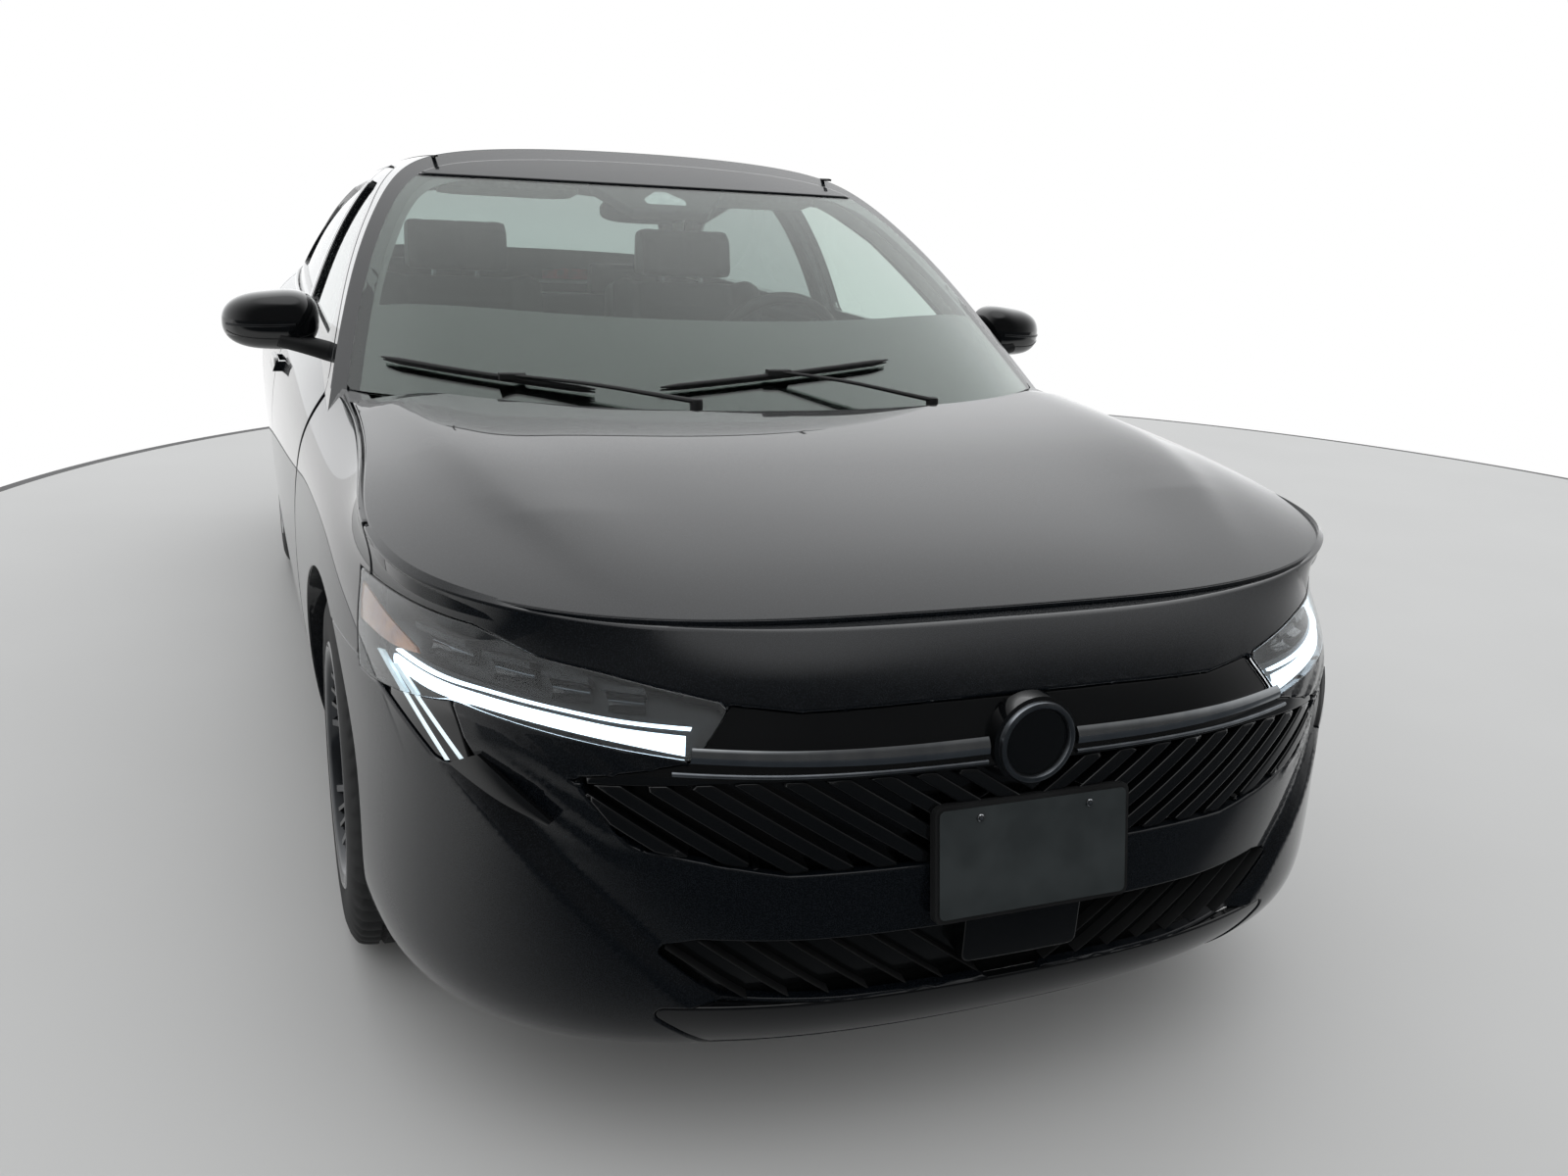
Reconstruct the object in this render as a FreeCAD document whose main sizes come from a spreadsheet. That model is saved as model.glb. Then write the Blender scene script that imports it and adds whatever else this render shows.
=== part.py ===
"""Four-door sedan car, at its real size.

Frame: +X to the car's left, +Y to its tail, +Z up, origin on the ground under the middle of its overall length,
from the front edge of the number plate holder to the tail.
The body's skin is a few spline surfaces. Each is a net of poles, written as shares of the driving sizes, and the
panels are thick shells of those surfaces, divided where the real panels meet. Running gear and seats are plain solids.
"""
import FreeCAD, Part
import math
import os
import re

import Sketcher

Vector = FreeCAD.Vector
doc = FreeCAD.newDocument("Sedan")

SIZES = {
    # Driving dimensions of the whole car
    "front_overhang": 905.0, "wheelbase": 2706.0, "rear_overhang": 1045.0,
    "body_width": 1816.0, "body_height": 1448.0,
    # Wheels
    "tyre_radius": 326.0, "tyre_width": 205.0, "tyre_round": 26.0, "tyre_bead": 14.0, "rim_radius": 208.0,
    "rim_lip": 14.0, "rim_wall": 9.0, "tyre_inset": 30.0, "arch_gap": 34.0, "well_gap": 74.0, "well_depth": 320.0,
    "liner_wall": 6.0, "spoke_wide": 34.0, "spoke_thick": 20.0, "spoke_seat": 52.0, "spoke_out": 18.0,
    "hub_radius": 60.0, "spindle_radius": 22.0, "spindle_play": 0.3, "spindle_reach": 18.0, "stub_long": 20.0,
    "disc_radius": 140.0, "disc_thick": 22.0,
    # Skin and panels
    "door_gap": 6.0, "panel_gap": 5.0, "seat_gap": 0.4, "wall": 110.0, "door_skin": 62.0, "flange": 45.0,
    "plug_gap": 12.0, "roof_wall": 50.0, "frame_skin": 26.0, "lid_skin": 28.0, "glass_thick": 5.0,
    "glass_inset": 9.0, "edge_round": 40.0,
    # Floor and structure
    "sheet_thick": 16.0, "floor_thick": 30.0, "tunnel_half": 130.0, "rail_inner": 370.0, "rail_outer": 445.0,
    "rail_low": 400.0, "rail_top": 490.0, "tower_low": 730.0, "tower_plate": 20.0, "apron_inner": 690.0,
    "apron_outer": 750.0, "apron_high": 60.0, "beam_deep": 60.0,
    # Steering and suspension
    "ball_inset": 67.5, "ball_high": 190.0, "steer_lean": 14.1, "strut_radius": 20.0, "spring_radius": 54.0,
    "collar_wall": 10.0, "collar_low": 450.0, "collar_top": 500.0, "pin_radius": 14.0, "pin_play": 0.3,
    "upright_inner": 60.0, "upright_outer": 28.0, "boss_radius": 50.0, "arm_half": 30.0, "spindle_back": 85.0,
    "caliper_near": 100.0, "caliper_far": 182.0, "caliper_half": 58.0, "caliper_out": 44.0, "run_gap": 5.5,
    "arm_thick": 26.0, "arm_low": 165.0, "shaft_radius": 14.0, "boot_radius": 40.0, "pipe_radius": 23.0,
    "pipe_high": 154.0, "beam_radius": 26.0, "beam_high": 282.0, "trail_inner": 555.0, "trail_outer": 600.0,
    # Cabin
    "seat_width": 500.0, "seat_round": 30.0, "seat_apart": 720.0, "rest_width": 260.0, "bench_width": 1190.0,
    "dash_width": 1390.0, "console_width": 210.0, "steering_radius": 180.0, "steering_grip": 15.0,
    "steering_side": 362.0, "steering_high": 935.0, "steering_rake": 24.0, "column_radius": 24.0,
    "column_long": 200.0, "spoke_high": 30.0, "bag_radius": 72.0, "bag_deep": 46.0,
    # Small outside pieces
    "handle_long": 190.0, "handle_high": 26.0, "handle_out": 24.0, "handle_thick": 10.0, "blade_radius": 7.0,
    "plate_wide": 318.0, "plate_high": 168.0, "plate_deep": 16.0, "plate_lead": 24.0, "plate_low": 392.0, "plate_lean": 9.6, "badge_radius": 62.0, "badge_deep": 18.0,
    "strip_high": 24.0, "slat_thick": 14.0, "grille_back": 8.0, "slat_front": 8.0, "lamp_deep": 90.0,
    "mirror_wide": 200.0, "mirror_high": 120.0, "mirror_deep": 150.0,
}

sheet = doc.addObject("Spreadsheet::Sheet", "Sizes")
for row, (name, value) in enumerate(SIZES.items(), start=1):
    sheet.set("A%d" % row, name)
    sheet.set("B%d" % row, str(value))
    sheet.setAlias("B%d" % row, name)
doc.recompute()


def size(name):
    return float(sheet.get(name))


HALF = size("body_width") / 2
HIGH = size("body_height")
LENGTH = size("front_overhang") + size("wheelbase") + size("rear_overhang")
FRONT_AXLE = size("front_overhang") + (size("plate_lead") - LENGTH) / 2
REAR_AXLE = FRONT_AXLE + size("wheelbase")


def along(station):
    """Place along the car: 0 is the nose, 1 the front axle, 2 the rear axle and 3 the tail."""
    if station <= 1:
        return FRONT_AXLE + (station - 1) * size("front_overhang")
    if station <= 2:
        return FRONT_AXLE + (station - 1) * size("wheelbase")
    return REAR_AXLE + (station - 2) * size("rear_overhang")


def at(across_share, station, up_share):
    return Vector(across_share * HALF, along(station), up_share * HIGH)


# The wrap surface runs from the middle of the nose round the side to the middle of the tail.
# Its columns are (share of half width, station).
WRAP_COLUMN_SHARES = [
    (0, 0.0), (0.26, 0.0), (0.50, 0.045), (0.70, 0.135), (0.845, 0.285), (0.925, 0.47), (0.965, 0.72),
    (0.985, 1.0), (0.992, 1.16), (1.002, 1.33), (1.006, 1.52), (1.002, 1.72), (0.998, 1.90), (0.995, 2.08),
    (0.985, 2.32), (0.955, 2.55), (0.875, 2.77), (0.72, 2.91), (0.49, 2.975), (0.25, 3.0), (0, 3.0)]
# Each row: height shares and width factors by column, and how far nose and tail draw in, as station shares.
WRAP_ROW_SHARES = [
    ({0: .118, 4: .118, 7: .128, 10: .128, 13: .130, 16: .150, 20: .175},
     {0: .96, 5: .965, 8: .905, 12: .905, 15: .93, 20: .93}, .085, .13),
    ({0: .146, 4: .148, 7: .165, 10: .172, 13: .175, 16: .190, 20: .215},
     {0: 1.0, 5: 1.01, 8: .955, 12: .955, 15: .98, 20: .98}, .012, .035),
    ({0: .215, 4: .222, 7: .240, 10: .255, 13: .260, 16: .270, 20: .290},
     {0: 1.0, 5: 1.015, 8: .985, 12: .985, 20: 1.0}, 0, 0),
    ({0: .310, 4: .325, 7: .345, 10: .355, 13: .360, 16: .370, 20: .385}, {0: 1.0, 20: 1.0}, 0, 0),
    ({0: .390, 4: .410, 7: .435, 10: .455, 13: .465, 16: .470, 20: .470},
     {0: 1.0, 10: 1.004, 13: 1.012, 20: 1.0}, 0, 0),
    ({0: .460, 4: .480, 7: .520, 10: .550, 13: .570, 16: .575, 20: .565},
     {0: .985, 4: .985, 7: .993, 10: .995, 13: 1.006, 16: .985, 20: .985}, .030, .050),
    ({0: .513, 4: .525, 7: .580, 10: .630, 13: .668, 16: .680, 20: .675},
     {0: .955, 4: .945, 7: .972, 10: .960, 13: .965, 16: .94, 20: .95}, .095, .095)]
# The wrap's top row is the bonnet line, then the waist, then the boot's edge: (width share, station, height share).
WAIST_SHARES = [
    (0, .165, .539), (.25, .165, .539), (.47, .180, .538), (.68, .235, .535), (.83, .320, .530), (.912, .435, .527),
    (.940, .66, .545), (.895, .93, .585), (.880, 1.11, .632), (.900, 1.31, .668), (.900, 1.52, .680),
    (.896, 1.72, .690), (.885, 1.90, .700), (.855, 2.08, .712), (.795, 2.32, .735), (.735, 2.55, .752),
    (.69, 2.76, .760), (.60, 2.86, .763), (.43, 2.905, .765), (.22, 2.915, .766), (0, 2.915, .766)]
LAST = len(WRAP_COLUMN_SHARES) - 1
CORNER_COLUMNS = 5

BONNET_ACROSS_SHARES = [0, .22, .45, .66, .84, 1.02]
BONNET_STATIONS = [.05, .22, .42, .68, .95, 1.15, 1.3]
BONNET_HEIGHT_SHARES = [
    [.512, .512, .510, .503, .492, .478], [.556, .556, .553, .548, .540, .530], [.590, .590, .588, .586, .582, .556],
    [.620, .621, .623, .626, .622, .574], [.646, .647, .650, .654, .646, .592], [.664, .665, .668, .671, .661, .612],
    [.676, .677, .679, .682, .672, .63]]
DECK_ACROSS_SHARES = [0, .25, .50, .70, .85]
DECK_STATIONS = [2.20, 2.40, 2.60, 2.80, 2.96, 3.1]
DECK_HEIGHT_SHARES = [
    [.748, .747, .744, .738, .728], [.753, .752, .749, .743, .734], [.758, .757, .755, .750, .742],
    [.762, .761, .759, .755, .748], [.768, .767, .764, .759, .752], [.776, .775, .771, .765, .757]]
# The cabin's outer surface: sections from the waist over the roof, (width share, height share), at each station.
CABIN_STATIONS = [1.00, 1.18, 1.36, 1.55, 1.75, 1.95, 2.15, 2.35, 2.60]
CABIN_SECTION_SHARES = [
    [(.93, .600), (.900, .660), (.850, .770), (.775, .860), (.690, .925), (.560, .955), (.30, .967), (0, .970)],
    [(.925, .615), (.896, .675), (.842, .785), (.762, .880), (.678, .944), (.548, .972), (.30, .985), (0, .989)],
    [(.922, .630), (.892, .685), (.835, .793), (.752, .890), (.668, .956), (.540, .983), (.30, .996), (0, .9995)],
    [(.920, .635), (.888, .690), (.828, .798), (.744, .894), (.660, .961), (.535, .987), (.30, 1.000), (0, 1.003)],
    [(.916, .640), (.884, .695), (.820, .798), (.736, .888), (.652, .953), (.53, .980), (.30, .993), (0, .9965)],
    [(.906, .645), (.872, .700), (.806, .793), (.722, .874), (.640, .934), (.52, .961), (.29, .977), (0, .981)],
    [(.884, .650), (.848, .705), (.782, .783), (.700, .850), (.622, .904), (.51, .930), (.28, .947), (0, .952)],
    [(.850, .655), (.812, .712), (.745, .775), (.670, .825), (.60, .870), (.49, .893), (.27, .909), (0, .914)],
    [(.80, .660), (.76, .715), (.70, .765), (.64, .80), (.57, .83), (.46, .85), (.26, .86), (0, .865)]]
# Windscreen and back window: at each height share, the stations at these width shares.
SCREEN_ACROSS_SHARES = [0, .30, .55, .72, .86, 1.0]
WINDSCREEN_SHARES = [
    (.600, [1.018, 1.022, 1.042, 1.070, 1.113, 1.168]), (.655, [1.070, 1.074, 1.094, 1.122, 1.165, 1.220]),
    (.76, [1.170, 1.174, 1.194, 1.222, 1.262, 1.315]), (.87, [1.277, 1.281, 1.301, 1.328, 1.365, 1.418]),
    (.965, [1.385, 1.389, 1.409, 1.436, 1.472, 1.525]), (1.03, [1.475, 1.479, 1.499, 1.526, 1.56, 1.610])]
BACK_WINDOW_SHARES = [
    (.62, [2.580, 2.576, 2.55, 2.51, 2.45, 2.38]), (.70, [2.44, 2.436, 2.41, 2.37, 2.31, 2.24]),
    (.80, [2.265, 2.261, 2.237, 2.20, 2.145, 2.075]), (.90, [2.075, 2.071, 2.05, 2.02, 1.97, 1.90]),
    (1.0, [1.87, 1.866, 1.848, 1.82, 1.775, 1.71])]


def keyed(keys, column):
    """A value given at some columns, read between them."""
    known = sorted(keys)
    for low, high in zip(known, known[1:]):
        if low <= column <= high:
            part = (column - low) / (high - low)
            return keys[low] * (1 - part) + keys[high] * part


def wrap_poles():
    rows = []
    for heights, widths, nose_in, tail_in in WRAP_ROW_SHARES:
        row = []
        for column, (across, station) in enumerate(WRAP_COLUMN_SHARES):
            nose = max(0, 1 - max(0, column - 2) / CORNER_COLUMNS)
            tail = max(0, 1 - max(0, LAST - column - 2) / CORNER_COLUMNS)
            moved = station + nose_in * nose if station < 1.2 else station - tail_in * tail
            row.append(at(across * keyed(widths, column), moved, keyed(heights, column)))
        rows.append(row)
    rows.append(list(WAIST_POLES))
    return rows


def inward(row, column):
    """The level direction into the car at a pole of the wrap."""
    run = row[min(column + 1, LAST)] - row[max(column - 1, 0)]
    normal = Vector(-run.y, run.x, 0)
    if column in (0, LAST):
        normal.x = 0
    return normal.normalize()


def wrap_inner(depth, top_depth, top_drop):
    """The wrap's poles moved in by depth. The top row moves by top_depth and drops by top_drop."""
    rows = wrap_poles()
    moved = [[pole + inward(row, c) * depth for c, pole in enumerate(row)] for row in rows[:-1]]
    top = rows[-1]
    moved.append([pole + inward(top, c) * top_depth - Vector(0, 0, top_drop) for c, pole in enumerate(top)])
    return moved


def spline_surface(poles, degree=3):
    """A clamped, evenly knotted surface on a net of poles."""
    def knots(count):
        inner = count - degree
        return [i / inner for i in range(inner + 1)], [degree + 1] + [1] * (inner - 1) + [degree + 1]
    rows, columns = len(poles), len(poles[0])
    v_knots, v_mults = knots(rows)
    u_knots, u_mults = knots(columns)
    surface = Part.BSplineSurface()
    surface.buildFromPolesMultsKnots(poles, v_mults, u_mults, v_knots, u_knots, False, False, degree, degree)
    return surface


def spline_edge(poles, degree=3):
    inner = len(poles) - degree
    curve = Part.BSplineCurve()
    curve.buildFromPolesMultsKnots(
        poles, [degree + 1] + [1] * (inner - 1) + [degree + 1], [i / inner for i in range(inner + 1)], False, degree)
    return curve.toShape()


def between(outer, inner):
    """The closed solid between two nets of like size."""
    sides = [(outer[0], inner[0]), (outer[-1], inner[-1]),
             ([r[0] for r in outer], [r[0] for r in inner]), ([r[-1] for r in outer], [r[-1] for r in inner])]
    faces = [spline_surface(outer).toShape(), spline_surface(inner).toShape()]
    faces += [Part.makeRuledSurface(spline_edge(a), spline_edge(b)) for a, b in sides]
    shell = Part.Shell(faces)
    shell.sewShape()
    solid = Part.Solid(shell)
    if solid.Volume < 0:
        solid.reverse()
    return solid


def field_poles(across_shares, stations, height_shares):
    """A net over the plan, the same on both sides."""
    rows = []
    for station, heights in zip(stations, height_shares):
        half = list(zip(across_shares, heights))
        full = [(-a, h) for a, h in reversed(half[1:])] + half
        rows.append([at(a, station, h) for a, h in full])
    return rows


def cabin_poles(depth=0):
    """The cabin's net, moved in square to its sections by depth."""
    rows = []
    for station, section in zip(CABIN_STATIONS, CABIN_SECTION_SHARES):
        half = [at(a, station, h) for a, h in section]
        moved = []
        for i, pole in enumerate(half):
            run = half[min(i + 1, len(half) - 1)] - half[max(i - 1, 0)]
            if i == len(half) - 1:
                run = Vector(-1, 0, 0)
            moved.append(pole + Vector(-run.z, 0, run.x).normalize() * depth)
        rows.append([Vector(-p.x, p.y, p.z) for p in moved[:-1]] + list(reversed(moved)))
    return rows


def screen_poles(screen_shares):
    rows = []
    for height, stations in screen_shares:
        half = list(zip(SCREEN_ACROSS_SHARES, stations))
        full = [(-a, s) for a, s in reversed(half[1:])] + half
        rows.append([at(a, s, height) for a, s in full])
    return rows


def extruded(poles, run):
    solid = spline_surface(poles).toShape().extrude(run)
    if solid.Volume < 0:
        solid.reverse()
    return solid


def rounded_wire(corners, plane):
    """A closed wire through corners (a, b, radius), with an arc at each corner that has a radius."""
    lift = {"side": lambda a, b: Vector(0, a, b), "front": lambda a, b: Vector(a, 0, b),
            "plan": lambda a, b: Vector(a, b, 0)}[plane]
    points = [lift(a, b) for a, b, _ in corners]
    trims = []
    for i, (_, _, radius) in enumerate(corners):
        here, before, after = points[i], points[i - 1], points[(i + 1) % len(points)]
        one, two = (before - here).normalize(), (after - here).normalize()
        turn = one.getAngle(two)
        back = min(radius / math.tan(turn / 2), 0.45 * (before - here).Length, 0.45 * (after - here).Length)
        if back < 0.01 * min((before - here).Length, (after - here).Length):
            trims.append((here, here, here))
            continue
        reach = back * math.tan(turn / 2)
        bisector = (one + two).normalize()
        middle = here + bisector * (reach / math.sin(turn / 2) - reach)
        trims.append((here + one * back, middle, here + two * back))
    edges = []
    for i, (start, middle, end) in enumerate(trims):
        following = trims[(i + 1) % len(trims)][0]
        if (start - end).Length > 0:
            edges.append(Part.Arc(start, middle, end).toShape())
        edges.append(Part.LineSegment(end, following).toShape())
    return Part.Wire(edges)


def prism(wire, low, high, direction):
    """The wire's face moved to low and swept to high along direction."""
    face = Part.Face(wire)
    face.translate(direction * low)
    solid = face.extrude(direction * (high - low))
    if solid.Volume < 0:
        solid.reverse()
    return solid


X_AXIS, Y_AXIS, Z_AXIS = Vector(1, 0, 0), Vector(0, 1, 0), Vector(0, 0, 1)


def side_corners(share_corners, shift=0):
    """Corners (station, height share, radius as a share of the edge round) in the side view."""
    return [(along(s) + shift, h * HIGH, r * size("edge_round")) for s, h, r in share_corners]


def side_prism(share_corners, offset=0, low=0.45, high=1.3):
    wire = rounded_wire(side_corners(share_corners), "side")
    if offset:
        wire = wire.makeOffset2D(offset)
    return prism(wire, low * HALF, high * HALF, X_AXIS)


def front_prism(share_corners, from_station, to_station, offset=0):
    """Corners (width share, height share, radius share) in the front view."""
    wire = rounded_wire([(a * HALF, h * HIGH, r * size("edge_round")) for a, h, r in share_corners], "front")
    if offset:
        wire = wire.makeOffset2D(offset)
    return prism(wire, along(from_station), along(to_station), Y_AXIS)


def mirrored(shape):
    return shape.mirror(Vector(0, 0, 0), X_AXIS)


def both_sides(shape):
    return shape.fuse(mirrored(shape)).removeSplitter()


def largest(shape):
    """The main solid of a result that may have crumbs."""
    return max(shape.Solids, key=lambda solid: solid.Volume)


def box_between(x_pair, y_pair, z_pair):
    low = Vector(min(x_pair), min(y_pair), min(z_pair))
    high = Vector(max(x_pair), max(y_pair), max(z_pair))
    reach = high - low
    return Part.makeBox(reach.x, reach.y, reach.z, low)


NODES = []


def keep(label, shape):
    """Stores a finished shape as a feature of the document."""
    node = doc.addObject("Part::Feature", label)
    node.Label = label
    node.Shape = shape
    node.Placement = FreeCAD.Placement()
    NODES.append(node)
    return node


# Skin surfaces and the thick shells made from them
BONNET_POLES = field_poles(BONNET_ACROSS_SHARES, BONNET_STATIONS, BONNET_HEIGHT_SHARES)
DECK_POLES = field_poles(DECK_ACROSS_SHARES, DECK_STATIONS, DECK_HEIGHT_SHARES)
WINDSCREEN_POLES = screen_poles(WINDSCREEN_SHARES)
BACK_WINDOW_POLES = screen_poles(BACK_WINDOW_SHARES)
WALL, DOOR_SKIN = size("wall"), size("door_skin")
GAP, PANEL_GAP, SEAT_GAP = size("door_gap"), size("panel_gap"), size("seat_gap")
FOLD, GLASS, LID = size("flange"), size("glass_thick"), size("lid_skin")
TYRE_SIDE = HALF - size("tyre_inset")
WHEEL_MIDDLE = TYRE_SIDE - size("tyre_width") / 2
AXLE_HIGH = size("tyre_radius")


def height_over(surface, x, y):
    """The height of a surface over a place in the plan."""
    upright = Part.LineSegment(Vector(x, y, 0), Vector(x, y, 2 * HIGH))
    points, _ = upright.intersectCS(surface)
    return points[0].Z


def laid_waist():
    """The wrap's top row, laid on the bonnet and on the boot's deck where it borders them."""
    poles = [at(*place) for place in WAIST_SHARES]
    stations = [station for _, station, _ in WAIST_SHARES]
    fields = [(spline_surface(BONNET_POLES), [i for i, s in enumerate(stations) if s < 1.2]),
              (spline_surface(DECK_POLES), [i for i, s in enumerate(stations) if s > 2.5])]
    inner = len(poles) - 3
    knots = [0, 0, 0] + [i / inner for i in range(inner + 1)] + [1, 1, 1]
    for _ in range(4):
        curve = spline_edge(poles).Curve
        for surface, columns in fields:
            for c in columns:
                here = curve.value(sum(knots[c + 1:c + 4]) / 3)
                poles[c] = poles[c] + Vector(0, 0, height_over(surface, here.x, here.y) - here.z)
    return poles


WAIST_POLES = laid_waist()


def wrap_shell(depth, start=0):
    outer = wrap_inner(start, start, 0) if start else wrap_poles()
    return between(outer, wrap_inner(depth, depth, 0))


def moved_poles(poles, run):
    return [[pole + run for pole in row] for row in poles]


def plan_of_waist(inset, low=0.05, high=1.1):
    """The plan inside the wrap's top row, moved in by inset, as an upright solid."""
    half = [pole + inward(WAIST_POLES, c) * inset for c, pole in enumerate(WAIST_POLES)]
    half = [Vector(pole.x, pole.y, 0) for pole in half]
    other = [Vector(-pole.x, pole.y, 0) for pole in half]
    wire = Part.Wire([spline_edge(half), spline_edge(other)])
    return prism(wire, low * HIGH, high * HIGH, Z_AXIS)


def plan_strip(front_shares, back_shares, front_shift=0, back_shift=0, low=0.05, high=1.1):
    """The plan between two curves across the car, each a list of (width share, station) from the middle out."""
    def curve(shares, shift):
        half = [Vector(a * HALF, along(s) + shift, 0) for a, s in shares]
        return [Vector(-p.x, p.y, 0) for p in reversed(half[1:])] + half
    front, back = curve(front_shares, front_shift), curve(back_shares, back_shift)
    wire = Part.Wire([spline_edge(front), Part.makeLine(front[-1], back[-1]), spline_edge(list(reversed(back))),
                      Part.makeLine(back[0], front[0])])
    return prism(wire, low * HIGH, high * HIGH, Z_AXIS)


def behind_screen(poles, inset=0):
    """Everything behind and under the windscreen's surface, moved in square to it by about inset."""
    tilt = poles[-1][0] - poles[0][0]
    inside = Vector(0, tilt.z, -tilt.y).normalize()
    return extruded(moved_poles(poles, inside * inset), Vector(0, 2 * LENGTH, 0))


def screen_slab(poles, start, depth, ahead):
    tilt = poles[-1][0] - poles[0][0]
    inside = Vector(0, tilt.z, -tilt.y).normalize() * ahead
    return extruded(moved_poles(poles, inside * start), inside * depth)


# Outlines in the side view: (station, height share, corner radius as a share of edge_round)
FRONT_DOOR_SHARES = [
    (1.222, .172, 1), (1.204, .42, 3), (1.212, .655, 1), (1.245, .700, 1), (1.400, .880, 3), (1.490, .951, 3),
    (1.604, .956, .6), (1.598, .70, 1), (1.598, .172, 1)]
REAR_DOOR_SHARES = [
    (1.602, .172, 1), (1.602, .70, 1), (1.608, .956, .6), (1.80, .945, 6), (1.95, .893, 3), (2.050, .825, 1.2),
    (2.030, .70, 2), (1.975, .57, 4), (1.900, .44, 6), (1.858, .32, 4), (1.852, .172, 1)]
FRONT_PANE_SHARES = [
    (1.275, .694, .8), (1.415, .868, 2), (1.500, .926, 3), (1.588, .931, .5), (1.584, .709, .5)]
REAR_PANE_SHARES = [
    (1.622, .711, .5), (1.624, .931, .5), (1.800, .917, 5), (1.930, .874, 3), (2.018, .815, .8), (1.995, .738, .8)]
BODY_SIDE_SHARES = [
    (1.160, .08, 0), (1.160, .60, 0), (1.06, .60, 0), (1.06, 1.1, 0), (3.2, 1.1, 0), (3.2, .612, 0),
    (2.765, .604, 0), (2.36, .495, 1), (2.10, .495, 0), (2.10, .08, 0)]
FRONT_FOOT_SHARES = [(1.0, .08, 0), (1.0, 1.1, 0), (1.222, 1.1, 0), (1.222, .08, 0)]
FENDER_SHARES = [
    (.615, .450, 0), (.680, .530, 0), (.68, .75, 0), (1.200, .75, 0), (1.202, .08, 0), (.90, .08, 0), (.90, .450, 0)]
BUMPER_SHARES = [(-.2, .02, 0), (-.2, .60, 0), (.62, .60, 0), (.60, .450, 0), (.95, .450, 0), (.95, .02, 0)]
REAR_BUMPER_SHARES = [
    (2.10, .02, 0), (2.10, .495, 0), (2.36, .495, 1), (2.765, .604, 0), (3.2, .612, 0), (3.2, .02, 0)]
BONNET_BACK_SHARES = [(0, 1.035), (.30, 1.038), (.55, 1.056), (.72, 1.085), (.86, 1.120), (1.05, 1.16)]
AHEAD_SHARES = [(0, -.2), (.5, -.2), (1.05, -.2)]
COWL_BACK_SHARES = [(0, 1.16), (.30, 1.16), (.55, 1.18), (.70, 1.205), (.78, 1.22)]
COWL_FRONT_SHARES = [(0, .990), (.30, .990), (.55, 1.005), (.70, 1.025), (.78, 1.04)]
LID_FRONT_SHARES = [(0, 2.385), (.30, 2.382), (.50, 2.368), (.64, 2.335)]
LID_TAIL_SHARES = [(0, 3.2), (.30, 3.2), (.50, 3.2), (.64, 3.2)]
# Outlines seen along the car: (width share, height share, corner radius as a share of edge_round)
LID_BACK_SHARES = [
    (-.500, .512, 1), (.500, .512, 1), (.570, .620, 2), (.600, .720, 2), (.600, .90, 0), (-.600, .90, 0),
    (-.600, .720, 2), (-.570, .620, 2)]
ROOF_SIDE_SHARE = .575
TAIL_LAMP_SHARES = [(.30, .665, .3), (.30, .700, .3), (.60, .735, 1), (1.1, .738, 0), (1.1, .618, 0), (.70, .618, .5)]
TAIL_LAMP_FRONT = 2.62
HEADLAMP_SHARES = [
    (.470, .4835, .2), (.530, .4365, .2), (.720, .4515, 1), (.832, .4600, 1), (.93, .4400, 0), (1.2, .44, 0),
    (1.2, .545, 0), (.800, .530, .3), (.720, .5120, 1), (.640, .5050, 2)]
HEADLAMP_END_SHARES = [(-.2, .30, 0), (-.2, .70, 0), (.720, .60, 0), (.600, .44, 0), (.50, .30, 0)]
GRILLE_SHARES = [
    (-.460, .417, .3), (.460, .417, .3), (.690, .409, .2), (.620, .352, .6), (.395, .326, .3), (-.395, .326, .3),
    (-.620, .352, .6), (-.690, .409, .2)]
INTAKE_SHARES = [
    (-.520, .258, .6), (.520, .258, .6), (.585, .247, .2), (.484, .191, .2), (-.484, .191, .2), (-.585, .247, .2)]

well_radius = size("tyre_radius") + size("well_gap")
arch_radius = size("tyre_radius") + size("arch_gap")


def round_space(station, inner, outer, radius):
    """A round space across the car at an axle, on the left."""
    return Part.makeCylinder(radius, outer - inner, Vector(inner, along(station), AXLE_HIGH), X_AXIS)


front_well_inner = WHEEL_MIDDLE - size("well_depth")
rear_well_inner = TYRE_SIDE - size("tyre_width") - size("wall") / 2
arches = [round_space(s, 0, 2 * HALF, arch_radius) for s in (1, 2)]
wells = [round_space(1, front_well_inner, HALF - FOLD, well_radius),
         round_space(2, rear_well_inner, HALF - FOLD, well_radius)]
arch_space = arches[0].fuse(arches[1:])
well_space = wells[0].fuse(wells[1:])

wrap_skin = wrap_shell(FOLD)
wrap_wall = wrap_shell(WALL)
door_layer = wrap_shell(DOOR_SKIN)
gap_layer = wrap_shell(DOOR_SKIN + GAP)
cabin_wall = between(cabin_poles(), cabin_poles(size("roof_wall")))
cabin_layer = between(cabin_poles(), cabin_poles(size("frame_skin")))
cabin_gap_layer = between(cabin_poles(), cabin_poles(size("frame_skin") + GAP))
bonnet_slab = extruded(BONNET_POLES, Vector(0, 0, -LID))
deck_slab = extruded(DECK_POLES, Vector(0, 0, -LID))
over_bonnet = extruded(moved_poles(BONNET_POLES, Vector(0, 0, -LID - GAP)), Vector(0, 0, HIGH))
over_deck = extruded(moved_poles(DECK_POLES, Vector(0, 0, -LID - GAP)), Vector(0, 0, HIGH))
LIP = PANEL_GAP / 2

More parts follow.
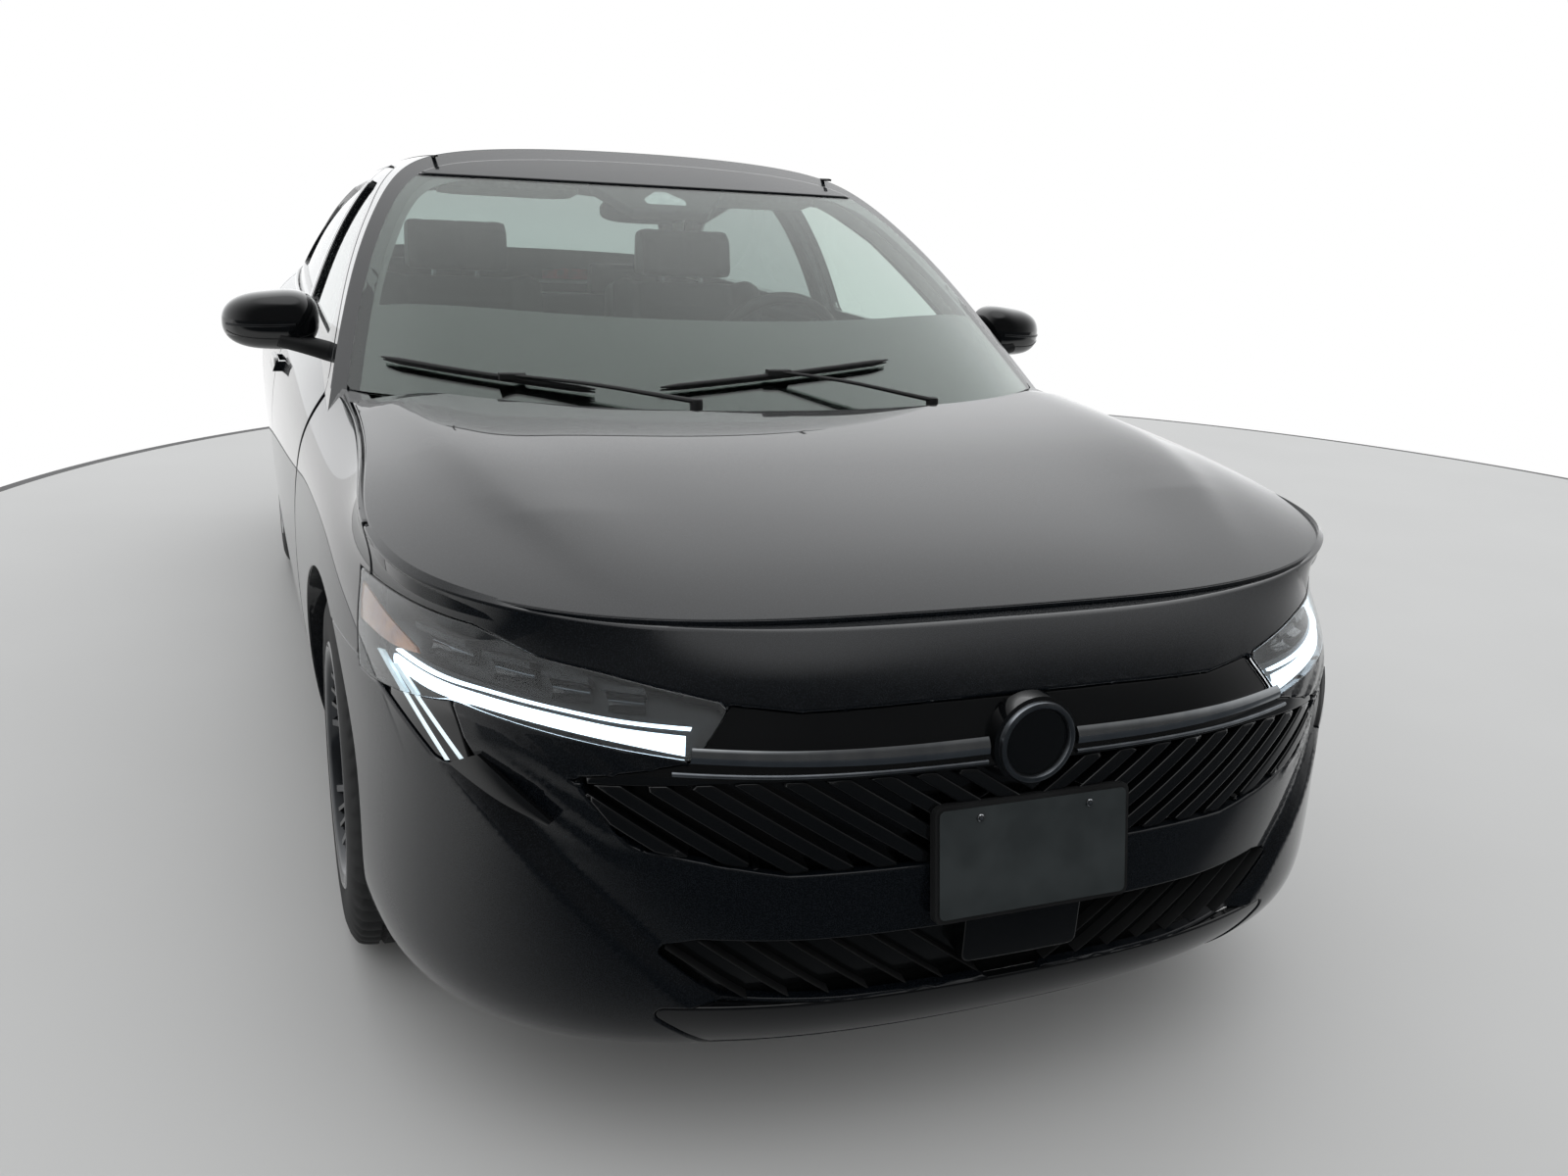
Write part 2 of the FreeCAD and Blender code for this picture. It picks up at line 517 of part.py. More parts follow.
# Bonnet and the space that it closes
bonnet = bonnet_slab.common(plan_of_waist(LIP + PANEL_GAP)).common(plan_strip(AHEAD_SHARES, BONNET_BACK_SHARES))
bonnet_space = over_bonnet.common(plan_of_waist(LIP)).common(
    plan_strip(AHEAD_SHARES, BONNET_BACK_SHARES, 0, PANEL_GAP))
print("bonnet", bonnet.isValid(), len(bonnet.Solids))

# Front door, rear door and the frame round them, on the left
side_layer = [door_layer, cabin_layer]
side_wall = wrap_wall.fuse(cabin_wall)
side_skin = door_layer.fuse(cabin_layer)
side_gap_skin = gap_layer.fuse(cabin_gap_layer)
print("side", side_wall.isValid(), side_skin.isValid(), side_gap_skin.isValid())


def door(outline, pane):
    skin = side_skin.common(side_prism(outline))
    plug = side_wall.common(side_prism(outline, -FOLD))
    whole = skin.fuse(plug).cut(side_prism(pane))
    return largest(whole)


def doorway(outline):
    skin = side_gap_skin.common(side_prism(outline, GAP))
    return skin.fuse(side_prism(outline, size("plug_gap") - FOLD))


front_door = door(FRONT_DOOR_SHARES, FRONT_PANE_SHARES)
print("front door", front_door.isValid(), front_door.Volume, len(front_door.Solids))
rear_door = door(REAR_DOOR_SHARES, REAR_PANE_SHARES)
rear_door = largest(rear_door.cut(round_space(2, rear_well_inner, HALF - FOLD, well_radius + GAP)))
print("rear door", rear_door.isValid(), rear_door.Volume, len(rear_door.Solids))
glass_layer = between(cabin_poles(size("glass_inset")), cabin_poles(size("glass_inset") + GLASS))
front_pane = glass_layer.common(side_prism(FRONT_PANE_SHARES, -SEAT_GAP))
rear_pane = glass_layer.common(side_prism(REAR_PANE_SHARES, -SEAT_GAP))
print("panes", front_pane.isValid(), rear_pane.isValid())


# The openings for the screens
screen_front = extruded(WINDSCREEN_POLES, Vector(0, -LENGTH, 0))
screen_back = extruded(BACK_WINDOW_POLES, Vector(0, LENGTH, 0))
FRAME = size("frame_skin")


def inside_cabin(depth):
    """The space under the cabin's surface moved in by depth."""
    return extruded(moved_poles(cabin_poles(depth), Vector(0, 0, -HIGH)), Vector(0, 0, HIGH))


def screen_layer(poles, thick, facing):
    """The layer behind a screen's outer surface, measured square to its slope."""
    slope = poles[-1][0] - poles[0][0]
    return extruded(poles, Vector(0, slope.z, -slope.y).normalize() * facing * thick)


SCREEN_CORNER_SHARES = (.755, .648)
under_cowl = extruded(moved_poles(BONNET_POLES, Vector(0, 0, -LID - 2 * PANEL_GAP)), Vector(0, 0, -HIGH))
under_deck = extruded(moved_poles(DECK_POLES, Vector(0, 0, -LID)), Vector(0, 0, -HIGH))
windscreen = screen_layer(WINDSCREEN_POLES, GLASS, 1).common(inside_cabin(FRAME + SEAT_GAP)).cut(under_cowl)
back_window = screen_layer(BACK_WINDOW_POLES, GLASS, -1).common(inside_cabin(FRAME + SEAT_GAP)).cut(under_deck)
screen_seats = screen_layer(WINDSCREEN_POLES, GLASS + SEAT_GAP, 1).fuse(
    screen_layer(BACK_WINDOW_POLES, GLASS + SEAT_GAP, -1)).common(inside_cabin(FRAME))
print("screens", windscreen.isValid(), back_window.isValid(), len(windscreen.Solids), len(back_window.Solids))

cabin_frame = cabin_wall.cut([screen_front, screen_back, screen_seats])
roof_sides = ROOF_SIDE_SHARE * HALF
roof_box = box_between((-roof_sides, roof_sides), (-LENGTH, LENGTH), (HIGH / 2, 2 * HIGH))
roof_panel = largest(cabin_frame.common(roof_box))
cabin_side = cabin_frame.cut(box_between(
    (-LENGTH, roof_sides + SEAT_GAP), (-LENGTH, LENGTH), (HIGH / 2, 2 * HIGH)))
print("roof", roof_panel.isValid(), cabin_side.isValid(), len(cabin_side.Solids))

# Boot lid and the space that it closes
lid_region = plan_strip(LID_FRONT_SHARES, LID_TAIL_SHARES).common(front_prism(LID_BACK_SHARES, 2.2, 3.2))
lid_space = plan_strip(LID_FRONT_SHARES, LID_TAIL_SHARES, -PANEL_GAP).common(
    front_prism(LID_BACK_SHARES, 2.2, 3.2, PANEL_GAP))
wrap_both = wrap_skin.fuse(mirrored(wrap_skin))
lid_top = deck_slab.common(plan_of_waist(0)).common(lid_region)
over_lid_core = extruded(moved_poles(DECK_POLES, Vector(0, 0, -LID / 2)), Vector(0, 0, HIGH))
lid_face = wrap_both.common(lid_region).cut(over_lid_core)
boot_lid = largest(lid_top.fuse(lid_face))
back_window = largest(back_window.cut([lid_space, wrap_skin, mirrored(wrap_skin)]))
screen_corner = box_between((HALF * SCREEN_CORNER_SHARES[0], LENGTH), (-LENGTH, LENGTH), (0, HIGH * SCREEN_CORNER_SHARES[1]))
windscreen = largest(windscreen.cut([wrap_skin, mirrored(wrap_skin), screen_corner, mirrored(screen_corner)]))
print("lid", boot_lid.isValid(), boot_lid.Volume, len(boot_lid.Solids))

# Lamps
lamp_block = wrap_shell(size("lamp_deep"))
headlamp = largest(lamp_block.common(front_prism(HEADLAMP_SHARES, -.2, 1, -SEAT_GAP)).common(
    side_prism(HEADLAMP_END_SHARES, -SEAT_GAP, 0)).cut(bonnet_space))
headlamp_space = front_prism(HEADLAMP_SHARES, -.2, 1).common(side_prism(HEADLAMP_END_SHARES, 0, 0))
tail_lamp = wrap_skin.common(front_prism(TAIL_LAMP_SHARES, TAIL_LAMP_FRONT, 3.2, -SEAT_GAP))
tail_space = front_prism(TAIL_LAMP_SHARES, TAIL_LAMP_FRONT, 3.2)
side_tail_lamp = largest(tail_lamp.cut(lid_space))
lid_tail_lamp = largest(tail_lamp.common(lid_region))
boot_lid = largest(boot_lid.cut([tail_space, mirrored(tail_space)]))
print("lamps", headlamp.isValid(), side_tail_lamp.isValid(), lid_tail_lamp.isValid(), boot_lid.isValid())

# Body side: pillars, sill and rear quarter
doorways = [doorway(FRONT_DOOR_SHARES), doorway(REAR_DOOR_SHARES)]
quarter_deck = deck_slab.common(plan_of_waist(0)).cut(
    [screen_layer(BACK_WINDOW_POLES, GLASS + SEAT_GAP, -1), extruded(BACK_WINDOW_POLES, Vector(0, -LENGTH, 0)),
     box_between((-LENGTH, HALF / 2), (-LENGTH, LENGTH), (0, 2 * HIGH))])
foot = gap_layer.common(side_prism(FRONT_FOOT_SHARES))
rear_inner = box_between((0, LENGTH), (along(2.05), LENGTH), (0, 2 * HIGH))
side_body = wrap_wall.cut(rear_inner).fuse(wrap_skin.common(rear_inner))
both_doorways = doorways + [mirrored(space) for space in doorways]
roof_panel = largest(roof_panel.cut(both_doorways))
print("roof cut", roof_panel.isValid(), len(roof_panel.Solids))
body_side = side_body.common(side_prism(BODY_SIDE_SHARES, 0, 0)).fuse([cabin_side, quarter_deck])
body_side = body_side.cut(doorways + [foot, bonnet_space, lid_space, tail_space, arch_space])
body_side = largest(body_side.cut(well_space))
print("body side", body_side.isValid(), [round(s.Volume / HIGH ** 2, 2) for s in body_side.Solids])

fender = largest(wrap_skin.common(side_prism(FENDER_SHARES, -SEAT_GAP, 0)).cut(
    [arch_space, bonnet_space, headlamp_space]))
print("fender", fender.isValid(), fender.Volume)
bumper = wrap_both.common(side_prism(BUMPER_SHARES, 0, -1.3)).cut(
    [arch_space, mirrored(arch_space), bonnet_space, headlamp_space, mirrored(headlamp_space),
     front_prism(GRILLE_SHARES, -.2, .5), front_prism(INTAKE_SHARES, -.2, .5)])
print("bumper", bumper.isValid(), [round(s.Volume / HIGH ** 2, 2) for s in bumper.Solids])
rear_bumper = wrap_both.common(side_prism(REAR_BUMPER_SHARES, -SEAT_GAP, -1.3)).cut(
    [arch_space, mirrored(arch_space), lid_space, tail_space, mirrored(tail_space)])
print("rear bumper", rear_bumper.isValid(), [round(s.Volume / HIGH ** 2, 2) for s in rear_bumper.Solids])


# Drawn features
def plane_of(body, role):
    return next(f for f in body.Origin.OriginFeatures if f.Role == role)


def new_body(label, position=Vector(0, 0, 0), turn=FreeCAD.Rotation()):
    body = doc.addObject("PartDesign::Body", label)
    body.Label = label
    body.Placement = FreeCAD.Placement(position, turn)
    return body


def outline_sketch(body, role, corners):
    """A closed outline of straight lines on one of the body's own planes. A corner's two places are lengths, or
    expressions on the sheet, which then hold that corner."""
    sketch = body.newObject("Sketcher::SketchObject", body.Label + "_outline")
    sketch.AttachmentSupport = [(plane_of(body, role), "")]
    sketch.MapMode = "FlatFace"
    worth = [[sheet.evalExpression(c) if isinstance(c, str) else c for c in corner] for corner in corners]
    worth = [Vector(float(a), float(b), 0) for a, b in worth]
    count = len(corners)
    for i in range(count):
        sketch.addGeometry(Part.LineSegment(worth[i], worth[(i + 1) % count]))
    for i in range(count):
        sketch.addConstraint(Sketcher.Constraint("Coincident", i, 2, (i + 1) % count, 1))
    for i, corner in enumerate(corners):
        for kind, place, value in zip(("DistanceX", "DistanceY"), corner, (worth[i].x, worth[i].y)):
            index = sketch.addConstraint(Sketcher.Constraint(kind, -1, 1, i, 1, value))
            if isinstance(place, str):
                sketch.setExpression("Constraints[%d]" % index, place)
    return sketch


def padded(body, role, corners, length, symmetric=True):
    sketch = outline_sketch(body, role, corners)
    pad = body.newObject("PartDesign::Pad", body.Label + "_pad")
    pad.Profile = sketch
    pad.setExpression("Length", length)
    pad.SideType = "Symmetric" if symmetric else "One side"
    doc.recompute()
    return pad


def revolved(body, corners):
    """Turned about the body's own X axis: corners are (along the axis, radius)."""
    sketch = outline_sketch(body, "XY_Plane", corners)
    turned = body.newObject("PartDesign::Revolution", body.Label + "_turned")
    turned.Profile = sketch
    turned.ReferenceAxis = (sketch, ["H_Axis"])
    turned.Angle = 360
    doc.recompute()
    return turned


def rounded(body, feature, radius):
    """Rounds all edges of the body's feature."""
    fillet = body.newObject("PartDesign::Fillet", body.Label + "_round")
    fillet.Base = (feature, ["Edge%d" % (i + 1) for i in range(len(feature.Shape.Edges))])
    fillet.setExpression("Radius", radius)
    doc.recompute()
    return fillet


SYSTEM = "Sizes."


def half_turn(is_right):
    return FreeCAD.Rotation(Z_AXIS, 180 if is_right else 0)


# Wheels and tyres: the body's X axis runs out of the car
TYRE = [("-Sizes.tyre_width/2 + Sizes.tyre_bead", "Sizes.rim_radius"),
        ("Sizes.tyre_width/2 - Sizes.tyre_bead", "Sizes.rim_radius"),
        ("Sizes.tyre_width/2", "(Sizes.rim_radius + Sizes.tyre_radius)/2"),
        ("Sizes.tyre_width/2 - Sizes.tyre_round/3", "Sizes.tyre_radius - Sizes.tyre_round"),
        ("Sizes.tyre_width/2 - Sizes.tyre_round", "Sizes.tyre_radius - Sizes.tyre_round/4"),
        ("Sizes.tyre_width/5", "Sizes.tyre_radius"), ("-Sizes.tyre_width/5", "Sizes.tyre_radius"),
        ("-Sizes.tyre_width/2 + Sizes.tyre_round", "Sizes.tyre_radius - Sizes.tyre_round/4"),
        ("-Sizes.tyre_width/2 + Sizes.tyre_round/3", "Sizes.tyre_radius - Sizes.tyre_round"),
        ("-Sizes.tyre_width/2", "(Sizes.rim_radius + Sizes.tyre_radius)/2")]
RIM = [("-Sizes.tyre_width/2", "Sizes.rim_radius - Sizes.rim_wall"),
       ("Sizes.tyre_width/2 - Sizes.rim_wall", "Sizes.rim_radius - Sizes.rim_wall"),
       ("Sizes.tyre_width/2", "Sizes.rim_radius"),
       ("Sizes.tyre_width/2", "Sizes.rim_radius + Sizes.rim_lip"),
       ("Sizes.tyre_width/2 - Sizes.rim_wall/2", "Sizes.rim_radius + Sizes.rim_lip"),
       ("Sizes.tyre_width/2 - Sizes.rim_wall", "Sizes.rim_radius - Sizes.seat_gap"),
       ("-Sizes.tyre_width/2", "Sizes.rim_radius - Sizes.seat_gap")]
HUB = [("-Sizes.stub_long", "Sizes.spindle_radius + Sizes.spindle_play"),
       ("Sizes.spindle_reach", "Sizes.spindle_radius + Sizes.spindle_play"), ("Sizes.spindle_reach", "0"),
       ("Sizes.spoke_seat + Sizes.spoke_thick", "0"), ("Sizes.spoke_seat + Sizes.spoke_thick", "Sizes.hub_radius"),
       ("Sizes.disc_thick", "Sizes.hub_radius"), ("Sizes.disc_thick", "Sizes.disc_radius"), ("0", "Sizes.disc_radius"),
       ("0", "Sizes.hub_radius"), ("-Sizes.stub_long", "Sizes.hub_radius")]


def make_wheel(label, position, turn):
    body = new_body(label, position, turn)
    revolved(body, HUB)
    rim = outline_sketch(body, "XY_Plane", RIM)
    turned = body.newObject("PartDesign::Revolution", label + "_rim")
    turned.Profile = rim
    turned.ReferenceAxis = (rim, ["H_Axis"])
    turned.Angle = 360
    spoke = outline_sketch(body, "XY_Plane", [
        ("Sizes.spoke_seat", "Sizes.hub_radius/2"),
        ("Sizes.spoke_seat + Sizes.spoke_thick", "Sizes.hub_radius/2"),
        ("Sizes.spoke_seat + Sizes.spoke_thick + Sizes.spoke_out", "Sizes.rim_radius - Sizes.rim_wall/2"),
        ("Sizes.spoke_seat + Sizes.spoke_out/2", "Sizes.rim_radius - Sizes.rim_wall/2")])
    pad = body.newObject("PartDesign::Pad", label + "_spoke")
    pad.Profile = spoke
    pad.setExpression("Length", "Sizes.spoke_wide")
    pad.SideType = "Symmetric"
    doc.recompute()
    ring = body.newObject("PartDesign::PolarPattern", label + "_spokes")
    ring.Originals = [pad]
    ring.Axis = (plane_axis(body), [""])
    ring.Angle = 360
    ring.Occurrences = 10
    body.Tip = ring
    doc.recompute()
    return body


def plane_axis(body):
    return next(f for f in body.Origin.OriginFeatures if f.Role == "X_Axis")


def make_tyre(label, position, turn):
    body = new_body(label, position, turn)
    revolved(body, TYRE)
    return body


PLACES = []
for end, station in (("front", 1), ("rear", 2)):
    for side, sign in (("left", 1), ("right", -1)):
        centre = Vector(sign * WHEEL_MIDDLE, along(station), AXLE_HIGH)
        PLACES.append((end + "_" + side, centre, half_turn(sign < 0)))
for name, centre, turn in PLACES:
    NODES.append(make_wheel("wheel_" + name, centre, turn))
    NODES.append(make_tyre("tyre_" + name, centre, turn))
print("wheels", [round(n.Shape.Volume) for n in NODES], [len(n.Shape.Solids) for n in NODES], [n.Shape.isValid() for n in NODES])


def primitive(kind, label, position, direction=None, **bound):
    """A solid whose sizes are expressions on the sheet."""
    made = doc.addObject("Part::" + kind, label)
    for name, expression in bound.items():
        made.setExpression(name, expression)
    turn = FreeCAD.Rotation(Z_AXIS, direction) if direction else FreeCAD.Rotation()
    made.Placement = FreeCAD.Placement(position, turn)
    return made


def fused(label, shapes):
    made = doc.addObject("Part::MultiFuse", label)
    made.Shapes = shapes
    return made


def cut_by(label, base, tool):
    made = doc.addObject("Part::Cut", label)
    made.Base = base
    made.Tool = tool
    return made


def mirror_of(label, source):
    made = doc.addObject("Part::Mirroring", label)
    made.Source = source
    made.Normal = X_AXIS
    made.Label = label
    return made


def box_node(label, x_pair, y_pair, z_pair):
    """A plain box between named places, as a primitive."""
    made = doc.addObject("Part::Box", label)
    made.Length = abs(x_pair[1] - x_pair[0])
    made.Width = abs(y_pair[1] - y_pair[0])
    made.Height = abs(z_pair[1] - z_pair[0])
    made.Placement = FreeCAD.Placement(Vector(min(x_pair), min(y_pair), min(z_pair)), FreeCAD.Rotation())
    return made


# Steering axis: from the ball joint up and in to the top of the strut
LEAN = math.radians(size("steer_lean"))
STEER_AXIS = Vector(-math.sin(LEAN), 0, math.cos(LEAN))
FRONT_WHEEL = Vector(WHEEL_MIDDLE, along(1), AXLE_HIGH)
REAR_WHEEL = Vector(WHEEL_MIDDLE, along(2), AXLE_HIGH)
BALL = Vector(WHEEL_MIDDLE - size("ball_inset"), along(1), size("ball_high"))


def on_steer_axis(height):
    return BALL + STEER_AXIS * ((height - BALL.z) / STEER_AXIS.z)


def steer_rod(radius, low, top):
    """A solid round the steering axis between two heights, measured on the axis."""
    start, end = on_steer_axis(low), on_steer_axis(top)
    return Part.makeCylinder(radius, (end - start).Length, start, STEER_AXIS)


def hub_carrier(label, wheel):
    """Spindle, its boss and the brake caliper at a wheel, with the slot that the disc runs in."""
    inner, outer = size("upright_inner"), size("upright_outer")
    spindle = primitive("Cylinder", label + "_spindle", wheel - X_AXIS * size("spindle_back"), X_AXIS,
                        Radius="Sizes.spindle_radius",
                        Height="Sizes.spindle_back + Sizes.spindle_reach - Sizes.run_gap/2")
    boss = primitive("Cylinder", label + "_boss", wheel - X_AXIS * inner, X_AXIS, Radius="Sizes.boss_radius",
                     Height="Sizes.upright_inner - Sizes.upright_outer")
    half = size("caliper_half")
    bracket = primitive("Box", label + "_bracket", wheel + Vector(-inner, 0, -half / 2),
                        Length="Sizes.upright_inner - Sizes.upright_outer", Width="Sizes.caliper_far",
                        Height="Sizes.caliper_half")
    caliper = primitive("Box", label + "_caliper", wheel + Vector(-inner, size("caliper_near"), -half),
                        Length="Sizes.upright_inner + Sizes.caliper_out",
                        Width="Sizes.caliper_far - Sizes.caliper_near", Height="2*Sizes.caliper_half")
    slot = primitive("Cylinder", label + "_slot", wheel - X_AXIS * size("run_gap"), X_AXIS,
                     Radius="Sizes.disc_radius + Sizes.run_gap", Height="Sizes.disc_thick + 2*Sizes.run_gap")
    jaws = cut_by(label + "_jaws", caliper, slot)
    return [spindle, boss, bracket, jaws]


def make_knuckle():
    label = "knuckle_left"
    inner, outer = size("upright_inner"), size("upright_outer")
    reach = size("arm_half")
    upright = primitive("Box", label + "_upright", Vector(FRONT_WHEEL.x - inner, FRONT_WHEEL.y - reach, BALL.z + reach / 4),
                        Length="Sizes.upright_inner - Sizes.upright_outer", Width="2*Sizes.arm_half",
                        Height="Sizes.collar_top - Sizes.ball_high - Sizes.arm_half/4")
    top = on_steer_axis((size("collar_low") + size("collar_top")) / 2)
    bar = box_node(label + "_bar", (top.x, FRONT_WHEEL.x - outer), (top.y - reach / 2, top.y + reach / 2),
                   (size("collar_low") + size("run_gap"), size("collar_top")))
    collar = doc.addObject("Part::Feature", label + "_collar")
    collar.Shape = steer_rod(size("strut_radius") + size("collar_wall"), size("collar_low"), size("collar_top"))
    foot = doc.addObject("Part::Feature", label + "_foot")
    foot.Shape = steer_rod(size("pin_radius") + size("collar_wall"), BALL.z + reach / 4, BALL.z + 1.5 * reach)
    solid = fused(label + "_solid", hub_carrier(label, FRONT_WHEEL) + [upright, bar, collar, foot])
    bores = doc.addObject("Part::Feature", label + "_bores")
    strut_bore = steer_rod(size("strut_radius") + size("pin_play"), size("collar_low") - reach, size("collar_top") + reach)
    pin_bore = steer_rod(size("pin_radius") + size("pin_play"), BALL.z - reach, BALL.z + reach)
    bores.Shape = Part.makeCompound([strut_bore, pin_bore])
    knuckle = cut_by(label, solid, bores)
    knuckle.Label = label
    return knuckle


knuckle = make_knuckle()
NODES.append(knuckle)
NODES.append(mirror_of("knuckle_right", knuckle))

# Front suspension: subframe, lower arms with ball pins, struts and springs, drive shafts and steering rack
sheet_thick = size("sheet_thick")
arm_low = size("arm_low")
arm_top = arm_low + size("arm_thick")
subframe_half = size("rail_inner") - sheet_thick
subframe_y = (along(.90), along(1.12))
subframe = box_between((-subframe_half, subframe_half), subframe_y, (arm_top, arm_top + 2 * sheet_thick))


def lower_arm():
    corners = [(subframe_half * 0.9, along(.92)), (subframe_half, along(1.10)), (subframe_half * 1.5, along(1.04)),
               (BALL.x - size("arm_half") / 2, BALL.y + size("arm_half")), (BALL.x + size("arm_half") / 2, BALL.y),
               (BALL.x - size("arm_half") / 2, BALL.y - size("arm_half"))]
    wire = rounded_wire([(x, y, 0) for x, y in corners], "plan")
    plate = prism(wire, arm_low, arm_top, Z_AXIS)
    pin = steer_rod(size("pin_radius"), arm_top - sheet_thick, BALL.z + size("arm_half") * 0.9)
    return plate.fuse(pin)


def strut():
    top = size("tower_low")
    rod = steer_rod(size("strut_radius"), size("collar_low") - size("run_gap"), top)
    seat = steer_rod(size("spring_radius"), size("collar_top") + size("spring_radius") * 1.7, top)
    room = box_between((0, HALF), (along(.5), along(1.5)), (0, top))
    return rod.fuse(seat).common(room)


def drive_shaft():
    start = Vector(size("rail_inner") - 2 * sheet_thick, along(1), AXLE_HIGH)
    end = on_steer_axis(AXLE_HIGH).x - size("boot_radius") * 1.6
    shaft = Part.makeCylinder(size("shaft_radius"), end - start.x, start, X_AXIS)
    boot = size("boot_radius")
    outer = Part.makeCone(boot * 0.5, boot, boot * 1.5, Vector(end - boot * 1.5, start.y, start.z), X_AXIS)
    inner_boot = Part.makeCone(boot, boot * 0.5, boot * 1.8, start, X_AXIS)
    gearbox = Part.makeCylinder(boot * 1.4, start.x, Vector(0, start.y, start.z), X_AXIS)
    housing = box_between((0, boot * 2), (along(.845), start.y), (start.z - boot, start.z + boot))
    return shaft.fuse([outer, inner_boot, gearbox, housing])


rack_high = arm_top + 4 * sheet_thick
rack = Part.makeCylinder(size("boot_radius") * 0.6, subframe_half + 4 * sheet_thick,
                         Vector(0, along(1.075), rack_high), X_AXIS)
rack_foot = box_between((subframe_half * 0.5, subframe_half * 0.6), (along(1.065), along(1.085)), (arm_top, rack_high))
front_half = subframe.fuse([lower_arm(), rack, rack_foot])
keep("front_suspension", Part.makeCompound([both_sides(front_half), strut(), mirrored(strut())]))
keep("drive_shafts", both_sides(drive_shaft()))

# Rear suspension: twist beam, trailing arms, springs and the rear hub carriers
beam_y = along(1.905)
arm_x = (size("trail_inner"), size("trail_outer"))
arm_end = along(2) + size("boss_radius")
arm_foot = size("beam_high") - size("beam_radius")
trail = box_between(arm_x, (beam_y, arm_end), (arm_foot, size("beam_high") + size("beam_radius"))).fuse(
    box_between(arm_x, (along(1.955) + 2 * sheet_thick, arm_end), (arm_foot, AXLE_HIGH + sheet_thick * 0.8)))
beam = Part.makeCylinder(size("beam_radius"), size("trail_outer"), Vector(0, beam_y, size("beam_high")), X_AXIS)
lead_arm = box_between(arm_x, (along(1.80) + sheet_thick, beam_y), (arm_foot, size("beam_high") + size("beam_radius") / 2))
stub = box_between((size("trail_inner"), WHEEL_MIDDLE - size("upright_outer")),
                   (along(2) - size("arm_half"), along(2) + size("arm_half")),
                   (AXLE_HIGH - size("arm_half"), AXLE_HIGH + sheet_thick * 0.8))
rear_left = fused("rear_hub_left", hub_carrier("rear_hub", REAR_WHEEL))
doc.recompute()
rear_half = beam.fuse([trail, lead_arm, stub, rear_left.Shape])
keep("rear_suspension", both_sides(rear_half))
print("running gear", [(n.Label, n.Shape.isValid(), len(n.Shape.Solids)) for n in NODES[8:]])

# Structure: floor, firewall, boot floor, rails, towers and beams
SIDE = HALF * 0.83
floor_low = .125 * HIGH
floor_top = floor_low + size("floor_thick")
fire_y = along(1.148)
seat_high = .228 * HIGH
boot_high = .250 * HIGH
hump = size("tunnel_half")
hump_top = floor_top + hump * 0.75


def slab(x_half, stations, z_pair):
    return box_between((-x_half, x_half), (along(stations[0]), along(stations[1])), z_pair)


def upright(x_half, station, z_pair):
    start = along(station)
    return box_between((-x_half, x_half), (start, start + sheet_thick), z_pair)


hump_block = slab(hump, (1.146, 1.80), (floor_low, hump_top)).cut(
    slab(hump - sheet_thick, (1.0, 1.9), (floor_low - hump, hump_top - sheet_thick)))
floor = slab(SIDE, (1.146, 1.80), (floor_low, floor_top)).cut(
    slab(hump - sheet_thick, (1.0, 1.9), (0, hump_top - sheet_thick))).fuse(hump_block)
firewall = upright(SIDE, 1.146, (floor_low, .600 * HIGH)).cut(
    slab(hump - sheet_thick, (1.0, 1.9), (0, hump_top - sheet_thick)))
seat_step = upright(SIDE, 1.80, (floor_low, seat_high))
seat_pan = slab(SIDE, (1.80, 1.955), (seat_high - sheet_thick, seat_high))
boot_step = upright(SIDE, 1.955, (seat_high - sheet_thick, boot_high))
boot_floor = slab(HALF * 0.58, (1.955, 2.86), (boot_high - sheet_thick, boot_high))
boot_wall = upright(HALF * 0.58, 2.86, (boot_high - sheet_thick, .492 * HIGH))
back_panel = upright(HALF * 0.72, 1.985, (boot_high, .695 * HIGH)).cut(
    slab(HALF / 2, (1.9, 2.1), (boot_high + sheet_thick * 4, .62 * HIGH)))
shelf_z = (.689 * HIGH, .689 * HIGH + sheet_thick)
shelf = slab(HALF * 0.72, (1.985, 2.33), shelf_z).fuse(slab(HALF * 0.80, (2.075, 2.33), shelf_z))
mirror_side = mirrored(body_side)
well_both = [well_space, mirrored(well_space)]
pan = floor.fuse([firewall, seat_step, seat_pan, boot_step, boot_floor, boot_wall, back_panel, shelf])
pan = largest(pan.cut([body_side, mirror_side] + well_both))
print("floor", pan.isValid(), len(pan.Solids))
keep("floor_pan", pan)

rail_x = (size("rail_inner"), size("rail_outer"))
rail_z = (size("rail_low"), size("rail_top"))
tower_z = (size("tower_low"), size("tower_low") + size("tower_plate"))
apron_x = (size("apron_inner"), size("apron_outer"))
apron_z = (size("tower_low"), size("tower_low") + size("apron_high"))
rail = box_between(rail_x, (along(.13), fire_y), rail_z)
beam_half = box_between((0, HALF * 0.50), (along(.13), along(.13) + size("beam_deep")), (.275 * HIGH, .345 * HIGH))
apron = box_between(apron_x, (along(.74), fire_y), apron_z)
tower = box_between((rail_x[1] - sheet_thick, apron_x[1]), (along(.86), along(1.14)), tower_z)
tower_wall = box_between((rail_x[1] - sheet_thick, rail_x[1]), (along(.86), along(1.14)), (rail_z[0], tower_z[1]))
support = box_between((0, rail_x[1]), (along(.22), along(.22) + 2 * sheet_thick), (.475 * HIGH, .497 * HIGH))
support_leg = box_between(rail_x, (along(.22), along(.22) + 2 * sheet_thick), (.145 * HIGH, .497 * HIGH))
support_low = box_between((0, rail_x[1]), (along(.22), along(.22) + 2 * sheet_thick), (.145 * HIGH, .165 * HIGH))
frame_leg = box_between((size("rail_inner"), size("rail_outer")), (along(1.06), along(1.09)), (arm_top, rail_z[0]))
front_half = rail.fuse([beam_half, apron, tower, tower_wall, support, support_leg, support_low])
front_structure = both_sides(front_half).cut(pan)
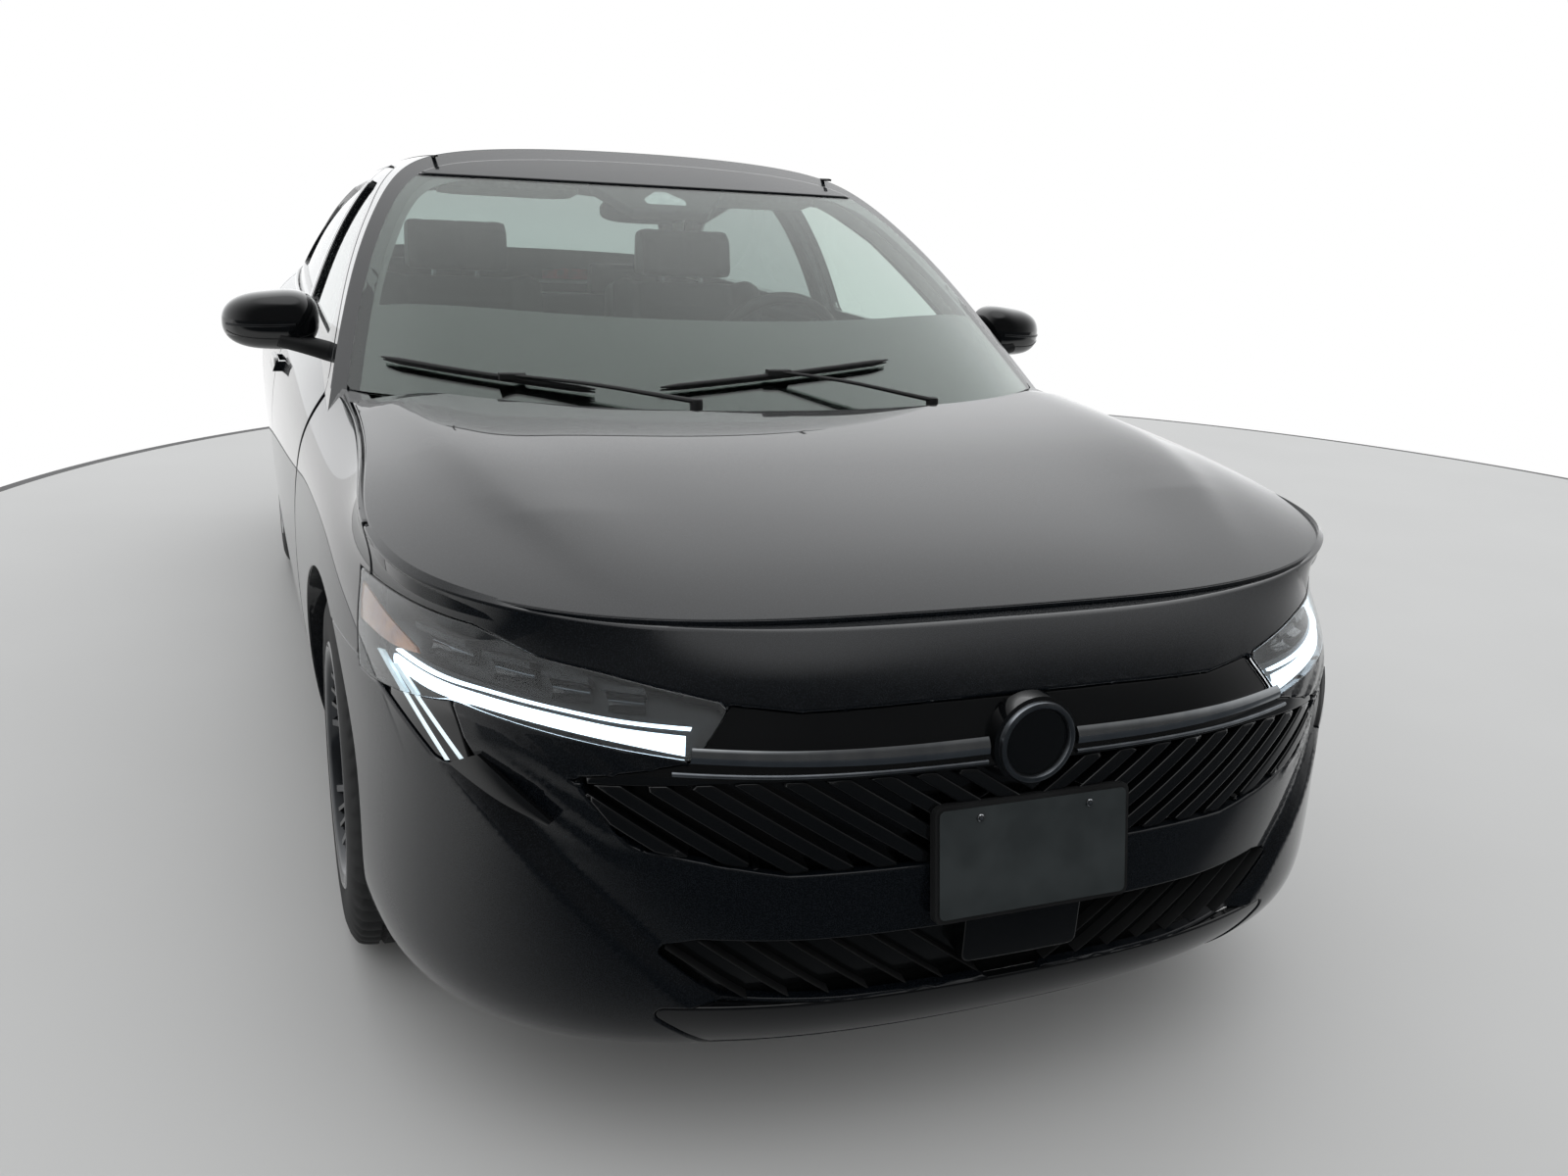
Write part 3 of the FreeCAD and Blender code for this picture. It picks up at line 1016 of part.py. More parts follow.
print("front structure", front_structure.isValid(), len(front_structure.Solids))
keep("front_structure", front_structure)

radiator = box_between((-rail_x[0] + sheet_thick, rail_x[0] - sheet_thick),
                       (along(.23), along(.275)), (.165 * HIGH, .470 * HIGH))
keep("radiator", radiator)
engine_half = size("rail_inner") - sheet_thick
keep("engine", box_between((-engine_half, engine_half), (along(.36), along(.845)), (arm_top + sheet_thick, .515 * HIGH)))

liner_out = HALF - FOLD * 1.1


def liner(station, inner, x_outer):
    outer = round_space(station, inner, x_outer, well_radius)
    hollow = round_space(station, 0, LENGTH, well_radius - size("liner_wall"))
    low = box_between((0, LENGTH), (-LENGTH, LENGTH), (0, .17 * HIGH))
    return outer.cut([hollow, low])


liners = []
for station, inner, walls in ((1, front_well_inner, [fender, bumper]), (2, rear_well_inner, [body_side, rear_bumper])):
    strut_hole = steer_rod(size("spring_radius") + PANEL_GAP, size("collar_top"), size("tower_low") + size("boss_radius"))
    one = largest(liner(station, inner, liner_out).cut(walls + ([strut_hole] if station == 1 else [])))
    liners += [one, mirrored(one)]
print("liners", [l.isValid() for l in liners])
keep("wheel_liners", Part.makeCompound(liners))

# Cabin: dashboard, column, steering wheel, console and seats
dash_half = size("dash_width") / 2
DASH_SHARES = [
    (1.153, .430, .3), (1.153, .602, .3), (1.110, .606, .3), (1.110, .620, .3), (1.280, .660, 1), (1.318, .640, 1),
    (1.318, .560, 1), (1.270, .430, 1)]
dash = prism(rounded_wire(side_corners(DASH_SHARES), "side"), -dash_half, dash_half, X_AXIS)
dash = largest(dash.cut([screen_front, screen_layer(WINDSCREEN_POLES, GLASS * 2, 1), pan]))
wheel_at = Vector(size("steering_side"), along(1.393), size("steering_high"))
RAKE = math.radians(size("steering_rake"))
COLUMN_AXIS = Vector(0, math.cos(RAKE), math.sin(RAKE))
column_end = wheel_at - COLUMN_AXIS * size("bag_deep")
column = Part.makeCylinder(size("bag_radius") * 0.72, size("column_long"), column_end, COLUMN_AXIS * -1)
column_bore = Part.makeCylinder(size("column_radius") + size("pin_play"), size("column_long") / 2, column_end,
                                COLUMN_AXIS * -1)
dash = largest(dash.fuse(column).cut(column_bore))
print("dash", dash.isValid())
keep("dashboard", dash)

steering = new_body("steering_wheel", wheel_at, FreeCAD.Rotation(X_AXIS, COLUMN_AXIS))
grip = [("-Sizes.steering_grip", "Sizes.steering_radius - Sizes.steering_grip*0.4"),
        ("-Sizes.steering_grip*0.4", "Sizes.steering_radius - Sizes.steering_grip"),
        ("Sizes.steering_grip*0.4", "Sizes.steering_radius - Sizes.steering_grip"),
        ("Sizes.steering_grip", "Sizes.steering_radius - Sizes.steering_grip*0.4"),
        ("Sizes.steering_grip", "Sizes.steering_radius + Sizes.steering_grip*0.4"),
        ("Sizes.steering_grip*0.4", "Sizes.steering_radius + Sizes.steering_grip"),
        ("-Sizes.steering_grip*0.4", "Sizes.steering_radius + Sizes.steering_grip"),
        ("-Sizes.steering_grip", "Sizes.steering_radius + Sizes.steering_grip*0.4")]
bag = [("-Sizes.bag_deep - Sizes.column_long*0.4", "0"), ("Sizes.steering_grip", "0"),
       ("Sizes.steering_grip", "Sizes.bag_radius*0.8"), ("0", "Sizes.bag_radius"),
       ("-Sizes.bag_deep + Sizes.run_gap", "Sizes.bag_radius*0.7"),
       ("-Sizes.bag_deep + Sizes.run_gap", "Sizes.column_radius"),
       ("-Sizes.bag_deep - Sizes.column_long*0.4", "Sizes.column_radius")]
revolved(steering, bag)
ring_sketch = outline_sketch(steering, "XY_Plane", grip)
ring = steering.newObject("PartDesign::Revolution", "steering_ring")
ring.Profile = ring_sketch
ring.ReferenceAxis = (ring_sketch, ["H_Axis"])
ring.Angle = 360
spokes = outline_sketch(steering, "YZ_Plane", [
    ("-Sizes.steering_radius", "-Sizes.spoke_high/2"), ("Sizes.steering_radius", "-Sizes.spoke_high/2"),
    ("Sizes.steering_radius", "Sizes.spoke_high/2"), ("-Sizes.steering_radius", "Sizes.spoke_high/2")])
spoke_pad = steering.newObject("PartDesign::Pad", "steering_spokes")
spoke_pad.Profile = spokes
spoke_pad.setExpression("Length", "Sizes.steering_grip")
spoke_pad.SideType = "Symmetric"
doc.recompute()
NODES.append(steering)

console = new_body("console", Vector(0, 0, 0))
console_corners = [(along(s), h * HIGH) for s, h in [
    (1.322, .1465), (1.322, .440), (1.36, .430), (1.45, .385), (1.60, .390), (1.62, .370), (1.62, .1465)]]
console_corners = [(y, max(z, hump_top)) for y, z in console_corners]
padded(console, "YZ_Plane", console_corners, "Sizes.console_width")
NODES.append(console)

SEAT_SHARES = [
    (1.440, .1465), (1.425, .290), (1.432, .338), (1.475, .350), (1.590, .330), (1.650, .560), (1.690, .755),
    (1.700, .842), (1.722, .858), (1.748, .835), (1.738, .745), (1.700, .560), (1.665, .330), (1.655, .270),
    (1.640, .1465)]


def seat(label, middle, width, corners):
    body = new_body(label, Vector(middle, 0, 0))
    pad = padded(body, "YZ_Plane", [(along(s), h * HIGH) for s, h in corners], width)
    return body


SEAT_CUSHION_SHARES = [(1.440, .215), (1.425, .290), (1.432, .338), (1.475, .350), (1.600, .325), (1.620, .215)]
SEAT_BACK_SHARES = [
    (1.588, .300), (1.668, .700), (1.680, .752), (1.722, .742), (1.718, .640), (1.655, .300), (1.640, .230), (1.598, .230)]
HEAD_REST_SHARES = [(1.676, .772), (1.686, .842), (1.700, .858), (1.722, .850), (1.722, .775)]
SEAT_BASE_SHARES = [(1.465, .1459), (1.465, .250), (1.605, .250), (1.610, .1459)]
POST_SHARES = [(1.698, .745), (1.698, .775), (1.706, .775), (1.706, .745)]


def part_prism(corners, middle, width):
    wire = rounded_wire([(along(s), h * HIGH, size("seat_round")) for s, h in corners], "side")
    return prism(wire, middle - width / 2, middle + width / 2, X_AXIS)


front_seats = []
for side in (1, -1):
    middle = side * size("seat_apart") / 2
    wide, rest = size("seat_width"), size("rest_width")
    shapes = [part_prism(SEAT_CUSHION_SHARES, middle, wide), part_prism(SEAT_BACK_SHARES, middle, wide),
              part_prism(HEAD_REST_SHARES, middle, rest), part_prism(SEAT_BASE_SHARES, middle, wide * 0.8)]
    posts = [box_between((middle + post * rest / 4 - sheet_thick / 2, middle + post * rest / 4 + sheet_thick / 2),
                         (along(1.698), along(1.705)), (.735 * HIGH, .780 * HIGH)) for post in (1, -1)]
    front_seats.append(largest(shapes[0].fuse(shapes[1:] + posts)))
keep("front_seats", Part.makeCompound(front_seats))
BENCH_SHARES = [
    (1.806, .2283), (1.790, .330), (1.806, .347), (1.905, .330), (1.940, .600), (1.952, .686), (1.984, .686),
    (1.984, .2545), (1.9520, .2545), (1.9520, .2283)]
bench = part_prism(BENCH_SHARES, 0, size("bench_width"))
REAR_REST_SHARES = [(1.955, .680), (1.954, .745), (1.962, .762), (1.980, .754), (1.982, .680)]
rests = [part_prism(REAR_REST_SHARES, middle, size("rest_width")) for middle in
         (size("seat_apart") / 2, -size("seat_apart") / 2)]
keep("rear_seat", largest(bench.fuse(rests)))
print("seats", [(n.Label, n.Shape.isValid(), len(n.Shape.Solids)) for n in NODES[-5:]])

# Under the floor: exhaust and fuel tank
pipe_x = hump * 0.55
pipe_start = Vector(pipe_x, along(.86), size("pipe_high"))
pipe_bend = Vector(pipe_x, along(2.05), size("pipe_high"))
pipe_end = Vector(pipe_x, along(2.52), .160 * HIGH)
pipe = Part.makeCylinder(size("pipe_radius"), (pipe_bend - pipe_start).Length, pipe_start, Y_AXIS).fuse([
    Part.makeSphere(size("pipe_radius"), pipe_bend),
    Part.makeCylinder(size("pipe_radius"), (pipe_end - pipe_bend).Length, pipe_bend, pipe_end - pipe_bend)])
silencer = box_between((-hump * 1.6, hump * 2.8), (along(2.50), along(2.70)), (.133 * HIGH, .205 * HIGH))
tail_pipe = Part.makeCylinder(size("pipe_radius"), along(2.92) - along(2.66),
                              Vector(hump * 2.4, along(2.66), .1485 * HIGH), Y_AXIS)
hangers = [box_between((x, x + sheet_thick), (along(2.58), along(2.60)), (.200 * HIGH, boot_high - sheet_thick))
           for x in (-hump, hump * 2)]
link = box_between((pipe_x - sheet_thick, pipe_x + sheet_thick), (along(1.60), along(1.61)),
                   (size("pipe_high"), hump_top - sheet_thick))
down_pipe = box_between((pipe_x - sheet_thick, pipe_x + sheet_thick), (along(.845), along(.875)),
                        (size("pipe_high") - sheet_thick, arm_top + 3 * sheet_thick))
exhaust = pipe.fuse([silencer, tail_pipe, link, down_pipe] + hangers)
keep("exhaust", largest(exhaust))
tank = box_between((pipe_x - hump, -HALF * 0.60), (along(1.812), along(1.885)), (.14 * HIGH, seat_high - sheet_thick))
keep("fuel_tank", tank)

# Cowl and wipers
cowl_slab = extruded(moved_poles(BONNET_POLES, Vector(0, 0, -LID - 2 * PANEL_GAP)), Vector(0, 0, -2 * sheet_thick))
cowl = cowl_slab.common(plan_strip(COWL_FRONT_SHARES, COWL_BACK_SHARES))
cowl = largest(cowl.cut([body_side, mirror_side, pan, dash, front_structure]))
print("cowl", cowl.isValid())
keep("cowl", cowl)


def wiper(pivot_share, tip_share, pivot_station, tip_station, pivot_high, tip_high):
    """A pivot, an arm and a blade lying along the foot of the windscreen."""
    pivot = at(pivot_share, pivot_station, pivot_high)
    tip = at(tip_share, tip_station, tip_high)
    blade_start = pivot + (tip - pivot) * 0.30
    radius = size("blade_radius")
    blade = Part.makeCylinder(radius, (tip - blade_start).Length, blade_start, tip - pivot)
    arm = Part.makeCylinder(radius * 1.3, (tip - pivot).Length * 0.6, pivot, tip - pivot)
    post = Part.makeCylinder(radius * 2, 6 * radius, pivot - Z_AXIS * radius * 5, Z_AXIS)
    return blade.fuse([arm, post])


WIPER_SHARES = [(.40, -.30, 1.058, 1.088, .660, .672), (-.18, -.80, 1.055, 1.122, .660, .668)]
wipers = [wiper(*shares) for shares in WIPER_SHARES]
keep("wipers", Part.makeCompound([largest(w.cut([windscreen, cowl])) for w in wipers]))

# Grilles: a dark back plate with slanting slats in front, in both openings
NOSE = (-.2, .5)
back_layer = wrap_shell(FOLD, FOLD - size("grille_back"))
slat_layer = wrap_shell(FOLD - size("grille_back"), size("slat_front"))
GRILLE_SLATS_SHARES = [(.04 + .062 * i, .062) for i in range(13)]


def slats(outline_shares, low_share, top_share, lean_share, count, pitch_share, start_share):
    """Bars slanting down towards the middle, over a grille's opening."""
    bars = []
    for i in range(count):
        foot = start_share + i * pitch_share
        thick = size("slat_thick") / HALF
        corners = [(foot, low_share, 0), (foot + lean_share, top_share, 0), (foot + lean_share + thick, top_share, 0),
                   (foot + thick, low_share, 0)]
        bars.append(front_prism(corners, *NOSE))
    return slat_layer.common(bars[0].fuse(bars[1:])).common(front_prism(outline_shares, *NOSE, -SEAT_GAP))


def grille(outline_shares, low_share, top_share, lean_share, count, pitch_share, start_share):
    back = back_layer.common(front_prism(outline_shares, *NOSE, -SEAT_GAP))
    bars = slats(outline_shares, low_share, top_share, lean_share, count, pitch_share, start_share)
    half = back.fuse(bars)
    return half.fuse(mirrored(half))


upper = grille(GRILLE_SHARES, .30, .44, .17, 9, .072, -.10)
lower = grille(INTAKE_SHARES, .17, .27, .12, 8, .060, .05)
print("grilles", upper.isValid(), lower.isValid(), len(upper.Solids), len(lower.Solids))
keep("grille", Part.makeCompound([largest(upper), largest(lower)]))

# Number plate holder, leaning with the nose, and the round badge above it
plate_wide, plate_deep, plate_high = size("plate_wide"), size("plate_deep"), size("plate_high")
plate = Part.makeBox(plate_wide, plate_deep, plate_high, Vector(-plate_wide / 2, 0, 0))
plate_foot = Part.makeBox(plate_wide / 2, 4 * plate_deep, plate_high / 3, Vector(-plate_wide / 4, 0, plate_high / 3))
plate = plate.fuse(plate_foot)
plate.rotate(Vector(0, 0, 0), X_AXIS, -size("plate_lean"))
plate.translate(Vector(0, along(0) - size("plate_lead"), size("plate_low")))
plate = largest(plate.cut([bumper, upper, front_structure]))
keep("number_plate", plate)
badge_middle = at(0, .012, .436)
badge = Part.makeCylinder(size("badge_radius"), 3 * size("badge_deep"), badge_middle, Y_AXIS)
keep("badge", largest(badge.cut([bumper, upper])))
print("front pieces", plate.isValid())


MIRROR_FACE_SHARES = [
    (-.50, -.30, .5), (-.44, .34, .6), (-.20, .50, 1), (.30, .48, .9), (.50, .12, .7), (.44, -.38, .6), (-.10, -.50, 1)]
MIRROR_PLAN_SHARES = [(-.48, .30), (-.52, .02), (-.38, -.36), (-.08, -.52), (.26, -.44), (.46, -.20), (.50, .10), (.49, .30)]


def door_mirror():
    """Housing and its foot on the door."""
    middle = at(1.02, 1.285, .715)
    wide, deep, high = size("mirror_wide"), size("mirror_deep"), size("mirror_high")
    face = rounded_wire([(a * wide, b * high, r * size("edge_round")) for a, b, r in MIRROR_FACE_SHARES], "front")
    plan = rounded_wire([(a * wide, b * deep, size("edge_round") / 2) for a, b in MIRROR_PLAN_SHARES], "plan")
    shell = prism(face, -deep, deep, Y_AXIS).common(prism(plan, -high, high, Z_AXIS))
    shell.translate(middle)
    foot = box_between((middle.x - wide * 0.8, middle.x - wide * 0.2), (middle.y - deep * 0.25, middle.y + deep * 0.1),
                       (middle.z - high * 0.45, middle.z - high * 0.2))
    return largest(shell.fuse(foot).cut(front_door))


def handle(station, height_share):
    """A bar along the door on two feet."""
    middle = Vector(0, along(station), height_share * HIGH)
    long, out = size("handle_long"), size("handle_out")
    bar = box_between((HALF - DOOR_SKIN / 2, HALF + out), (middle.y - long / 2, middle.y + long / 2),
                      (middle.z - size("handle_high") / 2, middle.z + size("handle_high") / 2))
    shell = between(wrap_inner(-out, -out, 0), wrap_inner(-out + size("handle_thick"), -out + size("handle_thick"), 0))
    strip = shell.common(bar)
    feet = [wrap_shell(out, -out).common(box_between(
        (0, LENGTH), (middle.y + side * long / 2 - side * size("handle_high"), middle.y + side * long / 2),
        (middle.z - size("handle_high") / 2, middle.z + size("handle_high") / 2))) for side in (1, -1)]
    return strip.fuse(feet)


front_door = largest(front_door.fuse(handle(1.545, .600)))
rear_door = largest(rear_door.fuse(handle(1.880, .618)))
mirror_left = door_mirror()
print("doors", front_door.isValid(), rear_door.isValid(), mirror_left.isValid())
for side, turn in (("left", lambda s: s), ("right", mirrored)):
    keep("front_door_" + side, turn(front_door))
    keep("rear_door_" + side, turn(rear_door))
    keep("front_glass_" + side, turn(front_pane))
    keep("rear_glass_" + side, turn(rear_pane))
    keep("mirror_" + side, turn(mirror_left))
keep("body_sides", Part.makeCompound([body_side, mirror_side]))
keep("roof_panel", roof_panel)
keep("hood", bonnet)
keep("trunk_lid", boot_lid)
keep("front_fenders", Part.makeCompound([fender, mirrored(fender)]))
keep("front_bumper", largest(bumper))
keep("rear_bumper", largest(rear_bumper))
keep("windshield", windscreen)
keep("rear_window", back_window)
keep("headlamps", Part.makeCompound([headlamp, mirrored(headlamp)]))
keep("tail_lamps", Part.makeCompound([side_tail_lamp, mirrored(side_tail_lamp)]))
keep("lid_lamps", Part.makeCompound([lid_tail_lamp, mirrored(lid_tail_lamp)]))

doc.recompute()
for item in doc.Objects:
    if "Invalid" in item.State or "Error" in item.State:
        raise RuntimeError("%s was not made: %s" % (item.Label, item.State))
for node in NODES:
    if node.Shape.isNull() or not node.Shape.isValid() or not node.Shape.Solids:
        raise RuntimeError("%s has no sound shape" % node.Label)
os.makedirs("parts", exist_ok=True)
for node in NODES:
    node.Shape.exportStep(os.path.join("parts", node.Label + ".step"))
print("%d pieces" % len(NODES))
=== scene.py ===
"""Looks of the four-door sedan car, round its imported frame."""
import math

import bmesh
import bpy
import numpy as np
from mathutils import Matrix, Vector


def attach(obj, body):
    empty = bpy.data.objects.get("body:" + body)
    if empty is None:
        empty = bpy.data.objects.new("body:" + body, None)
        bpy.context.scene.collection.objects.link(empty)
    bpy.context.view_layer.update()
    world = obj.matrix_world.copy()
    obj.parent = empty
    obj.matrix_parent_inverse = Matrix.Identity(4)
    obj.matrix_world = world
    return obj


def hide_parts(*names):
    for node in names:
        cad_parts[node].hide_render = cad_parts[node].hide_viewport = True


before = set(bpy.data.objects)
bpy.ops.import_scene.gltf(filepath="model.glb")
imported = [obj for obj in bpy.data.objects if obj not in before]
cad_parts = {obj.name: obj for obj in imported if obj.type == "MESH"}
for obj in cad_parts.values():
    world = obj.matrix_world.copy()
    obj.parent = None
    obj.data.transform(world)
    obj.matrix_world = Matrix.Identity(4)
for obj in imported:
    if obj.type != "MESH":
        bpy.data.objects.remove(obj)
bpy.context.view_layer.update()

bl_info = {
    "name": "Sedan car", "version": (1, 0, 0), "blender": (4, 5, 0), "location": "3D View > Sidebar > Sedan",
    "description": "Paint, glass, lamps, wheels and cabin of a four-door sedan", "category": "Add Mesh"}

# Sizes of the skin, as in the part's source, in metres
OVERHANG, WHEELBASE, TAIL = 0.905, 2.706, 1.045
HALF, HIGH = 0.908, 1.448
FRONT_AXLE = OVERHANG + (0.024 - OVERHANG - WHEELBASE - TAIL) / 2
REAR_AXLE = FRONT_AXLE + WHEELBASE
AXLE_HIGH, ARCH = 0.326, 0.360
GAP, PANEL_GAP, SEAT_GAP = 0.006, 0.005, 0.0004
LID, FRAME_SKIN, GLASS_INSET, GLASS = 0.028, 0.026, 0.009, 0.005
EDGE_ROUND = 0.040
WHEEL_MIDDLE = 0.7755
SCREEN_CORNER, SCREEN_HALF = (0.6855, 0.938), 0.798
HEADER_SHARE = 0.942


def along(station):
    if station <= 1:
        return FRONT_AXLE + (station - 1) * OVERHANG
    if station <= 2:
        return FRONT_AXLE + (station - 1) * WHEELBASE
    return REAR_AXLE + (station - 2) * TAIL


def at(across, station, up):
    return np.array([across * HALF, along(station), up * HIGH])


WRAP_COLUMN_SHARES = [
    (0, 0.0), (0.26, 0.0), (0.50, 0.045), (0.70, 0.135), (0.845, 0.285), (0.925, 0.47), (0.965, 0.72),
    (0.985, 1.0), (0.992, 1.16), (1.002, 1.33), (1.006, 1.52), (1.002, 1.72), (0.998, 1.90), (0.995, 2.08),
    (0.985, 2.32), (0.955, 2.55), (0.875, 2.77), (0.72, 2.91), (0.49, 2.975), (0.25, 3.0), (0, 3.0)]
WRAP_ROW_SHARES = [
    ({0: .118, 4: .118, 7: .128, 10: .128, 13: .130, 16: .150, 20: .175},
     {0: .96, 5: .965, 8: .905, 12: .905, 15: .93, 20: .93}, .085, .13),
    ({0: .146, 4: .148, 7: .165, 10: .172, 13: .175, 16: .190, 20: .215},
     {0: 1.0, 5: 1.01, 8: .955, 12: .955, 15: .98, 20: .98}, .012, .035),
    ({0: .215, 4: .222, 7: .240, 10: .255, 13: .260, 16: .270, 20: .290},
     {0: 1.0, 5: 1.015, 8: .985, 12: .985, 20: 1.0}, 0, 0),
    ({0: .310, 4: .325, 7: .345, 10: .355, 13: .360, 16: .370, 20: .385}, {0: 1.0, 20: 1.0}, 0, 0),
    ({0: .390, 4: .410, 7: .435, 10: .455, 13: .465, 16: .470, 20: .470},
     {0: 1.0, 10: 1.004, 13: 1.012, 20: 1.0}, 0, 0),
    ({0: .460, 4: .480, 7: .520, 10: .550, 13: .570, 16: .575, 20: .565},
     {0: .985, 4: .985, 7: .993, 10: .995, 13: 1.006, 16: .985, 20: .985}, .030, .050),
    ({0: .513, 4: .525, 7: .580, 10: .630, 13: .668, 16: .680, 20: .675},
     {0: .955, 4: .945, 7: .972, 10: .960, 13: .965, 16: .94, 20: .95}, .095, .095)]
WAIST_SHARES = [
    (0, .165, .539), (.25, .165, .539), (.47, .180, .538), (.68, .235, .535), (.83, .320, .530),
    (.912, .435, .527), (.940, .66, .545), (.895, .93, .585), (.880, 1.11, .632), (.900, 1.31, .668),
    (.900, 1.52, .680), (.896, 1.72, .690), (.885, 1.90, .700), (.855, 2.08, .712), (.795, 2.32, .735),
    (.735, 2.55, .752), (.69, 2.76, .760), (.60, 2.86, .763), (.43, 2.905, .765), (.22, 2.915, .766),
    (0, 2.915, .766)]
LAST = len(WRAP_COLUMN_SHARES) - 1
BONNET_ACROSS_SHARES = [0, .22, .45, .66, .84, 1.02]
BONNET_STATIONS = [.05, .22, .42, .68, .95, 1.15, 1.3]
BONNET_HEIGHT_SHARES = [
    [.512, .512, .510, .503, .492, .478], [.556, .556, .553, .548, .540, .530],
    [.590, .590, .588, .586, .582, .556], [.620, .621, .623, .626, .622, .574],
    [.646, .647, .650, .654, .646, .592], [.664, .665, .668, .671, .661, .612],
    [.676, .677, .679, .682, .672, .63]]
DECK_ACROSS_SHARES = [0, .25, .50, .70, .85]
DECK_STATIONS = [2.20, 2.40, 2.60, 2.80, 2.96, 3.1]
DECK_HEIGHT_SHARES = [
    [.748, .747, .744, .738, .728], [.753, .752, .749, .743, .734], [.758, .757, .755, .750, .742],
    [.762, .761, .759, .755, .748], [.768, .767, .764, .759, .752], [.776, .775, .771, .765, .757]]
CABIN_STATIONS = [1.00, 1.18, 1.36, 1.55, 1.75, 1.95, 2.15, 2.35, 2.60]
CABIN_SECTION_SHARES = [
    [(.93, .600), (.900, .660), (.850, .770), (.775, .860), (.690, .925), (.560, .955), (.30, .967),
     (0, .970)],
    [(.925, .615), (.896, .675), (.842, .785), (.762, .880), (.678, .944), (.548, .972), (.30, .985),
     (0, .989)],
    [(.922, .630), (.892, .685), (.835, .793), (.752, .890), (.668, .956), (.540, .983), (.30, .996),
     (0, .9995)],
    [(.920, .635), (.888, .690), (.828, .798), (.744, .894), (.660, .961), (.535, .987), (.30, 1.000),
     (0, 1.003)],
    [(.916, .640), (.884, .695), (.820, .798), (.736, .888), (.652, .953), (.53, .980), (.30, .993),
     (0, .9965)],
    [(.906, .645), (.872, .700), (.806, .793), (.722, .874), (.640, .934), (.52, .961), (.29, .977),
     (0, .981)],
    [(.884, .650), (.848, .705), (.782, .783), (.700, .850), (.622, .904), (.51, .930), (.28, .947),
     (0, .952)],
    [(.850, .655), (.812, .712), (.745, .775), (.670, .825), (.60, .870), (.49, .893), (.27, .909),
     (0, .914)],
    [(.80, .660), (.76, .715), (.70, .765), (.64, .80), (.57, .83), (.46, .85), (.26, .86), (0, .865)]]
SCREEN_ACROSS_SHARES = [0, .30, .55, .72, .86, 1.0]
WINDSCREEN_SHARES = [
    (.600, [1.018, 1.022, 1.042, 1.070, 1.113, 1.168]), (.655, [1.070, 1.074, 1.094, 1.122, 1.165, 1.220]),
    (.76, [1.170, 1.174, 1.194, 1.222, 1.262, 1.315]), (.87, [1.277, 1.281, 1.301, 1.328, 1.365, 1.418]),
    (.965, [1.385, 1.389, 1.409, 1.436, 1.472, 1.525]), (1.03, [1.475, 1.479, 1.499, 1.526, 1.56, 1.610])]
BACK_WINDOW_SHARES = [
    (.62, [2.580, 2.576, 2.55, 2.51, 2.45, 2.38]), (.70, [2.44, 2.436, 2.41, 2.37, 2.31, 2.24]),
    (.80, [2.265, 2.261, 2.237, 2.20, 2.145, 2.075]), (.90, [2.075, 2.071, 2.05, 2.02, 1.97, 1.90]),
    (1.0, [1.87, 1.866, 1.848, 1.82, 1.775, 1.71])]
FRONT_DOOR_SHARES = [
    (1.222, .172, 1), (1.204, .42, 3), (1.212, .655, 1), (1.245, .700, 1), (1.400, .880, 3),
    (1.490, .951, 3), (1.604, .956, .6), (1.598, .70, 1), (1.598, .172, 1)]
REAR_DOOR_SHARES = [
    (1.602, .172, 1), (1.602, .70, 1), (1.608, .956, .6), (1.80, .945, 6), (1.95, .893, 3),
    (2.050, .825, 1.2), (2.030, .70, 2), (1.975, .57, 4), (1.900, .44, 6), (1.858, .32, 4),
    (1.852, .172, 1)]
FRONT_PANE_SHARES = [
    (1.275, .694, .8), (1.415, .868, 2), (1.500, .926, 3), (1.588, .931, .5), (1.584, .709, .5)]
REAR_PANE_SHARES = [
    (1.622, .711, .5), (1.624, .931, .5), (1.800, .917, 5), (1.930, .874, 3), (2.018, .815, .8),
    (1.995, .738, .8)]
BODY_SIDE_SHARES = [
    (1.222, .02, 0), (1.222, 1.1, 0), (3.2, 1.1, 0), (3.2, .612, 0), (2.765, .604, 0), (2.36, .495, 1),
    (2.10, .495, 0), (2.10, .02, 0)]
FENDER_SHARES = [
    (.603, .450, 0), (.624, .60, 0), (.624, .75, 0), (1.200, .75, 0), (1.202, .02, 0), (.90, .02, 0),
    (.90, .450, 0)]
BUMPER_SHARES = [(-.2, .02, 0), (-.2, .60, 0), (.62, .60, 0), (.60, .450, 0), (.95, .450, 0), (.95, .02, 0)]
REAR_BUMPER_SHARES = [
    (2.10, .02, 0), (2.10, .495, 0), (2.36, .495, 1), (2.765, .604, 0), (3.2, .612, 0), (3.2, .02, 0)]
BONNET_BACK_SHARES = [(0, 1.035), (.30, 1.038), (.55, 1.056), (.72, 1.085), (.86, 1.120), (1.05, 1.16)]
LID_FRONT_SHARES = [(0, 2.385), (.30, 2.382), (.50, 2.368), (.64, 2.335)]
LID_BACK_SHARES = [
    (-.500, .512, 1), (.500, .512, 1), (.570, .620, 2), (.600, .720, 2), (.600, .90, 0), (-.600, .90, 0),
    (-.600, .720, 2), (-.570, .620, 2)]
ROOF_SIDE_SHARE = .575
TAIL_LAMP_SHARES = [
    (.30, .665, .3), (.30, .700, .3), (.60, .735, 1), (1.1, .738, 0), (1.1, .618, 0), (.70, .618, .5)]
TAIL_LAMP_FRONT = 2.62
HEADLAMP_SHARES = [
    (.470, .4835, .2), (.530, .4365, .2), (.720, .4515, 1), (.832, .4600, 1), (.93, .4400, 0),
    (1.2, .44, 0), (1.2, .545, 0), (.800, .530, .3), (.720, .5120, 1), (.640, .5050, 2)]
HEADLAMP_END_SHARES = [(-.2, .30, 0), (-.2, .70, 0), (.720, .60, 0), (.600, .44, 0), (.50, .30, 0)]
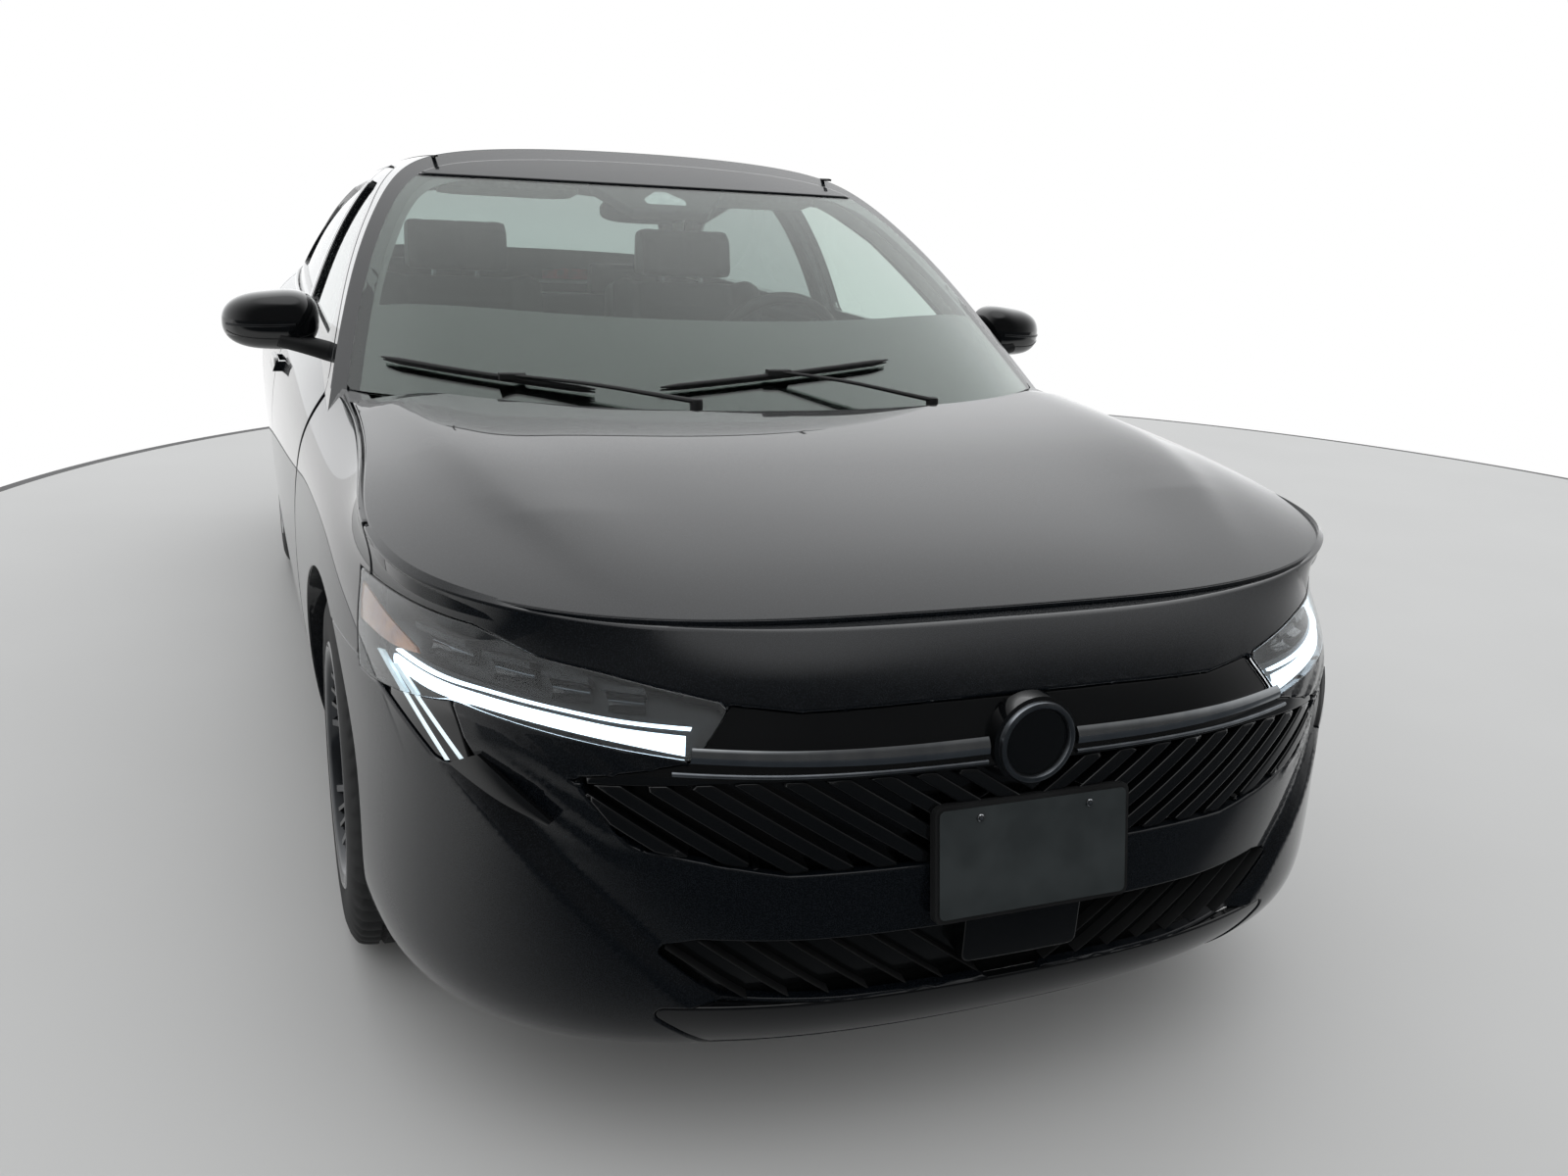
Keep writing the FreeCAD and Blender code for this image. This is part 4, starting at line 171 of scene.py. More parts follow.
GRILLE_SHARES = [
    (-.460, .417, .3), (.460, .417, .3), (.690, .409, .2), (.620, .352, .6), (.395, .326, .3),
    (-.395, .326, .3), (-.620, .352, .6), (-.690, .409, .2)]
INTAKE_SHARES = [
    (-.520, .258, .6), (.520, .258, .6), (.585, .247, .2), (.484, .191, .2), (-.484, .191, .2),
    (-.585, .247, .2)]


# Spline nets, as in the part's source
def keyed(keys, column):
    known = sorted(keys)
    return float(np.interp(column, known, [keys[k] for k in known]))


def basis(count, places, degree=3):
    """Weights of a clamped even spline's poles at these places."""
    t = np.clip(np.asarray(places, float).ravel(), 0, 1)
    knots = np.concatenate([np.zeros(degree), np.linspace(0, 1, count - degree + 1), np.ones(degree)])
    span = np.clip(np.searchsorted(knots, t, side="right") - 1, degree, count - 1)
    local = np.ones((len(t), 1))
    for q in range(1, degree + 1):
        wider = np.zeros((len(t), q + 1))
        for r in range(q):
            low, high = knots[span + r + 1 - q], knots[span + r + 1]
            part = local[:, r] / (high - low)
            wider[:, r] += (high - t) * part
            wider[:, r + 1] += (t - low) * part
        local = wider
    full = np.zeros((len(t), count))
    rows = np.arange(len(t))
    for r in range(degree + 1):
        full[rows, span - degree + r] = local[:, r]
    return full


class Net:
    """A clamped spline surface on rows of poles; u runs along a row and v over the rows."""

    def __init__(self, poles):
        self.poles = np.array(poles, float)

    def at(self, u, v):
        rows, columns = self.poles.shape[:2]
        across = np.einsum("nj,ijk->nik", basis(columns, u), self.poles)
        return np.einsum("ni,nik->nk", basis(rows, v), across)

    def normal(self, u, v, step=2e-3):
        du = self.at(np.minimum(u + step, 1), v) - self.at(np.maximum(u - step, 0), v)
        dv = self.at(u, np.minimum(v + step, 1)) - self.at(u, np.maximum(v - step, 0))
        n = np.cross(du, dv)
        return n / np.maximum(np.linalg.norm(n, axis=1, keepdims=True), 1e-12)

    def over(self, x, y):
        """Heights at places in the plan, for a net whose rows lie at one y and columns at one x."""
        t = np.linspace(0, 1, 801)
        xs = basis(self.poles.shape[1], t) @ self.poles[0, :, 0]
        ys = basis(self.poles.shape[0], t) @ self.poles[:, 0, 1]
        return self.at(np.interp(x, xs, t), np.interp(y, ys, t))[:, 2]


def both_halves(half):
    """A whole row of places from the half that starts in the middle."""
    return [(-a, b) for a, b in reversed(half[1:])] + half


def field_net(across_shares, stations, heights):
    rows = []
    for station, row in zip(stations, heights):
        rows.append([at(a, station, h) for a, h in both_halves(list(zip(across_shares, row)))])
    return Net(rows)


def screen_net(shares):
    rows = []
    for height, stations in shares:
        rows.append([at(a, s, height) for a, s in both_halves(list(zip(SCREEN_ACROSS_SHARES, stations)))])
    return Net(rows)


def cabin_net(depth=0.0):
    rows = []
    for station, section in zip(CABIN_STATIONS, CABIN_SECTION_SHARES):
        half = [at(a, station, h) for a, h in section]
        moved = []
        for i, pole in enumerate(half):
            run = half[min(i + 1, len(half) - 1)] - half[max(i - 1, 0)]
            if i == len(half) - 1:
                run = np.array([-1.0, 0, 0])
            side = np.array([-run[2], 0, run[0]])
            moved.append(pole + side / np.linalg.norm(side) * depth)
        rows.append([p * (-1, 1, 1) for p in moved[:-1]] + moved[::-1])
    return Net(rows)


BONNET = field_net(BONNET_ACROSS_SHARES, BONNET_STATIONS, BONNET_HEIGHT_SHARES)
DECK = field_net(DECK_ACROSS_SHARES, DECK_STATIONS, DECK_HEIGHT_SHARES)
WINDSCREEN, BACK_WINDOW = screen_net(WINDSCREEN_SHARES), screen_net(BACK_WINDOW_SHARES)
CABIN, CABIN_PANE, CABIN_FRAME = cabin_net(), cabin_net(GLASS_INSET), cabin_net(FRAME_SKIN)


def laid_waist():
    poles = np.array([at(*place) for place in WAIST_SHARES])
    count = len(poles)
    inner = count - 3
    knots = [0, 0, 0] + [i / inner for i in range(inner + 1)] + [1, 1, 1]
    middles = np.array([sum(knots[c + 1:c + 4]) / 3 for c in range(count)])
    stations = np.array([s for _, s, _ in WAIST_SHARES])
    for _ in range(4):
        here = basis(count, middles) @ poles
        for field, chosen in ((BONNET, stations < 1.2), (DECK, stations > 2.5)):
            poles[chosen, 2] += field.over(here[chosen, 0], here[chosen, 1]) - here[chosen, 2]
    return poles


WAIST_POLES = laid_waist()


def wrap_net():
    rows = []
    for heights, widths, nose_in, tail_in in WRAP_ROW_SHARES:
        row = []
        for column, (across, station) in enumerate(WRAP_COLUMN_SHARES):
            nose = max(0, 1 - max(0, column - 2) / 5)
            tail = max(0, 1 - max(0, LAST - column - 2) / 5)
            moved = station + nose_in * nose if station < 1.2 else station - tail_in * tail
            row.append(at(across * keyed(widths, column), moved, keyed(heights, column)))
        rows.append(row)
    return Net(rows + [list(WAIST_POLES)])


WRAP = wrap_net()
WAIST_LINE = basis(len(WAIST_POLES), np.linspace(0, 1, 500)) @ WAIST_POLES


def waist_height(y):
    return np.interp(y, WAIST_LINE[:, 1], WAIST_LINE[:, 2])


# Regions of the skin: signed distances in metres, positive inside
PLANES = {"side": (1, 2), "front": (0, 2)}


def rounded_line(corners, arc=7):
    """A closed line through corners (a, b, radius) with arcs."""
    points = [np.array(c[:2], float) for c in corners]
    line = []
    for i, corner in enumerate(corners):
        here, before, after = points[i], points[i - 1], points[(i + 1) % len(points)]
        one, two = before - here, after - here
        reach = min(np.linalg.norm(one), np.linalg.norm(two))
        one, two = one / np.linalg.norm(one), two / np.linalg.norm(two)
        turn = math.acos(max(-1, min(1, float(one @ two))))
        back = min(corner[2] / math.tan(turn / 2), 0.45 * reach)
        if back < 0.01 * reach:
            line.append(here)
            continue
        radius = back * math.tan(turn / 2)
        middle = here + (one + two) / np.linalg.norm(one + two) * (radius / math.sin(turn / 2))
        start, end = here + one * back - middle, here + two * back - middle
        sweep = math.pi - turn
        sign = np.sign(start[0] * end[1] - start[1] * end[0])
        for k in range(arc):
            a = sign * sweep * k / (arc - 1)
            c, s = math.cos(a), math.sin(a)
            line.append(middle + np.array([c * start[0] - s * start[1], s * start[0] + c * start[1]]))
    return np.array(line)


def line_distance(line, q):
    """Signed distance of points to a closed line, positive inside."""
    a, b = line, np.roll(line, -1, axis=0)
    run = b - a
    best = np.full(len(q), np.inf)
    inside = np.zeros(len(q), bool)
    for p0, p1, r in zip(a, b, run):
        w = q - p0
        t = np.clip((w @ r) / max(r @ r, 1e-18), 0, 1)
        best = np.minimum(best, np.sum((w - t[:, None] * r) ** 2, axis=1))
        crosses = (p0[1] > q[:, 1]) != (p1[1] > q[:, 1])
        if crosses.any() and r[1]:
            inside ^= crosses & (q[:, 0] < p0[0] + (q[:, 1] - p0[1]) * r[0] / r[1])
    return np.where(inside, 1, -1) * np.sqrt(best)


def outline(shares, plane):
    """A region inside an outline of shares, as in the part's source."""
    if plane == "side":
        corners = [(along(s), h * HIGH, r * EDGE_ROUND) for s, h, r in shares]
    else:
        corners = [(a * HALF, h * HIGH, r * EDGE_ROUND) for a, h, r in shares]
    line = rounded_line(corners)
    axes = PLANES[plane]
    return lambda p: line_distance(line, p[:, axes])


def spline_line(points, count=160, degree=3):
    return basis(len(points), np.linspace(0, 1, count), degree) @ np.array(points)


def strip(front_shares, back_shares):
    """A region in the plan between two curves from the middle out."""
    def curve(shares):
        return spline_line(both_halves([(a * HALF, along(s)) for a, s in shares]), 60)
    line = np.concatenate([curve(front_shares), curve(back_shares)[::-1]])
    return lambda p: line_distance(line, p[:, (0, 1)])


def plan_of_waist():
    half = WAIST_LINE[:, :2][::2]
    line = np.concatenate([half, half[::-1] * (-1, 1)])
    return lambda p: line_distance(line, p[:, (0, 1)])


def screen_gap(net, facing):
    """How far a point lies behind (facing 1) or ahead (facing -1) of a screen's surface."""
    t = np.linspace(0, 1, 801)
    xs = basis(net.poles.shape[1], t) @ net.poles[0, :, 0]
    zs = basis(net.poles.shape[0], t) @ net.poles[:, 0, 2]

    def distance(p):
        here = net.at(np.interp(p[:, 0], xs, t), np.interp(p[:, 2], zs, t))
        return (p[:, 1] - here[:, 1]) * facing * 0.55
    return distance


def under_cabin(net):
    """How deep a point lies under the cabin's surface."""
    t = np.linspace(0, 1, 801)
    ys = basis(net.poles.shape[0], t) @ net.poles[:, 0, 1]

    def depth(p):
        v = np.interp(p[:, 1], ys, t)
        low, high = np.full(len(p), 0.5), np.ones(len(p))
        for _ in range(22):
            middle = (low + high) / 2
            out = net.at(middle, v)[:, 0] > np.abs(p[:, 0])
            high = np.where(out, middle, high)
            low = np.where(out, low, middle)
        here = net.at(low, v)
        n = net.normal(low, v)
        return (here[:, 2] - p[:, 2]) * np.abs(n[:, 2])
    return depth


def arch_out(station, radius):
    y = along(station)
    return lambda p: np.hypot(p[:, 1] - y, p[:, 2] - AXLE_HIGH) - radius


IN_WAIST = plan_of_waist()
BEHIND_WINDSCREEN, AHEAD_OF_BACK = screen_gap(WINDSCREEN, 1), screen_gap(BACK_WINDOW, -1)
UNDER_FRAME = under_cabin(CABIN_FRAME)
IN_FRONT_DOOR, IN_REAR_DOOR = outline(FRONT_DOOR_SHARES, "side"), outline(REAR_DOOR_SHARES, "side")
IN_FRONT_PANE, IN_REAR_PANE = outline(FRONT_PANE_SHARES, "side"), outline(REAR_PANE_SHARES, "side")
IN_HEADLAMP_FACE, IN_HEADLAMP_END = outline(HEADLAMP_SHARES, "front"), outline(HEADLAMP_END_SHARES, "side")
IN_GRILLE, IN_INTAKE = outline(GRILLE_SHARES, "front"), outline(INTAKE_SHARES, "front")
IN_LID_PLAN = strip(LID_FRONT_SHARES, [(a, 3.2) for a, _ in LID_FRONT_SHARES])
IN_LID_BACK = outline(LID_BACK_SHARES, "front")
IN_TAIL_FACE = outline(TAIL_LAMP_SHARES, "front")
IN_BODY_SIDE, IN_FENDER = outline(BODY_SIDE_SHARES, "side"), outline(FENDER_SHARES, "side")
IN_BUMPER, IN_REAR_BUMPER = outline(BUMPER_SHARES, "side"), outline(REAR_BUMPER_SHARES, "side")
IN_BONNET = strip([(a, -.2) for a in (0, .5, 1.05)] + [(1.06, -.2)], BONNET_BACK_SHARES)


def headlamp_region(p):
    return np.minimum(IN_HEADLAMP_FACE(p), IN_HEADLAMP_END(p))


def tail_region(p):
    return np.minimum(IN_TAIL_FACE(p), p[:, 1] - along(TAIL_LAMP_FRONT))


def lid_region(p):
    return np.minimum(IN_LID_PLAN(p), IN_LID_BACK(p))


def outside_doors(p):
    return np.minimum(-IN_FRONT_DOOR(p), -IN_REAR_DOOR(p)) - GAP


def above_waist(p):
    return p[:, 2] - waist_height(p[:, 1]) + 0.004


def lowest(*values):
    return np.minimum.reduce(values)


# Meshes of the skin
def split_at(uv, values, tris, level, measure, drop):
    """Cuts a net of triangles along the line where measure equals level."""
    over = values > level
    if drop:
        tris = tris[over[tris].any(axis=1)]
    mixed = over[tris].any(axis=1) & ~over[tris].all(axis=1)
    cut = tris[mixed]
    if not len(cut):
        return uv, values, tris
    lone = np.where(over[cut].sum(axis=1) == 1, over[cut].argmax(axis=1), (~over[cut]).argmax(axis=1))
    rows = np.arange(len(cut))
    a, b, c = cut[rows, lone], cut[rows, (lone + 1) % 3], cut[rows, (lone + 2) % 3]
    pairs = np.concatenate([np.sort(np.stack([a, b], 1), axis=1), np.sort(np.stack([a, c], 1), axis=1)])
    edges, index = np.unique(pairs, axis=0, return_inverse=True)
    index = index.ravel()
    p, q = uv[edges[:, 0]], uv[edges[:, 1]]
    fp, fq = values[edges[:, 0]] - level, values[edges[:, 1]] - level
    lo, hi = np.zeros(len(edges)), np.ones(len(edges))
    flo, fhi = fp.copy(), fq.copy()
    t = flo / (flo - fhi)
    for _ in range(4):
        f = measure(p + (q - p) * t[:, None]) - level
        same = np.sign(f) == np.sign(flo)
        lo, flo = np.where(same, t, lo), np.where(same, f, flo)
        hi, fhi = np.where(same, hi, t), np.where(same, fhi, f)
        share = np.clip(flo / np.where(flo == fhi, 1, flo - fhi), 0.05, 0.95)
        t = np.clip(lo + (hi - lo) * share, 0.001, 0.999)
    fresh = p + (q - p) * t[:, None]
    ab, ac = index[:len(cut)] + len(uv), index[len(cut):] + len(uv)
    alone = np.stack([a, ab, ac], 1)
    rest = np.concatenate([np.stack([ab, b, c], 1), np.stack([ab, c, ac], 1)])
    if drop:
        keep_alone = over[a]
        alone, rest = alone[keep_alone], rest[~np.concatenate([keep_alone, keep_alone])]
    uv = np.concatenate([uv, fresh])
    values = np.concatenate([values, np.full(len(fresh), level)])
    return uv, values, np.concatenate([tris[~mixed], alone, rest])


def grid(u_pair, v_pair, counts):
    u, v = np.meshgrid(np.linspace(*u_pair, counts[0] + 1), np.linspace(*v_pair, counts[1] + 1))
    uv = np.stack([u.ravel(), v.ravel()], 1)
    i, j = np.meshgrid(np.arange(counts[0]), np.arange(counts[1]))
    a = (j * (counts[0] + 1) + i).ravel()
    b, c, d = a + 1, a + counts[0] + 2, a + counts[0] + 1
    even = ((i + j) % 2 == 0).ravel()[:, None]
    one = np.where(even, np.stack([a, b, c], 1), np.stack([a, b, d], 1))
    two = np.where(even, np.stack([a, c, d], 1), np.stack([b, c, d], 1))
    return uv, np.concatenate([one, two])


ROLL_STEPS = (-0.0004, 0.0006, 0.0018, 0.0036)


def skin(net, region, u_pair, v_pair, counts, lift=0.001, roll=0.0036, flange=0.010, flip=False, carve=None,
         thick=None, hard=None):
    """A trimmed layer of a net: points, triangles and normals, with its edges rolled in and turned down."""
    uv, tris = grid(u_pair, v_pair, counts)
    measure = lambda w: region(net.at(w[:, 0], w[:, 1]))
    if hard is not None:
        measure_hard = lambda w: hard(net.at(w[:, 0], w[:, 1]))
        uv, _, tris = split_at(uv, measure_hard(uv), tris, 0.0, measure_hard, True)
    values = measure(uv)
    for step, level in enumerate(ROLL_STEPS if roll else ROLL_STEPS[:1]):
        uv, values, tris = split_at(uv, values, tris, level, measure, step == 0)
    used = np.unique(tris)
    order = np.full(len(uv), -1)
    order[used] = np.arange(len(used))
    uv, values, tris = uv[used], values[used], order[tris]
    points = net.at(uv[:, 0], uv[:, 1])
    normals = net.normal(uv[:, 0], uv[:, 1])
    if flip:
        normals, tris = -normals, tris[:, ::-1]
    if carve is not None:
        depth = carve(points)
        points = points + normals * depth[:, None]
        normals = bent(points, tris, normals)
    out = outward(points, tris, values, normals)
    if roll:
        t = np.clip((roll - values) / (roll + 0.0004), 0, 1)
        drop = roll * (1 - np.sqrt(np.maximum(0, 1 - t ** 2)))
        points = points + normals * (lift - drop)[:, None]
        tilt = np.arcsin(np.clip(t, 0, 0.98))[:, None]
        rim_normals = normals * np.cos(tilt) + out * np.sin(tilt)
    else:
        points = points + normals * lift
        rim_normals = normals.copy()
    loop = rim_edges(tris)
    loop = loop[(np.abs(points[loop][:, :, 0]) > 1e-6).any(axis=1)]
    ring = np.unique(loop)
    place = {int(k): n for n, k in enumerate(ring)}
    base = len(points)
    depth = thick if thick else flange
    turned = points[ring] - normals[ring] * depth
    rim_out = out[ring]
    blank = np.linalg.norm(rim_out, axis=1) < 0.5
    rim_out[blank] = normals[ring][blank]
    points = np.concatenate([points, points[ring], turned])
    rim_normals = np.concatenate([rim_normals, rim_out, rim_out])
    count = len(ring)
    a = np.array([place[int(k)] for k in loop[:, 0]]) + base
    b = np.array([place[int(k)] for k in loop[:, 1]]) + base
    tris = np.concatenate([tris, np.stack([b, a, a + count], 1), np.stack([b, a + count, b + count], 1)])
    if thick:
        inner = points[:base] - normals * thick
        tris = np.concatenate([tris, tris[:len(tris) - 2 * len(loop)][:, ::-1] + len(points)])
        points = np.concatenate([points, inner])
        rim_normals = np.concatenate([rim_normals, -normals])
    return points, tris, rim_normals


def bent(points, tris, normals):
    """Normals of the carved surface, from its triangles."""
    a, b, c = points[tris[:, 0]], points[tris[:, 1]], points[tris[:, 2]]
    face = np.cross(b - a, c - a)
    total = np.zeros_like(points)
    for k in range(3):
        np.add.at(total, tris[:, k], face)
    size = np.linalg.norm(total, axis=1, keepdims=True)
    return np.where(size > 1e-14, total / np.maximum(size, 1e-14), normals)


def outward(points, tris, values, normals):
    """The direction in which the distance to the rim falls fastest, along the surface."""
    a, b, c = points[tris[:, 0]], points[tris[:, 1]], points[tris[:, 2]]
    n = np.cross(b - a, c - a)
    area = np.maximum(np.sum(n * n, axis=1), 1e-16)[:, None]
    slope = (values[tris[:, 0], None] * np.cross(n, c - b) + values[tris[:, 1], None] * np.cross(n, a - c)
             + values[tris[:, 2], None] * np.cross(n, b - a)) / area
    weight = np.sqrt(area)
    total = np.zeros_like(points)
    for k in range(3):
        np.add.at(total, tris[:, k], -slope * weight)
    total -= normals * np.sum(total * normals, axis=1, keepdims=True)
    size = np.linalg.norm(total, axis=1, keepdims=True)
    return np.where(size > 1e-12, total / np.maximum(size, 1e-12), 0)


def rim_edges(tris):
    """The directed edges that only one triangle has."""
    edges = np.concatenate([tris[:, (0, 1)], tris[:, (1, 2)], tris[:, (2, 0)]])
    keys = np.sort(edges, axis=1)
    _, index, counts = np.unique(keys, axis=0, return_inverse=True, return_counts=True)
    return edges[counts[index.ravel()] == 1]


def reflect(layer):
    points, tris, normals = layer
    return points * (-1, 1, 1), tris[:, ::-1], normals * (-1, 1, 1)


def joined(*layers):
    points, tris, normals = [], [], []
    start = 0
    for p, t, n in layers:
        points.append(p)
        tris.append(t + start)
        normals.append(n)
        start += len(p)
    return np.concatenate(points), np.concatenate(tris), np.concatenate(normals)


def paired(layer):
    """A layer and its mirror image."""
    return joined(layer, reflect(layer))


def layer_piece(name, layer, material, body):
    """A mesh object from points, triangles and their own normals."""
    points, tris, normals = layer
    mesh = bpy.data.meshes.new(name)
    mesh.from_pydata(points.tolist(), [], tris.tolist())
    mesh.update()
    mesh.polygons.foreach_set("use_smooth", np.ones(len(tris), bool))
    mesh.normals_split_custom_set_from_vertices(normals.tolist())
    return placed(name, mesh, material, body)


def placed(name, mesh, material, body):
    piece = bpy.data.objects.new(name, mesh)
    bpy.context.scene.collection.objects.link(piece)
    materials = material if isinstance(material, (list, tuple)) else [material]
    for m in materials:
        mesh.materials.append(m)
    if body:
        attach(piece, body)
    return piece


# Materials: one node helper, colours as sRGB hex turned to linear
def linear(hex_colour):
    values = [int(hex_colour[i:i + 2], 16) / 255 for i in (1, 3, 5)]
    return tuple(v / 12.92 if v <= 0.04045 else ((v + 0.055) / 1.055) ** 2.4 for v in values) + (1.0,)


def add_node(tree, kind, settings=None, links=None):
    """Adds a node, sets its sockets or properties by name, and links sockets to it."""
    node = tree.nodes.new(kind)
    for name, value in (settings or {}).items():
        if name in node.inputs:
            node.inputs[name].default_value = value
        else:
            setattr(node, name, value)
    for name, source in (links or {}).items():
        tree.links.new(source, node.inputs[name])
    return node


def new_material(name, settings):
    material = bpy.data.materials.new(name)
    material.use_nodes = True
    tree = material.node_tree
    tree.nodes.clear()
    shader = add_node(tree, "ShaderNodeBsdfPrincipled", settings)
    add_node(tree, "ShaderNodeOutputMaterial", links={"Surface": shader.outputs[0]})
    material.diffuse_color = settings.get("Base Color", (0.5, 0.5, 0.5, 1))
    return material, tree, shader


def place_of(tree):
    return add_node(tree, "ShaderNodeTexCoord").outputs["Object"]


def mapped(tree, value, span, levels=(0, 1), kind="SMOOTHSTEP"):
    """A value carried from one span to another."""
    return add_node(tree, "ShaderNodeMapRange", {
        "interpolation_type": kind, "From Min": span[0], "From Max": span[1], "To Min": levels[0],
        "To Max": levels[1]}, {"Value": value}).outputs[0]


def computed(tree, kind, one, two):
    return add_node(tree, "ShaderNodeMath", {"operation": kind}, {0: one, 1: two}).outputs[0]


def blended(tree, factor, one, two):
    return add_node(tree, "ShaderNodeMixShader", links={"Fac": factor, 1: one, 2: two}).outputs[0]


def two_tone(tree, factor, one, two, span=(0, 1)):
    """A colour that runs from one hex value to another over a span of the factor."""
    ramp = add_node(tree, "ShaderNodeValToRGB", links={"Fac": factor})
    for stop, place, colour in zip(ramp.color_ramp.elements, span, (one, two)):
        stop.position, stop.color = place, linear(colour)
    return ramp.outputs["Color"]


def noise_of(tree, size_mm, detail):
    return add_node(tree, "ShaderNodeTexNoise", {"Scale": 1000 / size_mm, "Detail": detail},
                    {"Vector": place_of(tree)}).outputs["Fac"]


def raised(tree, shader, height, strength, depth_mm):
    bump = add_node(tree, "ShaderNodeBump", {"Strength": strength, "Distance": depth_mm / 1000},
                    {"Height": height})
    tree.links.new(bump.outputs["Normal"], shader.inputs["Normal"])


def grain(tree, shader, size_mm, strength, depth_mm, roughness=None):
    """A fine noise in the surface, its grain size in millimetres."""
    noise = noise_of(tree, size_mm, 3.0)
    raised(tree, shader, noise, strength, depth_mm)
    if roughness:
        tree.links.new(mapped(tree, noise, (0, 1), roughness, "LINEAR"), shader.inputs["Roughness"])


def cells(tree, shader, size_mm, strength, depth_mm, feature="F1"):
    """Small cells in the surface, their size in millimetres."""
    found = add_node(tree, "ShaderNodeTexVoronoi", {"feature": feature, "Scale": 1000 / size_mm},
                     {"Vector": place_of(tree)})
    raised(tree, shader, found.outputs["Distance"], strength, depth_mm)
    return found


def shade_spread(tree, shader, size_mm, dark, light):
    """A slow drift of the base colour between two near shades."""
    tree.links.new(two_tone(tree, noise_of(tree, size_mm, 2.0), dark, light, (0.35, 0.65)),
                   shader.inputs["Base Color"])


